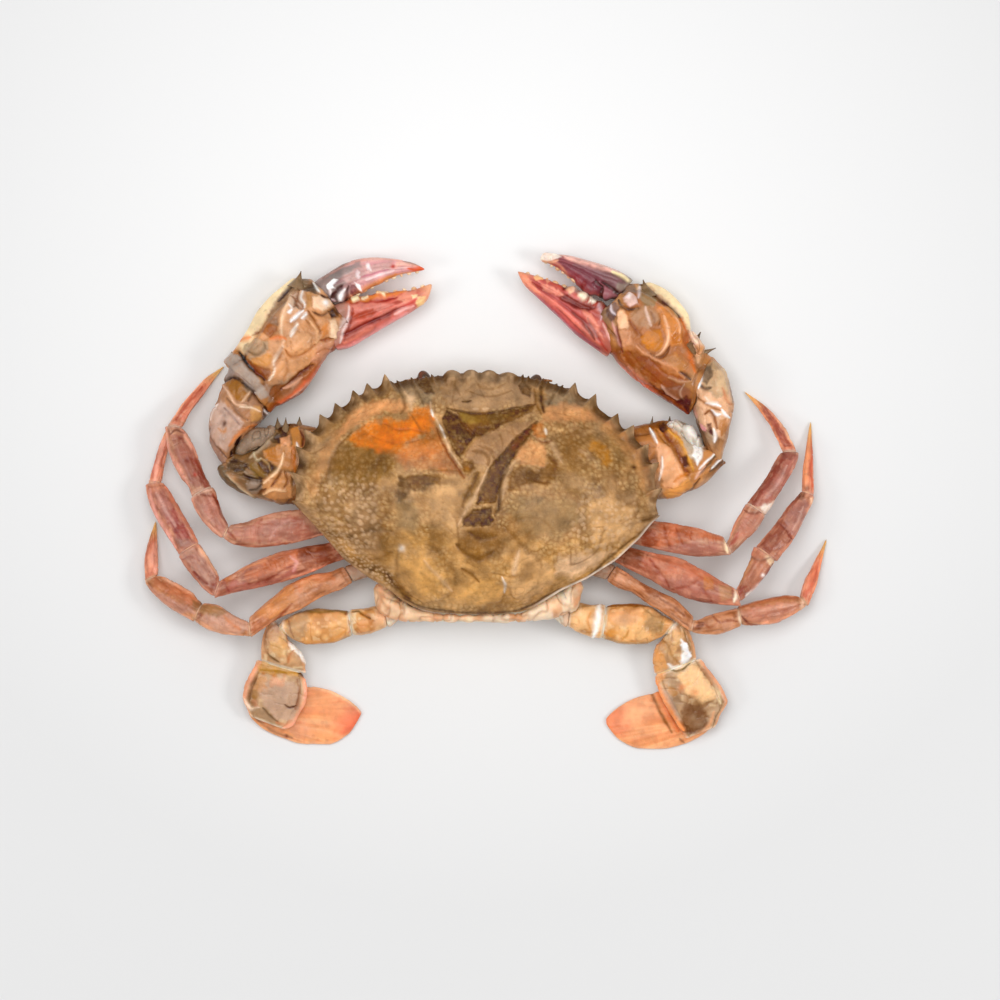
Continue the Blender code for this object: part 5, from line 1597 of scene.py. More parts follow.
SHELL_TONES = {
    "base": tone("a67c50"), "tan": tone("c89a68"), "olive": tone("7e5a26"), "dark": tone("462808"),
    "grey": tone("ac8866"), "pale": tone("d8b088"), "white": tone("f4e6d6"), "rosy": tone("b46e3e"),
    "orange": tone("e07412"), "warm": tone("c98e5a"), "yellow": tone("d8a05c"), "brown": tone("6c451c"),
    "red": tone("7c3c1c"), "dot": tone("e4bc84"), "tooth": tone("94785a"), "under": tone("d8c8ae"),
    "gold": tone("9c7a38"), "plane": tone("a67e5c"), "amber": tone("b87624"), "peach": tone("e29c66"),
    "sand": tone("e6b27a"), "cream": tone("f0c49a"), "moss": tone("8c7450"), "slate": tone("86765e"),
}
BELLY_TONES = {
    "base": tone("e6d8c0"), "pink": tone("e2bfa2"), "white": tone("f6efe4"), "fold": tone("a87c54"),
    "rim": tone("dcb090"),
}
MOUTH_TONES = {"base": tone("d8c2a0"), "pink": tone("c89a78"), "white": tone("efe2cc"), "fold": tone("8a6240")}
LEG_TONES = {
    "1": {"base": tone("bc8468"), "dark": tone("844a36"), "pale": tone("d8a88c"), "edge": tone("eca284"),
          "joint": tone("d0a490"), "under": tone("d8b098"), "line": tone("5c2c20")},
    "2": {"base": tone("bc785e"), "dark": tone("7c3e2c"), "pale": tone("dca080"), "edge": tone("ee9c7c"),
          "joint": tone("cc9480"), "under": tone("d8b098"), "line": tone("5c2418")},
    "3": {"base": tone("c08058"), "dark": tone("8c4c2c"), "pale": tone("dca484"), "edge": tone("f4a878"),
          "joint": tone("d0a080"), "under": tone("d8b098"), "line": tone("5c3018")},
}
DACTYL_TONES = {"base": tone("e08c6c"), "pale": tone("f0ac8c"), "edge": tone("fcb490"), "dark": tone("b45840")}
DACTYL_TIP = tone("e8b468")
SWIM_TONES = {
    "base": {"base": tone("dda468"), "dark": tone("b06a34"), "pale": tone("ecc08c"), "speck": tone("f2d0a4"),
             "rim": tone("e6b484"), "joint": tone("f0e2cc"), "under": tone("e8d4b8")},
    "merus": {"base": tone("e0a468"), "dark": tone("b4743c"), "pale": tone("ecb880"), "speck": tone("f4c894"),
              "rim": tone("b88a54"), "joint": tone("ead8bc"), "under": tone("e4ceac")},
    "carpus": {"base": tone("cc9c70"), "dark": tone("946840"), "pale": tone("d8b48c"), "speck": tone("e8cca0"),
               "rim": tone("e0a070"), "joint": tone("f0e4d0"), "under": tone("e4ceac")},
    "propodus": {"base": tone("b8926e"), "dark": tone("80562e"), "pale": tone("cfae8e"), "speck": tone("d8b890"),
                 "rim": tone("f0a880"), "joint": tone("f0d8bc"), "under": tone("e2c4a4")},
}
PADDLE_TONES = {
    "base": tone("eda06c"), "pale": tone("f2b484"), "dark": tone("c87448"), "tip": tone("e2704c"),
    "rim": tone("f4b088"),
}
CLAW_TONES = {
    "base": tone("b07a4c"), "warm": tone("c07a3c"), "grey": tone("96806a"), "pale": tone("d6a880"),
    "dark": tone("5c3018"), "under": tone("e0c8a8"), "flange": tone("fce2b4"), "red": tone("a04c2c"),
    "white": tone("f0e4d8"), "orange": tone("d08a48"), "brown": tone("7c4420"),
}
SPINE_TONES = {"base": tone("8a7054"), "tip": tone("54422e"), "dark": tone("5c4428")}
MOLAR_TONES = {"tooth": tone("fff0cc"), "root": tone("dc8440")}
FINGER_TONES = {
    "l": {"base": tone("e2a2a2"), "pale": tone("f8d2ca"), "dark": tone("9c5860"), "root": tone("8c7872"),
          "rim": tone("ec9c8c"), "inner": tone("e09058"), "tip": tone("e06a40"), "under": tone("f0d0c0")},
    "r": {"base": tone("8c4a50"), "pale": tone("b4686c"), "dark": tone("5a2830"), "root": tone("6c5450"),
          "rim": tone("f2b8a4"), "inner": tone("d0604c"), "tip": tone("e2805c"), "under": tone("f0d0c0")},
}
THUMB_TONES = {
    "l": {"base": tone("dc7060"), "pale": tone("f09c8c"), "dark": tone("a03a2c"), "root": tone("b86454"),
          "rim": tone("ee948c"), "inner": tone("e07850"), "tip": tone("f0b48c"), "under": tone("f2d4c4")},
    "r": {"base": tone("c8605a"), "pale": tone("dc7c70"), "dark": tone("903438"), "root": tone("b86454"),
          "rim": tone("c85460"), "inner": tone("c04c3c"), "tip": tone("f0a47c"), "under": tone("f2d4c4")},
}
SKIN_TONES = {"joint": tone("7c5440"), "pale": tone("b08870")}
EYE_TONES = {"base": tone("5c4638"), "red": tone("7c4430")}
LEG_ROWS = {"merus": 190, "carpus": 90, "propodus": 120, "dactyl": 130}
LEG_COLUMNS = 68
SWIM_ROWS = {"base": 80, "merus": 130, "carpus": 90, "propodus": 140}
CLAW_ROWS = {"merus": 210, "carpus": 160, "palm": 250}
CLAW_COLUMNS = 176
FINGER_GRID = (150, 112)
CLAW_SEEDS = {"lc": (3, 8, 14), "rc": (21, 27, 33)}
CUFF_REACH = 1.3
CLAW_FOLD = {"merus": 6.0, "carpus": 5.5, "palm": 7.0}
FINGER_GROOVES = ((0.1, 0.10, 0.30, 0.5), (-0.35, 0.08, 0.2, 0.35))
THUMB_GROOVES = ((0.15, 0.10, 0.35, 0.75), (-0.4, 0.09, 0.2, 0.35))
BREAST_LINES = (
    [(2.0, 13.5), (9.0, 12.5), (17.0, 12.0), (30.0, 12.0)],
    [(2.0, 5.0), (9.0, 4.2), (17.0, 2.4), (32.0, 0.5)],
    [(2.0, -1.5), (9.0, -3.4), (17.0, -7.0), (32.0, -10.2)],
    [(3.5, -7.5), (9.0, -10.0), (17.0, -14.0), (32.0, -17.2)],
    [(6.0, -13.0), (10.0, -15.8), (16.0, -20.0), (26.0, -25.0)],
)
REAR_SKIN = (
    (392, 578, 4.0, 2.0, 12.0), (382, 590, 9.0, 3.0, 12.3), (388, 605, 12.0, 3.6, 12.5),
    (400, 611, 11.0, 3.4, 13.0), (415, 615, 7.0, 2.8, 13.8), (430, 617, 5.0, 2.2, 14.5),
    (460, 618, 4.2, 2.0, 14.8), (500, 618, 4.2, 2.0, 14.8), (520, 617, 5.5, 2.2, 14.5),
    (535, 613, 8.0, 2.8, 13.8), (552, 607, 12.0, 3.4, 13.0), (568, 601, 12.0, 3.6, 12.5),
    (575, 588, 9.0, 3.0, 12.3), (566, 576, 4.0, 2.0, 12.0),
)
REAR_TONES = {"base": tone("e8c09a"), "pink": tone("d89c70"), "cream": tone("f2dcc0"), "fold": tone("a87048")}
CLAW_SKINS = {
    "elbow_skin_l": ((236, 455, 4.5, 3.0, 9.5), (245, 446, 9.0, 4.4, 9.8), (257, 438, 10.5, 4.8, 10.0),
                     (268, 433, 8.0, 4.2, 10.0), (276, 428, 4.0, 2.5, 10.0)),
    "elbow_skin_r": ((666, 425, 3.0, 2.5, 10.0), (676, 425, 6.0, 4.0, 10.0), (686, 431, 8.0, 4.6, 10.0),
                     (695, 441, 7.5, 4.4, 9.8), (701, 452, 4.0, 3.0, 9.5)),
    "knuckle_skin_r": ((689, 330, 2.5, 2.0, 8.6), (695, 338, 5.0, 3.4, 8.8), (700, 348, 6.0, 3.8, 8.8),
                       (699, 359, 4.0, 3.0, 8.6)),
}
CLAW_SKIN_TONES = {
    "elbow_skin_l": {"base": tone("98806c"), "pink": tone("6c5440"), "cream": tone("c8b4a4"),
                     "fold": tone("5c4834")},
    "elbow_skin_r": {"base": tone("cfc2b2"), "pink": tone("a08c74"), "cream": tone("fbf6ee"),
                     "fold": tone("988470")},
    "knuckle_skin_r": {"base": tone("e8b084"), "pink": tone("d09058"), "cream": tone("f8dcc4"),
                       "fold": tone("9c6038")},
}
ABDOMEN_JOINTS = (0.16, 0.31, 0.46, 0.60, 0.74, 0.87)
FIELD_LEFT = [(-42.0, 6.0), (-27.0, 6.0), (-26.0, -6.0), (-29.0, -15.0), (-38.0, -10.0), (-45.0, -2.0)]
FIELD_RIGHT = [(28.0, 1.0), (42.0, 0.0), (44.0, -7.0), (37.0, -13.0), (28.0, -16.0), (25.0, -8.0)]
FIELD_EDGE = [(-47.0, -3.0), (-38.0, -7.0), (-30.0, -15.0), (-22.0, -20.0), (-24.0, -27.0), (-36.0, -18.0),
              (-47.0, -6.0)]


SHELL_GRID = 298
MARGIN_STEPS = 720
TOOTH_REACH = 4.6
RIM_REACH = 0.8
BROAD_FOOT = 1.1
NARROW_FOOT = 0.55
LOBE_PEAK = 0.4
BEAD_TURN = 3.4
BEAD_RISE = 0.9
MOTTLED_MARKS = 0.3
FLAP_BED = 1.9
BODY_COLUMNS = 360
BODY_ROWS = (8, 56)
FLAT_ROWS = 46


def outline_of_shell():
    """The margin seen from above, eased between its rows, starting at the right front and going round."""
    right = [(row[2], row[0]) for row in MARGIN_ROWS]
    left = [(-row[1], row[0]) for row in MARGIN_ROWS]
    return np.array(right + list(reversed(left)))


def margin_tables():
    """Reach of the margin in each direction from the middle, and how far round it each direction lies."""
    ring = outline_of_shell()
    ring = np.vstack([ring, ring[:1]])
    fine = np.linspace(0.0, 1.0, 12, endpoint=False)[:, None]
    dense = np.vstack([a + (b - a) * fine for a, b in zip(ring, ring[1:])])
    turn = np.arctan2(dense[:, 1], dense[:, 0])
    order = np.argsort(turn)
    turn = turn[order]
    reach = np.hypot(dense[:, 0], dense[:, 1])[order]
    turns = np.linspace(-math.pi, math.pi, MARGIN_STEPS + 1)
    reaches = np.interp(turns, turn, reach, period=2.0 * math.pi)
    soft = (np.roll(reaches[:-1], 1) + 2.0 * reaches[:-1] + np.roll(reaches[:-1], -1)) / 4.0
    reaches = np.append(soft, soft[0])
    x = reaches * np.cos(turns)
    y = reaches * np.sin(turns)
    around = np.concatenate([[0.0], np.cumsum(np.hypot(np.diff(x), np.diff(y)))])
    return turns, reaches, around


def tooth_push(turns, reaches, around, turn):
    """How each tooth and lobe draws the margin out: a straight-sided peak that leans towards its tip."""
    place = np.interp(turn, turns, around)
    whole = around[-1]
    x = np.interp(turn, turns, reaches) * np.cos(turn)
    y = np.interp(turn, turns, reaches) * np.sin(turn)
    push = np.zeros(turn.shape + (2,))
    peak = np.zeros(turn.shape)

    def foot_at(base):
        """How far round the margin each point lies from a direction, and the margin's own point there."""
        away = (place - np.interp(base, turns, around) + whole / 2.0) % whole - whole / 2.0
        return away, np.interp(base, turns, reaches) * np.array([math.cos(base), math.sin(base)])

    for tx, ty, heading, length in TEETH_LEFT + TEETH_RIGHT:
        h = math.radians(heading)
        bx, by = tx - math.cos(h) * length * 0.5, ty - math.sin(h) * length * 0.5
        away, foot = foot_at(math.atan2(by, bx))
        broad = np.clip(1.0 - np.abs(away) / (TOOTH_BASE_HALF * BROAD_FOOT), 0.0, 1.0)
        narrow = np.clip(1.0 - np.abs(away) / (TOOTH_BASE_HALF * NARROW_FOOT), 0.0, 1.0)
        w = 0.36 * ease(broad, 0.0, 1.0) + 0.64 * narrow ** 1.15
        push += w[..., None] * (np.array([tx, ty]) - foot)
        peak = np.maximum(peak, w)
    for tx, ty, _ in LOBES:
        away, foot = foot_at(math.atan2(ty, tx))
        w = np.clip(1.0 - (away / (LOBE_BASE_HALF * BROAD_FOOT)) ** 2, 0.0, 1.0)
        push += w[..., None] * (np.array([tx, ty]) - foot)
        peak = np.maximum(peak, w * LOBE_PEAK)
    outward = np.stack([np.cos(turn), np.sin(turn)], axis=-1)
    beads = np.clip(np.cos(place * BEAD_TURN) * 0.5 + 0.35 * np.cos(place * 1.37 * BEAD_TURN), 0.0, 1.0)
    brow = ease(y, 27.0, 31.0) * ease(np.abs(x), 9.5, 11.5) * (1.0 - ease(np.abs(x), 22.0, 27.0))
    push += outward * (beads * BEAD_RISE * brow)[..., None]
    return push, peak


def shell_marks(points):
    """Height and tint of the shell: broad brown clouds and mottling, its marks, then a little of both again."""
    tint = blend(SHELL_TONES["base"], SHELL_TONES["tan"], ease(rough(points, 9.0, 60), -0.6, 0.9))
    tint = blend(tint, SHELL_TONES["olive"], 0.5 * ease(noise(points, 12.0, 61), 0.0, 0.7))
    behind = ease(-points[..., 1], 5.0, 16.0)
    tint = blend(tint, SHELL_TONES["yellow"], 0.55 * behind)
    freckle, net, speck, clouds = mottling(points)
    drift = rough(points, 4.6, 98)
    tint = blend(tint, SHELL_TONES["brown"], 0.34 * ease(-drift, 0.0, 1.0))
    tint = blend(tint, SHELL_TONES["pale"], 0.30 * ease(drift, 0.0, 1.0))
    for share in (1.0, MOTTLED_MARKS):
        tint = blend(tint, SHELL_TONES["brown"], share * (0.24 * net + 0.28 * (1.0 - clouds)))
        tint = blend(tint, SHELL_TONES["dot"], share * (0.26 * freckle + 0.08 * speck))
        if share == 1.0:
            height, tint = marked(points, read_marks(SHELL_MARKS), tint)
    return height + 0.05 * freckle, tint


def mottling(points):
    """The shell's own grain: brown net between pale freckles, at two sizes, weaker on the smooth middle."""
    bent = points[..., :2] + 0.35 * np.stack([noise(points, 1.7, 75), noise(points, 1.7, 76)], axis=-1)
    near, after = cells(bent, 1.45, 77)
    near_small, _ = cells(bent, 0.8, 78)
    freckle = ease(-near, -0.42, -0.16)
    net = ease(-(after - near), -0.20, -0.02)
    small = ease(-near_small, -0.40, -0.18)
    patchy = ease(noise(points, 5.0, 79), -0.5, 0.5)
    return freckle * patchy, net * patchy, small, ease(rough(points, 2.4, 74), -0.6, 0.8)


def granules(x, y, points):
    """Pale pimples of the hind sides, one to a cell and of many sizes, in three named fields."""
    bent = points[..., :2] + 0.25 * np.stack([noise(points, 1.5, 83), noise(points, 1.5, 84)], axis=-1)
    large, _ = cells(bent, 1.75, 82)
    small, _ = cells(bent, 1.0, 80)
    left = ease(inside(x, y, FIELD_LEFT), -3.0, 3.0)
    right = ease(inside(x, y, FIELD_RIGHT), -3.0, 3.0)
    edge = ease(inside(x, y, FIELD_EDGE), -1.5, 1.5)
    size = 0.30 + 0.10 * noise(points, 2.0, 85)
    coarse = ease(size - large, -0.10, 0.12)
    fine = ease(0.34 - small, -0.08, 0.10)
    return np.clip(coarse * np.maximum(left, right) + fine * edge, 0.0, 1.0)


def carapace_piece(material):
    """A square grid bent to a disc (x * sqrt(1 - y^2 / 2)), then out to the margin, and domed."""
    side = np.linspace(-1.0, 1.0, SHELL_GRID)
    u, v = np.meshgrid(side, side, indexing="ij")
    dx = u * np.sqrt(1.0 - v * v / 2.0)
    dy = v * np.sqrt(1.0 - u * u / 2.0)
    rho = np.clip(np.hypot(dx, dy), 0.0, 1.0)
    turn = np.arctan2(dy, dx)
    turns, reaches, around = margin_tables()
    reach = np.interp(turn, turns, reaches)
    x = rho * reach * np.cos(turn)
    y = rho * reach * np.sin(turn)
    push, peak = tooth_push(turns, reaches, around, turn)
    in_from_edge = (1.0 - rho) * reach
    hold = ease(-in_from_edge, -TOOTH_REACH, -0.2)
    x = x + push[..., 0] * hold
    y = y + push[..., 1] * hold
    dome = SHELL_CROWN * (1.0 - rho ** SHELL_CROWN_POWER) ** 0.9
    z = SHELL_EDGE_Z + 0.2 + dome + SHELL_FRONT_RISE * rho * np.clip(y / FRONT_Y, 0.0, 1.2) ** 3
    points = np.stack([x, y, z], axis=-1)
    height, tint = shell_marks(points)
    calm = ease(in_from_edge, 0.2, 2.6)
    small = creases(points, 7.5, 90, 0.10) * ease(noise(points, 9.0, 94), -0.2, 0.4)
    small = small + 0.5 * creases(points, 3.4, 91, 0.12) * ease(noise(points, 6.0, 96), -0.2, 0.5)
    height = height - 0.18 * small
    # The fine creases are sunk and darkened with brown: partly the shell's own colour, partly painted shade.
    tint = blend(tint, SHELL_TONES["brown"], 0.48 * np.clip(small, 0.0, 1.0))
    swell = noise(points, 11.0, 92) * 0.40 + noise(points, 4.6, 93) * 0.20 + noise(points, 2.2, 97) * 0.08
    height = height + swell
    pimples = granules(x, y, points)
    height = height + 0.20 * pimples
    tint = blend(tint, SHELL_TONES["pale"], 0.55 * pimples)
    front = ease(y, 4.0, 10.0)
    tooth_tone = blend(SHELL_TONES["tooth"], SHELL_TONES["dark"], 0.6 * ease(noise(points, 2.2, 95), -0.1, 0.6))
    tooth_tone = blend(tooth_tone, SHELL_TONES["pale"], 0.5 * ease(noise(points, 1.3, 99), 0.1, 0.6))
    near_teeth = ease(-in_from_edge, -3.4, -0.8) * ease(y, -8.0, 0.0)
    tint = blend(tint, tooth_tone, 0.8 * near_teeth)
    # Painted shade: the valleys between the side teeth are darkened as well as sunk.
    shaded_valley = near_teeth * (1.0 - ease(peak, 0.0, 0.45))
    tint = blend(tint, SHELL_TONES["dark"], 0.75 * shaded_valley * front)
    height = height - 0.35 * shaded_valley * front
    rim = ease(-in_from_edge, -RIM_REACH, -0.25) * ease(-y, 3.0, 7.0)
    tint = blend(tint, SHELL_TONES["white"], 0.75 * rim * ease(x, 12.0, 20.0))
    tint = blend(tint, SHELL_TONES["grey"], 0.6 * rim * ease(-x, 5.0, 15.0))
    z = z + height * calm + 0.5 * peak * hold
    points = np.stack([x, y, z], axis=-1)
    n = SHELL_GRID
    number = np.arange(n * n).reshape(n, n)
    edge = np.concatenate([number[:-1, 0], number[-1, :-1], number[:0:-1, -1], number[0, :0:-1]])
    top = points.reshape(-1, 3)
    under = []
    for scale, low in ((0.992, 17.2), (0.975, SHELL_UNDER_Z + 0.3), (0.94, SHELL_UNDER_Z),
                       (0.6, SHELL_UNDER_Z + 0.02)):
        ring = top[edge].copy()
        ring[:, :2] *= scale
        ring[:, 2] = low
        under.append(ring)
    under.append(np.array([[0.0, 0.0, SHELL_UNDER_Z + 0.02]]))
    all_points = np.vstack([top] + under)
    quads = [grid_faces(n, n, 0, closed=False)[:, ::-1]]
    rings = [edge] + [np.arange(len(edge)) + n * n + k * len(edge) for k in range(4)]
    for outer, inner in zip(rings, rings[1:]):
        quads.append(np.stack([outer, inner, np.roll(inner, -1), np.roll(outer, -1)], axis=-1))
    tris = fan(rings[-1], len(all_points) - 1)
    belly = np.tile(SHELL_TONES["under"], (len(all_points) - n * n, 1))
    tints = np.vstack([tint.reshape(-1, 3), belly])
    quads = np.vstack(quads)
    body = shell(all_points, quads, tris, tints)
    lay("carapace_shell", [body], material, ["carapace"])


def body_surface():
    """The trunk under the shell: ovals from the belly flat, turning into the outline of the shell above."""
    columns = BODY_COLUMNS
    turn = 2.0 * math.pi * (np.arange(columns) + 0.5) / columns - math.pi
    turns, reaches, _ = margin_tables()
    levels = np.array([row[0] for row in BODY_RINGS])
    c, s = np.cos(turn), np.sin(turn)
    rows = []
    fine = np.concatenate([np.linspace(0.0, 1.2, BODY_ROWS[0]), np.linspace(1.6, levels[-1], BODY_ROWS[1])])
    for z in fine:
        half, front, rear, share, scale = (np.interp(z, levels, [row[k] for row in BODY_RINGS])
                                           for k in range(1, 6))
        reach = np.where(s > 0.0, front, -rear)
        oval = (np.abs(c / half) ** BODY_POWER + np.abs(s / reach) ** BODY_POWER) ** (-1.0 / BODY_POWER)
        top = np.interp(turn, turns, reaches) * scale
        stretch = np.where(s < 0.0, BODY_REAR_STRETCH, 1.0)
        x = c * (oval * (1.0 - share) + top * share)
        y = s * (oval * (1.0 - share) + top * share * stretch)
        rows.append(np.stack([x, y, np.full(columns, z)], axis=-1))
    side = np.stack(rows)
    inner = np.linspace(0.04, 0.97, FLAT_ROWS)[:, None, None]
    flat = side[0][None] * inner
    lid = side[-1][None] * np.array([0.8, 0.4, 0.1])[:, None, None]
    lid[..., 2] = BODY_RINGS[-1][0]
    return np.concatenate([flat, side, lid])


def underbody_piece(material):
    """The trunk with the grooves between its breast plates, which run from the middle line to each leg."""
    rings = body_surface()
    x, y, z = rings[..., 0], rings[..., 1], rings[..., 2]
    low = 1.0 - ease(z, 6.0, 12.0)
    groove = np.zeros(x.shape)
    for line in BREAST_LINES:
        for sign in (1.0, -1.0):
            away, _ = near_line(x * sign, y, rounded(line))
            groove = np.maximum(groove, np.exp(-(away / 0.42) ** 2))
    groove *= low
    middle = np.exp(-(x / 0.35) ** 2) * low * ease(y, -4.0, 2.0)
    groove = np.maximum(groove, middle)
    skin = creases(rings, 4.5, 120, 0.14) * 0.5 + 0.3 * rough(rings, 3.0, 121)
    centre = np.array([0.0, -4.0, 9.0])
    out = rings - centre
    out = out / np.linalg.norm(out, axis=-1, keepdims=True)
    sink = 0.45 * groove + 0.14 * np.clip(skin, 0.0, 1.0)
    points = rings - out * sink[..., None]
    path_y, _, path_half = np.array(ABDOMEN_PATH).T
    room = np.interp(y, path_y, path_half, right=-1.0) + GAP - np.abs(x)
    points[..., 2] += FLAP_BED * ease(room, 0.0, 0.5) * (1.0 - ease(z, 1.0, 3.0))
    points[..., 2] = np.maximum(points[..., 2], 0.0)
    tint = blend(BELLY_TONES["base"], BELLY_TONES["pink"], 0.7 * ease(rough(rings, 8.0, 122), -0.2, 0.8))
    tint = blend(tint, BELLY_TONES["white"], 0.6 * ease(noise(rings, 4.0, 123), 0.1, 0.7))
    tint = blend(tint, BELLY_TONES["fold"], 0.65 * np.clip(groove + 0.45 * skin, 0.0, 1.0))
    upper = ease(z, 10.0, 15.0)
    tint = blend(tint, BELLY_TONES["rim"], upper * 0.55 * ease(noise(rings, 3.0, 124), -0.4, 0.6))
    front = ease(y, 16.0, 24.0) * ease(z, 5.0, 11.0)
    tint = blend(tint, SHELL_TONES["grey"], 0.65 * front)
    shells = [tube(points, tint)]
    for code in ROOTS:
        shells.append(coxa_shell(code))
    lay("trunk", shells, material, ["underbody"])


LIP = 0.55
SKIN_GRID = (13, 64)
COXA_GRID = (26, 56)
SWIM_COLUMNS = 128
PADDLE_GRID = (170, 144)
SPIKE_GRID = (20, 24)
MOLAR_GRID = (16, 18)
FLAP_GRID = (180, 96)
MOUTH_GRID = (90, 72)
REAR_ROWS = 300
ROLL_ROWS = 90
ROLL_COLUMNS = 72
EYE_GRID = (40, 64)
STALK_ROWS = 30
FEELER_GRID = (70, 20)
UP = np.array([0.0, 0.0, 1.0])
SKIN_REACH = 0.95
JOINT_INSET = 0.12
RAGGED_REACH = 3.0


def read_pieces(rows):
    """Length, heading, left and right half widths of each piece, from the rows of the table."""
    pieces = {}
    for row in rows.strip().splitlines():
        name, length, heading, *sides = row.split()
        halves = (tuple(float(width) for width in side.split(",")) for side in sides)
        pieces[name] = (float(length), float(heading), *halves)
    return pieces


PIECES = read_pieces(PIECE_ROWS)


def end_of(start, length, degrees, level):
    """The far end of a piece: its length along its heading, at a level of its own."""
    h = math.radians(degrees)
    return np.array([start[0] + length * math.cos(h), start[1] + length * math.sin(h), level])


def ends_of(code, kinds, heights):
    """The joints of one limb, end to end: each piece goes its own length on its own heading."""
    points = [np.array([*ROOTS[code], heights[0]])]
    for kind, level in zip(kinds, heights[1:]):
        length, degrees = PIECES[code + "_" + kind][:2]
        points.append(end_of(points[-1], length, degrees, level))
    return points


def unit(vector):
    """The vector over its own length."""
    return vector / np.linalg.norm(vector)


def turns_of(count):
    """Even angles round a section: 2 pi k / count."""
    return 2.0 * math.pi * np.arange(count) / count


def oval_of(turn):
    """Across and up of an oval section: cosine and sine, their size raised to 2 / SECTION_POWER."""
    return power_of(np.cos(turn), 2.0 / SECTION_POWER), power_of(np.sin(turn), 2.0 / SECTION_POWER)


def level_axes(heading):
    """Forward and across of a level heading: (cos, sin, 0) and (-sin, cos, 0)."""
    cosine, sine = math.cos(heading), math.sin(heading)
    return np.array([cosine, sine, 0.0]), np.array([-sine, cosine, 0.0])


def tilted_axes(h, p):
    """Forward, across and up of a heading h and a pitch p: forward is (cos p cos h, cos p sin h, sin p)."""
    forward = np.stack([np.cos(p) * np.cos(h), np.cos(p) * np.sin(h), np.sin(p)], axis=-1)
    across = np.stack([-np.sin(h), np.cos(h), np.zeros(np.shape(h))], axis=-1)
    up = np.stack([-np.sin(p) * np.cos(h), -np.sin(p) * np.sin(h), np.cos(p)], axis=-1)
    return forward, across, up


def sections(centre, across, wide, up, high):
    """The points of each ring: centre + across * wide + up * high."""
    return centre + across * wide[..., None] + up * high[..., None]


def round_sections(centre, across, up, radius, turn):
    """Round rings: across by radius * cos, and up by radius * sin."""
    return sections(centre, across, radius[:, None] * np.cos(turn), up, radius[:, None] * np.sin(turn))


def planes_of(code, points):
    """Heading and pitch of each joint: halfway between the two pieces that meet there."""
    planes = [None]
    for a, b, c in zip(points, points[1:], points[2:]):
        middle = unit(unit(b - a) + unit(c - b))
        planes.append((math.atan2(middle[1], middle[0]), math.asin(middle[2])))
    planes.append(None)
    if code in WRIST_HEADING:
        planes[WRIST] = (math.radians(WRIST_HEADING[code]), planes[WRIST][1])
    return planes


def turned(target, source):
    """The shorter turn from one heading to the other: atan2 of the sine and cosine of their difference."""
    return math.atan2(math.sin(target - source), math.cos(target - source))


def limb(start, end, lefts, rights, halves, rows, sides, plane_in=None, plane_out=None, flange=None, grow=0.0):
    """Oval sections along a straight piece, |x/a|^2.3 + |y/b|^2.3 = 1, turned to the joint at each end.

    Returns the rings with, for each point, how far along it lies, its side (1 left, -1 right) and its top.
    """
    axis = end - start
    length = np.linalg.norm(axis)
    heading = math.atan2(axis[1], axis[0])
    pitch = math.asin(axis[2] / length)
    lips = np.array([0.0, 0.03, 0.1, 0.22, 0.38, LIP]) / length
    t = np.concatenate([lips, np.linspace(LIP / length, 1.0 - LIP / length, rows)[1:-1], 1.0 - lips[::-1]])
    near = np.clip(1.0 - t / TILT_REACH, 0.0, 1.0)
    far = np.clip(1.0 - (1.0 - t) / TILT_REACH, 0.0, 1.0)
    h = np.full(t.shape, heading)
    p = np.full(t.shape, pitch)
    if plane_in:
        h += turned(plane_in[0], heading) * near
        p += (plane_in[1] - pitch) * near
    if plane_out:
        h += turned(plane_out[0], heading) * far
        p += (plane_out[1] - pitch) * far
    forward, across, up = tilted_axes(h, p)
    push = JOINT_INSET * (np.clip(1.0 - t * length, 0.0, 1.0) - np.clip(1.0 - (1.0 - t) * length, 0.0, 1.0))
    centre = start + axis * t[:, None] + forward * push[:, None]
    away = np.minimum(t, 1.0 - t) * length
    inset = LIP * (1.0 - np.sqrt(np.clip(1.0 - (1.0 - np.clip(away / LIP, 0.0, 1.0)) ** 2, 0.0, 1.0))) * 0.8
    left = curve_row(lefts, t) + grow
    right = curve_row(rights, t) + grow
    half = curve_row(halves, t) + grow
    tight = np.minimum(inset, 0.45 * np.minimum((left + right) / 2.0, half))
    shift = (left - right) / 2.0
    width = (left + right) / 2.0 - tight
    half = half - tight
    turn = turns_of(sides)
    c, s = oval_of(turn)
    side = np.tile(c, (len(t), 1))
    top = np.tile(s, (len(t), 1))
    thin = np.ones(side.shape)
    if flange:
        reach = ease(t, 0.1, 0.25) * (1.0 - ease(t, 0.9, 1.0))
        thin = thin - 0.62 * ease(side * flange, 0.62, 0.74) * reach[:, None]
    rings = sections(centre[:, None], across[:, None], shift[:, None] + width[:, None] * c,
                     up[:, None], half[:, None] * s * thin)
    out = across[:, None] * np.cos(turn)[:, None] + up[:, None] * np.sin(turn)[:, None]
    return {"rings": rings, "out": out, "t": np.tile(t[:, None], (1, sides)), "side": side, "top": top,
            "length": length, "across": side * width[:, None] + shift[:, None], "turn": np.tile(turn, (len(t), 1))}


def own_space(form, seed):
    """Points of a limb in its own space: along it, round it and out, so that noise can run along it."""
    along = form["t"] * form["length"]
    return np.stack([along, form["across"] + 40.0 * seed, form["top"] * 3.0], axis=-1)


def sink(form, depth):
    """Moves the surface in by depth, less at the very ends, and keeps it above the floor."""
    away = np.minimum(form["t"], 1.0 - form["t"]) * form["length"]
    hold = ease(away, 0.0, 1.2)
    rings = form["rings"] - form["out"] * (depth * hold)[..., None]
    rings[..., 2] = np.maximum(rings[..., 2], 0.0)
    return rings


def marks_above(form, name, depth, tint):
    """Lays the marks of one limb piece on its upper side."""
    rise, seen = marked(form["rings"], read_marks(LIMB_MARKS[name]), tint)
    above = ease(form["top"], -0.35, 0.1)
    return depth - rise * above, blend(tint, seen, above)


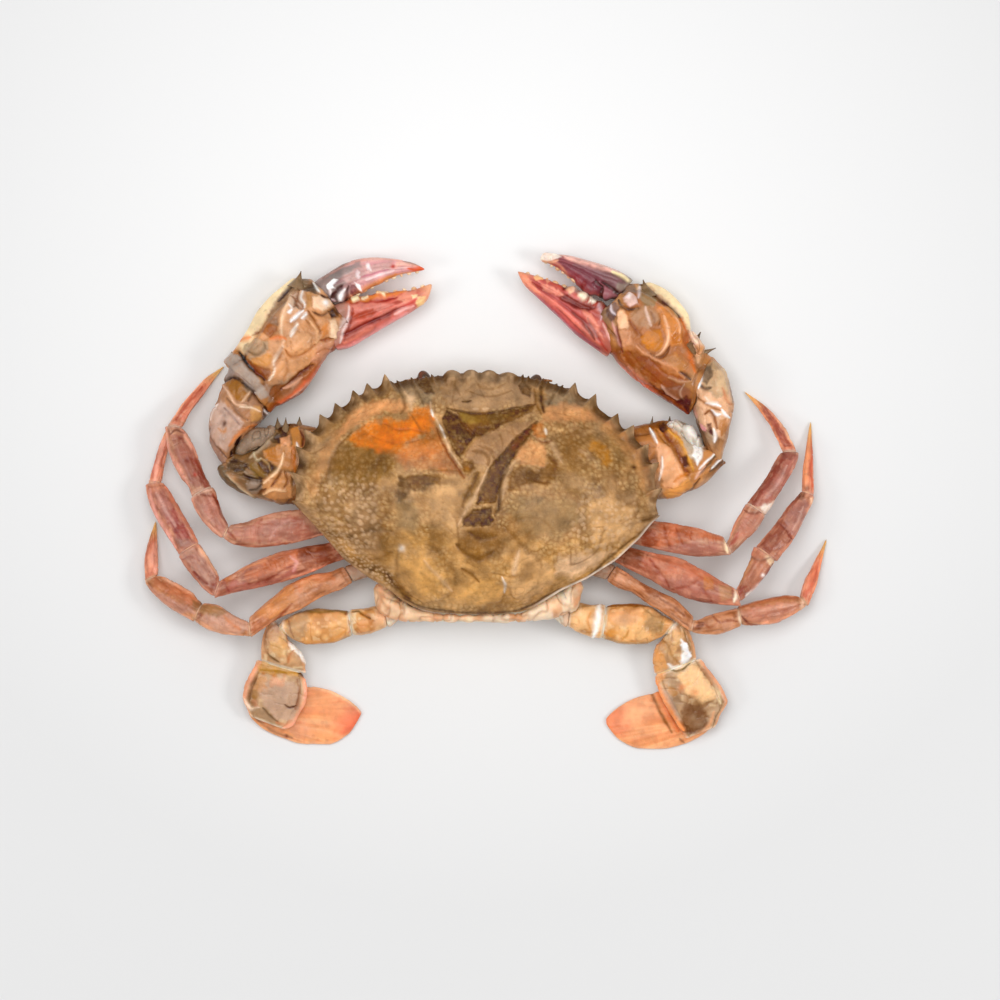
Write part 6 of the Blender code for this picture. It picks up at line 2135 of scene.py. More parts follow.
def ragged(form, seed, reach):
    """Draws both ends of a piece out unevenly round their edge, by reach * (0.5 + 0.5 noise), fading inwards."""
    rings = form["rings"]
    axis = unit(rings[-1].mean(axis=0) - rings[0].mean(axis=0))
    turn = form["turn"]
    for sign, away in ((-1.0, form["t"]), (1.0, 1.0 - form["t"])):
        ring = np.stack([np.cos(turn) * 2.0, np.sin(turn) * 2.0, np.full(turn.shape, 5.0 * sign)], axis=-1)
        wave = 0.5 + 0.5 * np.clip(rough(ring, 1.1, 330 + seed), -1.0, 1.0)
        hold = 1.0 - ease(away * form["length"], 0.0, RAGGED_REACH)
        rings = rings + axis * (sign * reach * wave * hold)[..., None]
    form["rings"] = rings
    return form


def leg_look(form, looks, seed, number):
    """Colour of a leg piece: clouds and streaks along it, cross wrinkles, dark lines beside clear glowing edges."""
    space = own_space(form, seed)
    streak = rough(space * np.array([0.22, 1.0, 1.0]), 1.4, 200 + number)
    blotch = rough(space, 3.4, 210 + number)
    tint = blend(looks["base"], looks["dark"], 0.55 * ease(streak, -0.1, 0.9))
    tint = blend(tint, looks["pale"], 0.45 * ease(blotch, 0.0, 0.9))
    tint = blend(tint, looks["dark"], 0.35 * ease(-blotch, 0.15, 0.9))
    fine = rough(space * np.array([0.3, 1.0, 1.0]), 0.6, 220 + number, 2)
    tint = blend(tint, looks["pale"], 0.35 * ease(fine, 0.15, 0.8))
    wrinkle = creases(space * np.array([1.6, 0.7, 0.7]), 2.6, 240 + number, 0.12)
    patchy = ease(noise(space, 3.0, 250 + number), -0.2, 0.4)
    # The wrinkles are sunk in leg_piece: their dark tone is partly the leg's own colour, partly painted shade.
    tint = blend(tint, looks["line"], 0.26 * wrinkle * patchy)
    edge = ease(np.abs(form["side"]), 0.70, 0.90)
    beside = np.exp(-((np.abs(form["side"]) - 0.64) / 0.07) ** 2) * ease(noise(space, 3.0, 260 + number), -0.1, 0.5)
    # The lines beside the edges are sunk as well: partly the leg's own colour, partly painted shade.
    tint = blend(tint, looks["line"], 0.42 * beside)
    broken = 0.35 + 0.65 * ease(noise(space, 3.6, 270 + number) + 0.35 * form["side"], -0.35, 0.45)
    tint = blend(tint, looks["edge"], 0.85 * edge * broken)
    ends = np.minimum(form["t"], 1.0 - form["t"]) * form["length"]
    tint = blend(tint, looks["joint"], 0.6 * (1.0 - ease(ends, 0.2, 1.1)))
    tint = blend(tint, looks["line"], np.exp(-((ends - 1.5) / 0.3) ** 2) * 0.2)
    tint = blend(tint, looks["under"], 0.65 * ease(-form["top"], 0.0, 0.7))
    return tint, streak, fine, wrinkle * patchy + 0.8 * beside


def leg_piece(name, form, looks, seed, number, material, nodes, marks, tip=None):
    """A leg piece with its lengthwise keels and furrows and its own marks."""
    tint, streak, fine, folds = leg_look(form, looks, seed, number)
    keel = np.cos(3.0 * form["turn"] + 0.6 * math.sin(seed))
    depth = 0.14 * ease(keel, 0.2, 1.0) + 0.14 * ease(streak, 0.0, 0.8) + 0.07 * fine + 0.16 * folds
    # Painted shade: where keel is high the shell sinks into a lengthwise furrow, and its upper side is darkened
    # there.
    tint = blend(tint, looks["dark"], 0.2 * ease(keel, 0.55, 1.0) * ease(form["top"], 0.0, 0.4))
    depth, tint = marks_above(form, marks, depth, tint)
    tint = blend(tint, looks["pale"], 0.18 * ease(fine, 0.1, 0.7))
    tint = blend(tint, looks["dark"], 0.18 * ease(-fine, 0.1, 0.7))
    if tip is not None:
        tint = blend(tint, tip, ease(form["t"], 0.6, 0.97) * 0.85)
    lay(name, [tube(sink(form, depth), tint)], material, nodes)


def membrane(middle, plane, left, right, half, looks, seed):
    """The soft skin of a joint: a short barrel that reaches into both pieces and swells a little."""
    forward, across, up = tilted_axes(*plane)
    rows, columns = SKIN_GRID
    place = np.linspace(-1.0, 1.0, rows)
    c, s = oval_of(turns_of(columns))
    shift = (left - right) / 2.0
    width = (left + right) / 2.0
    swell = 0.93 - 0.10 * np.abs(place) ** 1.5
    fold = 0.03 * np.cos(place * 9.0)
    scale = (swell + fold)[:, None]
    centre = middle + forward * (place * SKIN_REACH)[:, None, None]
    rings = sections(centre, across, shift * scale + width * scale * c, up, half * scale * s)
    rings[..., 2] = np.maximum(rings[..., 2], 0.05)
    tint = blend(looks["joint"], looks["pale"], ease(noise(rings, 1.5, 300 + seed), -0.4, 0.6))
    return tube(rings, tint)


def joint_skins(name, code, kinds, points, planes, family, looks, material):
    """All the joint skins of one limb in one piece."""
    shells = []
    for k in range(1, len(kinds)):
        _, _, lefts, rights = PIECES[code + "_" + kinds[k - 1]]
        _, _, more_lefts, more_rights = PIECES[code + "_" + kinds[k]]
        left = min(lefts[-1], more_lefts[0])
        right = min(rights[-1], more_rights[0])
        half = min(THICKNESS[family + "_" + kinds[k - 1]][-1], THICKNESS[family + "_" + kinds[k]][0])
        shells.append(membrane(points[k], planes[k], left, right, half, looks, k))
    lay(name, shells, material, [])


def limb_plan(code):
    """Kinds, joint heights and family of one limb."""
    if code[1] == "c":
        return CLAW_KINDS, CLAW_HEIGHTS, "claw"
    if code[1] == "s":
        return SWIM_KINDS, SWIM_HEIGHTS, "swim"
    return LEG_KINDS, LEG_HEIGHTS[code[1]], "leg"


def coxa_shell(code):
    """The short root piece of a limb, which comes out of the trunk towards it."""
    kinds, heights, family = limb_plan(code)
    points = ends_of(code, kinds, heights)
    first = points[0]
    axis = unit(points[1] - first)
    inward = unit(np.array([COXA_AIM[0] - first[0], COXA_AIM[1] - first[1], 0.0]))
    back = first + inward * COXA_LENGTH[family]
    _, _, lefts, rights = PIECES[code + "_" + kinds[0]]
    scale = COXA_SCALE[family]
    left, right = lefts[0] * scale, rights[0] * scale
    half = THICKNESS[family + "_" + kinds[0]][0] * scale
    rows, columns = COXA_GRID
    row = np.linspace(0.0, 1.0, rows)
    h0, h1 = math.atan2(-inward[1], -inward[0]), math.atan2(axis[1], axis[0])
    h = h0 + turned(h1, h0) * row
    p = math.asin(axis[2]) * row
    centre = back + (first - back) * row[:, None]
    _, across, up = tilted_axes(h, p)
    c, s = oval_of(turns_of(columns))
    lip = 1.0 - 0.16 * np.clip((row - 0.93) / 0.07, 0.0, 1.0) ** 2
    width = (left + right) / 2.0 * lip
    rings = sections(centre[:, None], across[:, None], (left - right) / 2.0 + width[:, None] * c,
                     up[:, None], half * lip[:, None] * s)
    wave = noise(rings, 2.4, 320)
    rings = rings + up[:, None] * (0.12 * wave * s[None])[..., None]
    rings[..., 2] = np.maximum(rings[..., 2], 0.0)
    looks = BELLY_TONES
    tint = blend(looks["base"], looks["pink"], ease(wave, -0.5, 0.6))
    tint = blend(tint, looks["fold"], 0.6 * creases(rings, 2.6, 321, 0.16))
    if family == "leg":
        tint = blend(tint, LEG_TONES["3"]["dark"], 0.55)
    if family == "claw":
        tint = blend(tint, CLAW_TONES["base"], 0.5)
    return tube(rings, tint)


def walking_leg(code, materials):
    """The four pieces of a walking leg and the skins of its joints."""
    side = code[0]
    number = int(code[1])
    kinds, heights, family = limb_plan(code)
    points = ends_of(code, kinds, heights)
    planes = planes_of(code, points)
    looks = LEG_TONES[code[1]]
    for k, kind in enumerate(kinds):
        _, _, lefts, rights = PIECES[code + "_" + kind]
        form = limb(points[k], points[k + 1], lefts, rights, THICKNESS[family + "_" + kind],
                    LEG_ROWS[kind], LEG_COLUMNS, planes[k], planes[k + 1])
        own = dict(looks)
        if kind == "dactyl":
            own.update(DACTYL_TONES)
        name = "leg_%d_%s_%s" % (number, kind, side)
        leg_piece("shell_" + name, form, own, number + 0.37 * k, 10 * number + k, materials["leg"], [name],
                  code + "_" + kind, DACTYL_TIP if kind == "dactyl" else None)
    joint_skins("joint_skins_leg_%d_%s" % (number, side), code, kinds, points, planes, family, looks,
                materials["skin"])


def speckled(form, looks, seed, points):
    """Colour of the broad swimming pieces: orange-tan with pale specks and brown clouds."""
    cloud = rough(points, 3.6, 400 + seed)
    specks = ease(noise(points, 1.1, 410 + seed), 0.28, 0.6)
    tint = blend(looks["base"], looks["dark"], 0.6 * ease(cloud, -0.1, 0.9))
    tint = blend(tint, looks["pale"], 0.65 * ease(-cloud, 0.0, 0.8))
    tint = blend(tint, looks["speck"], 0.55 * specks * ease(form["top"], 0.0, 0.5))
    return tint, cloud, specks


def swimming_leg(code, materials):
    """The four broad pieces of a swimming leg, the skins of its joints, and its paddle."""
    side = code[0]
    kinds, heights, family = limb_plan(code)
    points = ends_of(code, kinds, heights)
    planes = planes_of(code, points)
    for k, kind in enumerate(kinds):
        _, _, lefts, rights = PIECES[code + "_" + kind]
        form = limb(points[k], points[k + 1], lefts, rights, THICKNESS[family + "_" + kind],
                    SWIM_ROWS[kind], SWIM_COLUMNS, planes[k], planes[k + 1])
        looks = SWIM_TONES[kind]
        rings = form["rings"]
        tint, cloud, specks = speckled(form, looks, 3 * k, rings)
        folds = creases(rings, 3.2, 430 + k, 0.13)
        rim = ease(np.abs(form["side"]), 0.80, 0.97)
        tint = blend(tint, looks["rim"], 0.85 * rim)
        # The folds are sunk and darkened: partly the shell's own colour, partly painted shade.
        tint = blend(tint, looks["dark"], 0.5 * folds * (1.0 - rim))
        ends = np.minimum(form["t"], 1.0 - form["t"]) * form["length"]
        tint = blend(tint, looks["joint"], 0.7 * (1.0 - ease(ends, 0.1, 1.0)))
        tint = blend(tint, looks["under"], 0.6 * ease(-form["top"], 0.0, 0.6))
        groove = np.zeros(folds.shape)
        if kind == "propodus":
            inner = np.abs(np.abs(form["side"]) - 0.78)
            groove = np.exp(-(inner / 0.035) ** 2) * ease(form["top"], 0.0, 0.2)
            # The groove inside each rim is sunk and darkened: partly the shell's own colour, partly painted shade.
            tint = blend(tint, looks["dark"], 0.6 * groove)
        depth = 0.12 * folds + 0.08 * cloud - 0.05 * specks + 0.22 * groove
        depth, tint = marks_above(form, code + "_" + kind, depth, tint)
        name = "swim_%s_%s" % (kind, side)
        lay("shell_" + name, [tube(sink(form, depth), tint)], materials["swim"],
            [name])
    joint_skins("joint_skins_swim_" + side, code, kinds, points, planes, family, SWIM_TONES["base"],
                materials["skin"])
    paddle(code, side, materials)


def paddle(code, side, materials):
    """The oval paddle: thin, with a faint midrib, fine rays that spread from its root and a redder tip."""
    length, degrees, lefts, rights = PIECES[code + "_paddle"]
    start = np.array([*PADDLE_START[code], PADDLE_Z[0]])
    end = end_of(start, length, degrees, PADDLE_Z[1])
    form = limb(start, end, lefts, rights, THICKNESS["swim_paddle"], *PADDLE_GRID)
    rings = form["rings"]
    spread = form["across"] / np.maximum(0.35 + form["t"] * 1.2, 0.35)
    rays = noise(np.stack([spread * 2.2, form["t"] * 2.0, np.zeros(spread.shape)], axis=-1), 1.0, 460)
    rib = np.exp(-(form["across"] / 0.7) ** 2) * (1.0 - ease(form["t"], 0.6, 0.9))
    rim = ease(np.abs(form["side"]), 0.86, 0.985)
    tint = blend(PADDLE_TONES["base"], PADDLE_TONES["pale"], 0.55 * ease(rays, -0.1, 0.7))
    tint = blend(tint, PADDLE_TONES["dark"], 0.35 * ease(-rays, 0.1, 0.8) + 0.25 * rib)
    dots = ease(noise(rings, 1.2, 462), 0.35, 0.6)
    tint = blend(tint, PADDLE_TONES["dark"], 0.25 * dots)
    tint = blend(tint, PADDLE_TONES["tip"], 0.75 * ease(form["t"] + 0.12 * noise(rings, 4.0, 463), 0.66, 0.98))
    tint = blend(tint, PADDLE_TONES["rim"], 0.7 * rim)
    depth = 0.05 * rays - 0.10 * rib * ease(form["top"], 0.0, 0.4)
    depth, tint = marks_above(form, code + "_paddle", depth, tint)
    name = "swim_paddle_" + side
    lay("shell_" + name, [tube(sink(form, depth), tint)], materials["paddle"], [name])


def spike(tip, heading_degrees, length, half, tones, seed):
    """A broad-based thorn: the radius falls to a blunt point, r = half (0.08 + 1.7 (1 - t)^1.5)."""
    forward, across = level_axes(math.radians(heading_degrees))
    rows, columns = SPIKE_GRID
    t = np.linspace(0.0, 1.0, rows)
    radius = half * (0.08 + 1.7 * (1.0 - t) ** 1.5)
    foot = np.asarray(tip) - forward * length
    rings = round_sections(foot + forward * (t * length)[:, None, None], across, UP, radius, turns_of(columns))
    tint = blend(tones["base"], tones["tip"], np.tile(ease(t, 0.55, 1.0)[:, None], (1, columns)))
    tint = blend(tint, tones["dark"], 0.5 * ease(noise(rings, 1.2, 500 + seed), 0.0, 0.7))
    return tube(rings, tint)


def molar(tip, heading, length, half, tones, seed):
    """A blunt crushing tooth: an egg, (x/a)^2 + (y/b)^2 + (z/b)^2 = 1, half sunk in the finger."""
    random = np.random.default_rng(seed)
    a = length * (0.55 + 0.65 * random.random()) * 0.5
    b = half * (0.6 + 0.75 * random.random())
    forward, across = level_axes(heading)
    rows, columns = MOLAR_GRID
    lie = math.pi * np.linspace(0.04, 0.96, rows)
    centre = np.asarray(tip) - forward * a + forward * (-a * np.cos(lie))[:, None, None]
    rings = round_sections(centre, across, UP, b * np.sin(lie) ** 0.8, turns_of(columns))
    whole = random.uniform(0.35, 1.0) * ease(-np.cos(lie), -0.4, 0.5)
    tint = blend(tones["root"], tones["tooth"], np.tile(whole[:, None], (1, columns)))
    return tube(rings, tint)


def row_of_molars(start, end, inner, side, seed, tones):
    """Teeth along the inner edge of a finger: large near the hinge, smaller towards the tip."""
    axis = end - start
    heading = math.atan2(axis[1], axis[0])
    across = level_axes(heading)[1] * side
    random = np.random.default_rng(seed)
    shells = []
    for k in range(TOOTH_COUNT):
        t = 0.3 + 0.62 * k / (TOOTH_COUNT - 1)
        edge = float(np.interp(t, STATIONS, inner))
        size = 1.0 - 0.5 * k / (TOOTH_COUNT - 1)
        size *= 0.85 + 0.3 * random.random()
        tip = start + axis * t + across * (edge + TOOTH_RISE * size * 0.75)
        shells.append(molar(tip, heading + math.pi / 2.0 * side, TOOTH_RISE * TOOTH_ROOTED * size,
                            TOOTH_HALF * size * 1.05, tones, seed + k))
    return shells


def crumpled(form, seed, size, strength):
    """Deep winding folds of a soft claw, in the space of the claw, with a few long furrows along it."""
    space = own_space(form, seed)
    stretched = space * np.array([0.55, 1.0, 0.7])
    broad = creases(stretched, size, 600 + seed, 0.15, 1.1)
    middle = creases(stretched, size * 0.55, 610 + seed, 0.15, 1.1)
    small = creases(space, size * 0.28, 620 + seed, 0.18, 0.9)
    swell = noise(stretched, size * 0.9, 630 + seed)
    # How dark each fold is painted: partly the claw's own colour, partly painted shade in the sunk folds.
    dark = np.clip(0.9 * broad + 0.55 * middle + 0.25 * small, 0.0, 1.0)
    return strength * (0.75 * broad + 0.45 * middle + 0.18 * small - 0.9 * swell), dark, swell


def claw_tint(form, looks, seed, dark, swell):
    """Colour of a claw piece: warm brown with grey and orange clouds, and dark lines in its folds, partly painted
    shade.
    """
    space = own_space(form, seed)
    cloud = rough(space, 8.0, 640 + seed, 2)
    tint = blend(looks["base"], looks["warm"], 0.85 * ease(cloud, -0.15, 0.7))
    tint = blend(tint, looks["grey"], 0.8 * ease(-cloud, 0.1, 0.8))
    tint = blend(tint, looks["pale"], 0.6 * ease(swell, 0.15, 0.8))
    # The sunk folds darkened: partly the claw's own colour, partly painted shade.
    tint = blend(tint, looks["dark"], 0.62 * dark)
    tint = blend(tint, looks["under"], 0.6 * ease(-form["top"], 0.0, 0.6))
    return tint


def finger_shell(form, name, looks, seed, grooves, outer):
    """A finger: smooth glossy keels along it, dark furrows between them, a bright rim and a darker root."""
    space = own_space(form, seed)
    streak = rough(space * np.array([0.10, 1.0, 0.6]), 1.7, 700 + seed)
    tint = blend(looks["base"], looks["pale"], 0.55 * ease(streak, 0.0, 0.8))
    tint = blend(tint, looks["dark"], 0.5 * ease(-streak, 0.0, 0.8))
    tint = blend(tint, looks["root"], 1.0 - ease(form["t"] + 0.06 * noise(space, 3.0, 710), 0.08, 0.5))
    depth = 0.06 * streak
    # Each groove is sunk and darkened: partly the finger's own colour, partly painted shade.
    for place, width, rise, strength in grooves:
        w = np.exp(-((form["side"] - place) / width) ** 2) * ease(form["top"], -0.1, 0.3)
        w = w * ease(form["t"], 0.05, 0.2) * (1.0 - ease(form["t"], 0.78, 0.95))
        depth = depth + rise * w
        tint = blend(tint, looks["dark"], strength * w)
    rim = ease(form["side"] * outer, 0.70, 0.92)
    tint = blend(tint, looks["rim"], 0.85 * rim * ease(form["t"], 0.0, 0.25))
    inner = ease(-form["side"] * outer, 0.65, 0.92)
    tint = blend(tint, looks["inner"], 0.8 * inner * ease(form["t"], 0.1, 0.3))
    tint = blend(tint, looks["tip"], 0.85 * ease(form["t"], 0.82, 0.98))
    tint = blend(tint, looks["under"], 0.5 * ease(-form["top"], 0.0, 0.6))
    knobs = 0.5 + 0.5 * noise(space * np.array([1.0, 0.2, 0.2]), 1.9, 720 + seed)
    bite = inner * ease(form["t"], 0.03, 0.12) * (1.0 - ease(form["t"], 0.45, 0.8))
    depth = depth - bite * (0.25 + 1.1 * knobs)
    depth, tint = marks_above(form, name, depth, tint)
    return tube(sink(form, depth), tint)


def claw(code, materials):
    """The three crumpled pieces of a claw with their spines, its joint skins, and its two fingers."""
    side = code[0]
    kinds, heights, family = limb_plan(code)
    points = ends_of(code, kinds, heights)
    planes = planes_of(code, points)
    looks = CLAW_TONES
    outer = 1.0 if side == "l" else -1.0
    for k, kind in enumerate(kinds):
        _, _, lefts, rights = PIECES[code + "_" + kind]
        form = limb(points[k], points[k + 1], lefts, rights, THICKNESS[family + "_" + kind],
                    CLAW_ROWS[kind], CLAW_COLUMNS, planes[k], planes[k + 1], outer if kind == "palm" else None)
        seed = CLAW_SEEDS[code][k]
        form = ragged(form, seed, CUFF_REACH)
        depth, dark, swell = crumpled(form, seed, CLAW_FOLD[kind], 0.42)
        tint = claw_tint(form, looks, seed, dark, swell)
        name = "claw_%s_%s" % (kind, side)
        if kind == "palm":
            flange = (ease(form["side"] * outer, 0.66, 0.74) * ease(form["t"], 0.10, 0.2)
                      * (1.0 - ease(form["t"], 0.88, 0.97)))
            tint = blend(tint, looks["flange"], 0.92 * flange)
            border = np.exp(-((form["side"] * outer - 0.655) / 0.03) ** 2) * ease(form["t"], 0.08, 0.2)
            tint = blend(tint, looks["dark"], 0.7 * border * (1.0 - ease(form["t"], 0.9, 1.0)))
            depth = depth * (1.0 - flange)
            inner = ease(-form["side"] * outer, 0.72, 0.95)
            tint = blend(tint, looks["red"], 0.75 * inner * ease(form["top"], -0.8, 0.0))
        depth, tint = marks_above(form, code + "_" + kind, depth, tint)
        shells = [tube(sink(form, depth), tint)]
        for number, (x, y, z, heading, length, half) in enumerate(SPINES.get(name, ())):
            shells.append(spike((x, y, z), heading, length, half, SPINE_TONES, number))
        lay("shell_" + name, shells, materials["claw"], [name])
    joint_skins("joint_skins_claw_" + side, code, kinds, points, planes, family, SKIN_TONES, materials["skin"])
    fingers(code, side, outer, points, materials)


def fingers(code, side, outer, points, materials):
    """The moving finger at the end of the palm, and the fixed one that grows from the palm's corner."""
    axis = points[3] - points[2]
    heading = math.atan2(axis[1], axis[0])
    offset, clear = FINGER_START[code]
    forward, across = level_axes(heading)
    start = points[3] + across * offset + forward * clear
    start[2] = FINGER_Z[0]
    length, degrees, lefts, rights = PIECES[code + "_finger"]
    end = end_of(start, length, degrees, FINGER_Z[1])
    form = limb(start, end, lefts, rights, THICKNESS["claw_finger"], *FINGER_GRID, (heading, 0.0))
    tones = FINGER_TONES[side]
    moving = [finger_shell(form, code + "_finger", tones, 3 if side == "l" else 5, FINGER_GROOVES, outer)]
    inner = rights if side == "l" else lefts
    teeth = row_of_molars(start, end, inner, -outer, 40 if side == "l" else 60, MOLAR_TONES)
    lay("shell_claw_finger_" + side, moving + teeth, materials["finger"], ["claw_finger_" + side])
    start = np.array([*THUMB_START[code], FINGER_Z[0]])
    length, degrees, lefts, rights = PIECES[code + "_thumb"]
    end = end_of(start, length, degrees, FINGER_Z[1])
    form = limb(start, end, lefts, rights, THICKNESS["claw_thumb"], *FINGER_GRID)
    tones = THUMB_TONES[side]
    fixed = [finger_shell(form, code + "_thumb", tones, 7 if side == "l" else 9, THUMB_GROOVES, -outer)]
    inner = lefts if side == "l" else rights
    teeth = row_of_molars(start, end, inner, outer, 80 if side == "l" else 100, MOLAR_TONES)
    lay("shell_claw_thumb_" + side, fixed + teeth, materials["finger"], ["claw_palm_" + side])


def plate(path, half_thick, offset, grid, tones, seed, segments):
    """A thin plate that follows a path in the middle plane, its section |x/a|^2.9 + |n/b|^2.9 = 1, with joints."""
    rows, columns = grid
    path = np.array(path)
    k = np.linspace(0.0, len(path) - 1.0, rows)
    y, z, half = (np.interp(k, np.arange(len(path)), path[:, column]) for column in range(3))
    dy, dz = np.gradient(y), np.gradient(z)
    size = np.hypot(dy, dz)
    normal = np.stack([np.zeros(rows), -dz / size, dy / size], axis=-1)
    centre = np.stack([np.full(rows, offset), y, z], axis=-1)
    turn = turns_of(columns)
    c, s = power_of(np.cos(turn), 0.7), power_of(np.sin(turn), 0.7)
    t = np.linspace(0.0, 1.0, rows)
    lip = 1.0 - 0.5 * np.clip(1.0 - np.minimum(t, 1.0 - t) / 0.02, 0.0, 1.0) ** 2
    joint = np.zeros(rows)
    for place in segments:
        joint = np.maximum(joint, np.exp(-((t - place) / 0.012) ** 2))
    thick = half_thick * lip * (1.0 - 0.45 * joint)
    wide = half * (0.97 + 0.03 * lip) - 0.25 * joint
    rings = sections(centre[:, None], np.array([1.0, 0.0, 0.0]), wide[:, None] * c,
                     normal[:, None], thick[:, None] * s)
    rings[..., 2] = np.maximum(rings[..., 2], 0.0)
    tint = blend(tones["base"], tones["pink"], ease(rough(rings, 5.0, 800 + seed), -0.3, 0.8))
    tint = blend(tint, tones["white"], 0.5 * ease(noise(rings, 2.6, 810 + seed), 0.0, 0.7))
    tint = blend(tint, tones["fold"], 0.75 * np.tile(joint[:, None], (1, columns)))
    return tube(rings, tint)


def skin_roll(name, stops, tones, rows, seed, material, fold=3.0, shade=0.45):
    """A roll of soft folded skin: a flat tube of many widths through the stops, with pleats and closed ends."""
    k = np.linspace(0.0, len(stops) - 1.0, rows)
    stops = np.array(stops)
    x, y, wide, half, level = (np.interp(k, np.arange(len(stops)), stops[:, c]) for c in range(5))
    centre = np.stack([(x - GRID_MIDDLE[0]) * GRID_STEP, (GRID_MIDDLE[1] - y) * GRID_STEP, level], axis=-1)
    forward = np.gradient(centre, axis=0)
    heading = np.arctan2(forward[:, 1], forward[:, 0])
    across = np.stack([-np.sin(heading), np.cos(heading), np.zeros(len(k))], axis=-1)
    turn = turns_of(ROLL_COLUMNS)
    closing = np.sqrt(np.clip(1.0 - np.clip(1.0 - np.minimum(k, k[::-1]) / 0.5, 0.0, 1.0) ** 2, 0.02, 1.0))
    wide = wide * GRID_STEP * closing
    rings = sections(centre[:, None], across[:, None], wide[:, None] * np.cos(turn),
                     UP, (half * closing)[:, None] * np.sin(turn))
    pleat = creases(rings * np.array([1.2, 0.5, 0.5]), fold, seed, 0.16)
    swell = noise(rings * np.array([1.0, 0.6, 0.6]), 2.4, seed + 1)
    out = rings - centre[:, None]
    size = np.maximum(np.linalg.norm(out, axis=-1, keepdims=True), 0.2)
    rings = rings + out / size * (closing[:, None] * (0.35 * swell - 0.40 * pleat))[..., None]
    tint = blend(tones["base"], tones["pink"], 0.85 * ease(rough(rings, 3.4, seed + 2), -0.3, 0.8))
    tint = blend(tint, tones["cream"], 0.8 * ease(swell + 0.012 * rings[..., 0], 0.0, 0.7))
    tint = blend(tint, tones["fold"], shade * pleat)
    lay(name, [tube(rings, tint)], material, [])


def small_parts(materials):
    """The tail flap under the body, the two mouth covers, the eyes on their stalks and the feelers."""
    skin_roll("rear_skin", REAR_SKIN, REAR_TONES, REAR_ROWS, 950, materials["skin"])
    for number, (name, stops) in enumerate(CLAW_SKINS.items()):
        skin_roll(name, stops, CLAW_SKIN_TONES[name], ROLL_ROWS, 960 + 4 * number, materials["skin"],
                  2.2, 0.5)
    flap = plate(ABDOMEN_PATH, ABDOMEN_HALF, 0.0, FLAP_GRID, BELLY_TONES, 1, ABDOMEN_JOINTS)
    lay("tail_flap", [flap], materials["belly"], ["abdomen"])
    path = [(y, z, MOUTH_HALF_WIDTHS[k]) for k, (y, z) in enumerate(MOUTH_PATH)]
    for side, sign in (("l", -1.0), ("r", 1.0)):
        cover = plate(path, MOUTH_HALF, sign * MOUTH_X, MOUTH_GRID, MOUTH_TONES, 3, (0.42,))
        lay("mouth_plate_" + side, [cover], materials["belly"], ["mouth_cover_" + side])
    for side, x, y, z, heading in EYES:
        eye_parts(side, x, y, z, heading, materials)
    for kind, (root, lengths, headings, halves) in FEELERS.items():
        for side, sign in (("l", -1.0), ("r", 1.0)):
            rings = feeler_rings(root, lengths, headings, halves, sign)
            band = 0.5 + 0.5 * np.cos(np.linspace(0.0, 60.0, len(rings)))
            tint = blend(CLAW_TONES["base"], CLAW_TONES["dark"], np.tile(0.6 * band[:, None], (1, rings.shape[1])))
            lay("%s_ringed_%s" % (kind, side), [tube(rings, tint)], materials["claw"], [kind + "_" + side])


def eye_parts(side, x, y, z, heading_degrees, materials):
    """An egg-shaped eye with its dark facets, on a short ringed stalk."""
    forward, across = level_axes(math.radians(heading_degrees))
    rows, columns = EYE_GRID
    turn = turns_of(columns)
    lie = np.linspace(-EYE_CUT, 0.985, rows)
    wide = np.sqrt(1.0 - lie * lie)[:, None]
    centre = np.array([x, y, z]) + forward * GAP + forward * (EYE_RADII[0] * lie)[:, None, None]
    rings = sections(centre, across, EYE_RADII[1] * wide * np.cos(turn), UP, EYE_RADII[2] * wide * np.sin(turn))
    tint = blend(EYE_TONES["base"], EYE_TONES["red"], ease(noise(rings, 1.1, 900), 0.0, 0.7) * 0.8)
    lay("eyeball_" + side, [tube(rings, tint)], materials["eye"], ["eye_" + side])
    end = np.array([x, y, z]) - forward * (EYE_RADII[0] * EYE_CUT)
    t = np.linspace(0.0, 1.0, STALK_ROWS)
    radius = np.interp(t, (0.0, 0.5, 1.0), (STALK_HALF[0], STALK_HALF[0], STALK_HALF[1]))
    radius = radius * (1.0 + 0.04 * np.cos(t * 30.0))
    centre = end - forward * (STALK_LENGTH * (1.0 - t))[:, None, None]
    rings = round_sections(centre, across, UP, radius, turn)
    tint = blend(CLAW_TONES["grey"], CLAW_TONES["pale"], ease(noise(rings, 1.0, 910), -0.3, 0.6))
    lay("eyestalk_skin_" + side, [tube(rings, tint)], materials["claw"], ["eyestalk_" + side])


def feeler_rings(root, lengths, headings, halves, sign):
    """Round sections along a feeler whose heading changes smoothly, beaded by 1 + 0.06 cos."""
    stops = [np.array([sign * root[0], root[1], root[2]])]
    turns = []
    for k, length in enumerate(lengths):
        turn = math.radians(headings[k] if sign > 0 else 180.0 - headings[k])
        stops.append(stops[-1] + np.array([math.cos(turn), math.sin(turn), FEELER_RISE]) * length)
        turns.append(turn)
    turns = [turns[0]] + turns
    rows, columns = FEELER_GRID
    k = np.linspace(0.0, len(lengths), rows)
    stops = np.array(stops)
    centre = np.stack([np.interp(k, np.arange(len(stops)), stops[:, c]) for c in range(3)], axis=-1)
    h = np.interp(k, np.arange(len(turns)), turns)
    radius = np.interp(k, np.arange(len(halves)), halves) * (1.0 + 0.06 * np.cos(np.arange(rows) * 1.9))
    across = np.stack([-np.sin(h), np.cos(h), np.zeros(rows)], axis=-1)
    return round_sections(centre[:, None], across[:, None], UP, radius, turns_of(columns))


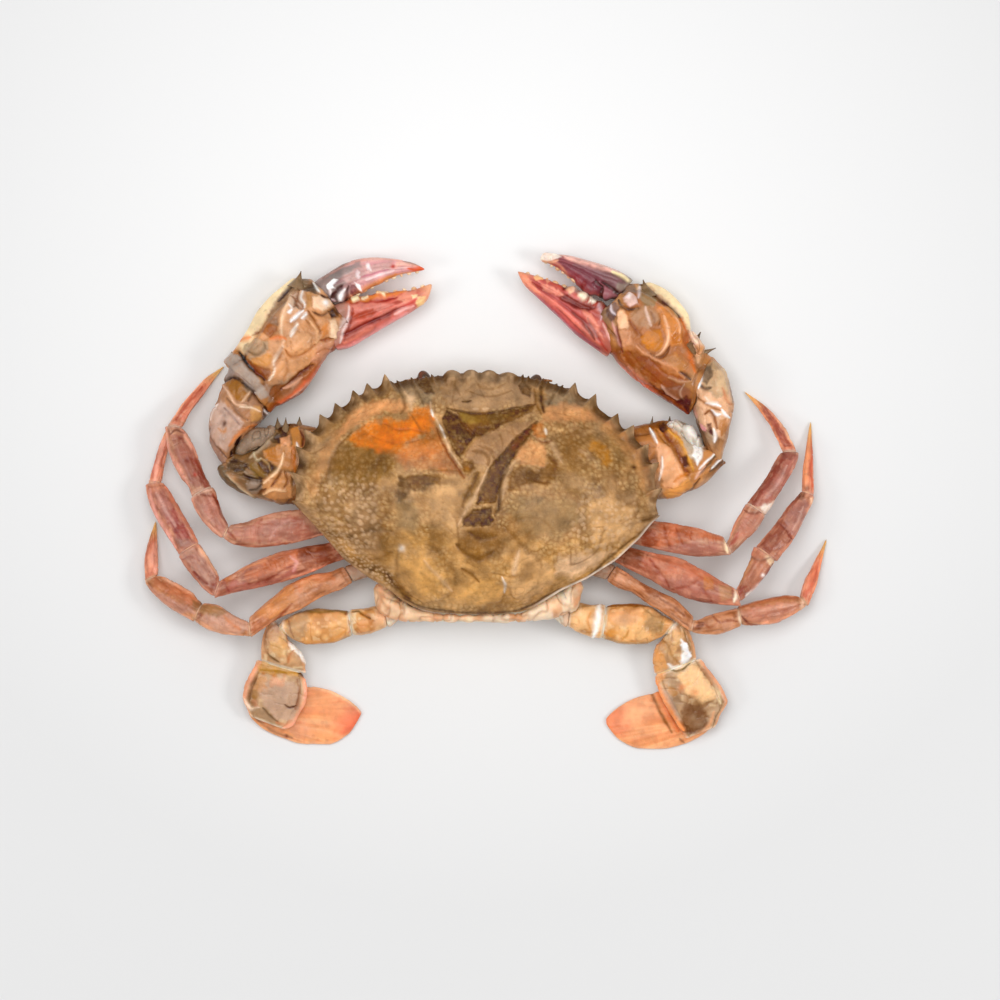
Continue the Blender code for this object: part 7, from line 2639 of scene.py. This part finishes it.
# The floor's tones and the middle of its painted pool of light, which fades from FLOOR_NEAR to FLOOR_FAR.
FLOOR_TONES = (tone("ededed"), tone("d8d8d8"))
FLOOR_LIGHT_POOL_MIDDLE = (0.0, 0.06, 0.0)
WORLD_LIGHT = 0.50
LAMPS = (
    ("large lamp above", (-0.15, 0.25, 1.35), 1.0, 10.4),
    ("left lamp", (-0.9, -0.2, 0.8), 0.3, 1.8),
    ("right lamp", (0.8, -0.1, 0.8), 0.3, 3.0),
)
LENS = 500.0
VIEW_X = 0.005914
VIEW_WIDTH = 0.2688
VIEW_LEVEL = 0.012
FLOOR_HALF = 6.0
FLOOR_NEAR = 0.03
FLOOR_FAR = 0.17
SENSOR = 36.0
LAMP_AIM = (0.006, 0.0, 0.01)
FILM_BEND = 1.36
# The pale warm tone of the glints that the wet materials paint into their base colour.
GLINT_TONE = (0.84, 0.58, 0.32)
LIGHT_REACH = (0.0022, 0.0010, 0.0005)
WRINKLE_HEIGHT = 0.0002


def link_noise(tree, coordinates, scale, detail, roughness=0.5):
    """A noise that is fixed to the piece itself."""
    node = tree.nodes.new("ShaderNodeTexNoise")
    node.inputs["Scale"].default_value = scale
    node.inputs["Detail"].default_value = detail
    node.inputs["Roughness"].default_value = roughness
    tree.links.new(coordinates.outputs["Object"], node.inputs["Vector"])
    return node.outputs["Fac"]


def link_range(tree, value, low, high, to_low, to_high):
    """Stretches low..high to to_low..to_high, and holds it there."""
    node = tree.nodes.new("ShaderNodeMapRange")
    node.inputs["From Min"].default_value = low
    node.inputs["From Max"].default_value = high
    node.inputs["To Min"].default_value = to_low
    node.inputs["To Max"].default_value = to_high
    tree.links.new(value, node.inputs["Value"])
    return node.outputs["Result"]


def link_mix(tree, share, first, second, kind="MIX"):
    """Mixes two tones by a share, either of which may be a number or another node."""
    node = tree.nodes.new("ShaderNodeMix")
    node.data_type = "RGBA"
    node.blend_type = kind
    sockets = [s for s in node.inputs if s.type == "RGBA"]
    factor = node.inputs["Factor"]
    if isinstance(share, float):
        factor.default_value = share
    else:
        tree.links.new(share, factor)
    for socket, value in zip(sockets, (first, second)):
        if isinstance(value, (tuple, list, np.ndarray)):
            socket.default_value = tuple(value)[:3] + (1.0,)
        else:
            tree.links.new(value, socket)
    return [s for s in node.outputs if s.type == "RGBA"][0]


def wet_shell(name, gloss, coat, coat_rough, through, fine, bump, pore_tone, mottle=0.20):
    """Wet new shell: its tint with two sizes of mottling, pores, painted glints, uneven gloss, fine wrinkles and a
    water film.
    """
    surface = bpy.data.materials.new(name)
    surface.use_nodes = True
    tree = surface.node_tree
    shader = tree.nodes["Principled BSDF"]
    coordinates = tree.nodes.new("ShaderNodeTexCoord")
    tint = tree.nodes.new("ShaderNodeVertexColor")
    tint.layer_name = "tint"
    broad = link_noise(tree, coordinates, 260.0, 4.0)
    small = link_noise(tree, coordinates, fine, 3.0, 0.6)
    grain = link_noise(tree, coordinates, fine * 2.6, 2.0)
    lift = link_range(tree, broad, 0.3, 0.7, 1.0 - mottle, 1.0 + mottle)
    combine = tree.nodes.new("ShaderNodeCombineColor")
    for socket in combine.inputs:
        if socket.type == "VALUE":
            tree.links.new(lift, socket)
    colour = link_mix(tree, 1.0, tint.outputs["Color"], combine.outputs["Color"], "MULTIPLY")
    pores = link_range(tree, small, 0.58, 0.72, 0.0, 0.26)
    colour = link_mix(tree, pores, colour, pore_tone)
    # Painted highlights: small pale warm specks mixed into the base colour as glints.
    glints = link_range(tree, grain, 0.62, 0.76, 0.0, 0.10)
    colour = link_mix(tree, glints, colour, GLINT_TONE)
    tree.links.new(colour, shader.inputs["Base Color"])
    rough_value = link_range(tree, small, 0.3, 0.7, gloss, gloss + 0.22)
    tree.links.new(rough_value, shader.inputs["Roughness"])
    heights = tree.nodes.new("ShaderNodeMath")
    heights.operation = "ADD"
    tree.links.new(small, heights.inputs[0])
    tree.links.new(grain, heights.inputs[1])
    relief = tree.nodes.new("ShaderNodeBump")
    relief.inputs["Strength"].default_value = bump
    relief.inputs["Distance"].default_value = WRINKLE_HEIGHT
    tree.links.new(heights.outputs[0], relief.inputs["Height"])
    tree.links.new(relief.outputs["Normal"], shader.inputs["Normal"])
    shader.inputs["Specular IOR Level"].default_value = 0.2
    shader.inputs["Coat Weight"].default_value = coat
    shader.inputs["Coat Roughness"].default_value = coat_rough
    shader.inputs["Coat IOR"].default_value = FILM_BEND
    shader.inputs["Subsurface Weight"].default_value = through
    shader.inputs["Subsurface Radius"].default_value = LIGHT_REACH
    shader.inputs["Subsurface Scale"].default_value = 1.0
    return surface


def all_materials():
    """The wet surfaces of the animal, from dull shell to glassy eye."""
    return {
        "shell": wet_shell("wet mottled shell", 0.42, 0.19, 0.18, 0.05, 900.0, 0.40, tone("5a3c1c"), 0.30),
        "belly": wet_shell("damp belly skin", 0.42, 0.30, 0.20, 0.25, 700.0, 0.30, tone("c8a684")),
        "leg": wet_shell("glossy leg shell", 0.32, 0.40, 0.13, 0.12, 1100.0, 0.35, tone("6a3020")),
        "claw": wet_shell("wrinkled claw shell", 0.30, 0.45, 0.10, 0.10, 900.0, 0.40, tone("6a3c20")),
        "finger": wet_shell("glossy finger shell", 0.26, 0.55, 0.09, 0.12, 1200.0, 0.25, tone("7a3a38")),
        "swim": wet_shell("speckled swimming shell", 0.32, 0.50, 0.14, 0.15, 1000.0, 0.35, tone("8a5c30")),
        "paddle": wet_shell("thin paddle shell", 0.38, 0.35, 0.18, 0.30, 1200.0, 0.25, tone("d0784c")),
        "skin": wet_shell("joint skin", 0.40, 0.50, 0.15, 0.35, 1500.0, 0.30, tone("d8bca0")),
        "eye": wet_shell("wet eye", 0.12, 1.00, 0.03, 0.00, 2200.0, 0.15, tone("1a0f0a")),
    }


def pale_floor():
    """A wide level floor with a painted pool of light, palest behind the animal and a little darker farther away.
    """
    mesh = bpy.data.meshes.new("floor")
    half = FLOOR_HALF
    corners = [(-half, -half, 0.0), (half, -half, 0.0), (half, half, 0.0), (-half, half, 0.0)]
    mesh.from_pydata(corners, [], [(0, 1, 2, 3)])
    surface = bpy.data.materials.new("pale floor")
    surface.use_nodes = True
    tree = surface.node_tree
    shader = tree.nodes["Principled BSDF"]
    coordinates = tree.nodes.new("ShaderNodeTexCoord")
    cloud = link_noise(tree, coordinates, 0.7, 2.0)
    away = tree.nodes.new("ShaderNodeVectorMath")
    away.operation = "DISTANCE"
    away.inputs[1].default_value = FLOOR_LIGHT_POOL_MIDDLE
    tree.links.new(coordinates.outputs["Object"], away.inputs[0])
    # Painted pool of light: the floor darkens from its palest tone with distance from the middle.
    far = link_range(tree, away.outputs["Value"], FLOOR_NEAR, FLOOR_FAR, 0.0, 1.0)
    colour = link_mix(tree, far, FLOOR_TONES[0], FLOOR_TONES[1])
    colour = link_mix(tree, link_range(tree, cloud, 0.3, 0.7, 0.0, 0.15), colour, FLOOR_TONES[1])
    tree.links.new(colour, shader.inputs["Base Color"])
    shader.inputs["Roughness"].default_value = 0.7
    mesh.materials.append(surface)
    floor = bpy.data.objects.new("floor", mesh)
    bpy.context.scene.collection.objects.link(floor)


def lamp(name, place, size, power):
    """A square soft lamp that faces the animal."""
    data = bpy.data.lights.new(name, "AREA")
    data.size = size
    data.energy = power
    thing = bpy.data.objects.new(name, data)
    thing.location = place
    direction = mathutils.Vector(LAMP_AIM) - mathutils.Vector(place)
    thing.rotation_euler = direction.to_track_quat("-Z", "Y").to_euler()
    bpy.context.scene.collection.objects.link(thing)


def stage_and_camera():
    """The floor, a soft studio light all round, a few soft lamps, and a long lens straight above."""
    scene = bpy.context.scene
    scene.view_settings.view_transform = "Standard"
    world = bpy.data.worlds.new("studio")
    world.use_nodes = True
    world.node_tree.nodes["Background"].inputs["Color"].default_value = (1.0, 1.0, 1.0, 1.0)
    world.node_tree.nodes["Background"].inputs["Strength"].default_value = WORLD_LIGHT
    scene.world = world
    pale_floor()
    for name, place, size, power in LAMPS:
        lamp(name, place, size, power)
    data = bpy.data.cameras.new("camera")
    data.lens = LENS
    data.sensor_width = SENSOR
    data.clip_end = 30.0
    camera = bpy.data.objects.new("camera", data)
    camera.location = (VIEW_X, 0.0, VIEW_LEVEL + VIEW_WIDTH * LENS / SENSOR)
    bpy.context.scene.collection.objects.link(camera)
    scene.camera = camera


def main():
    """The whole animal, piece by piece, then its stage."""
    materials = all_materials()
    carapace_piece(materials["shell"])
    underbody_piece(materials["belly"])
    small_parts(materials)
    for side in ("l", "r"):
        claw(side + "c", materials)
        for number in ("1", "2", "3"):
            walking_leg(side + number, materials)
        swimming_leg(side + "s", materials)
    stage_and_camera()


main()
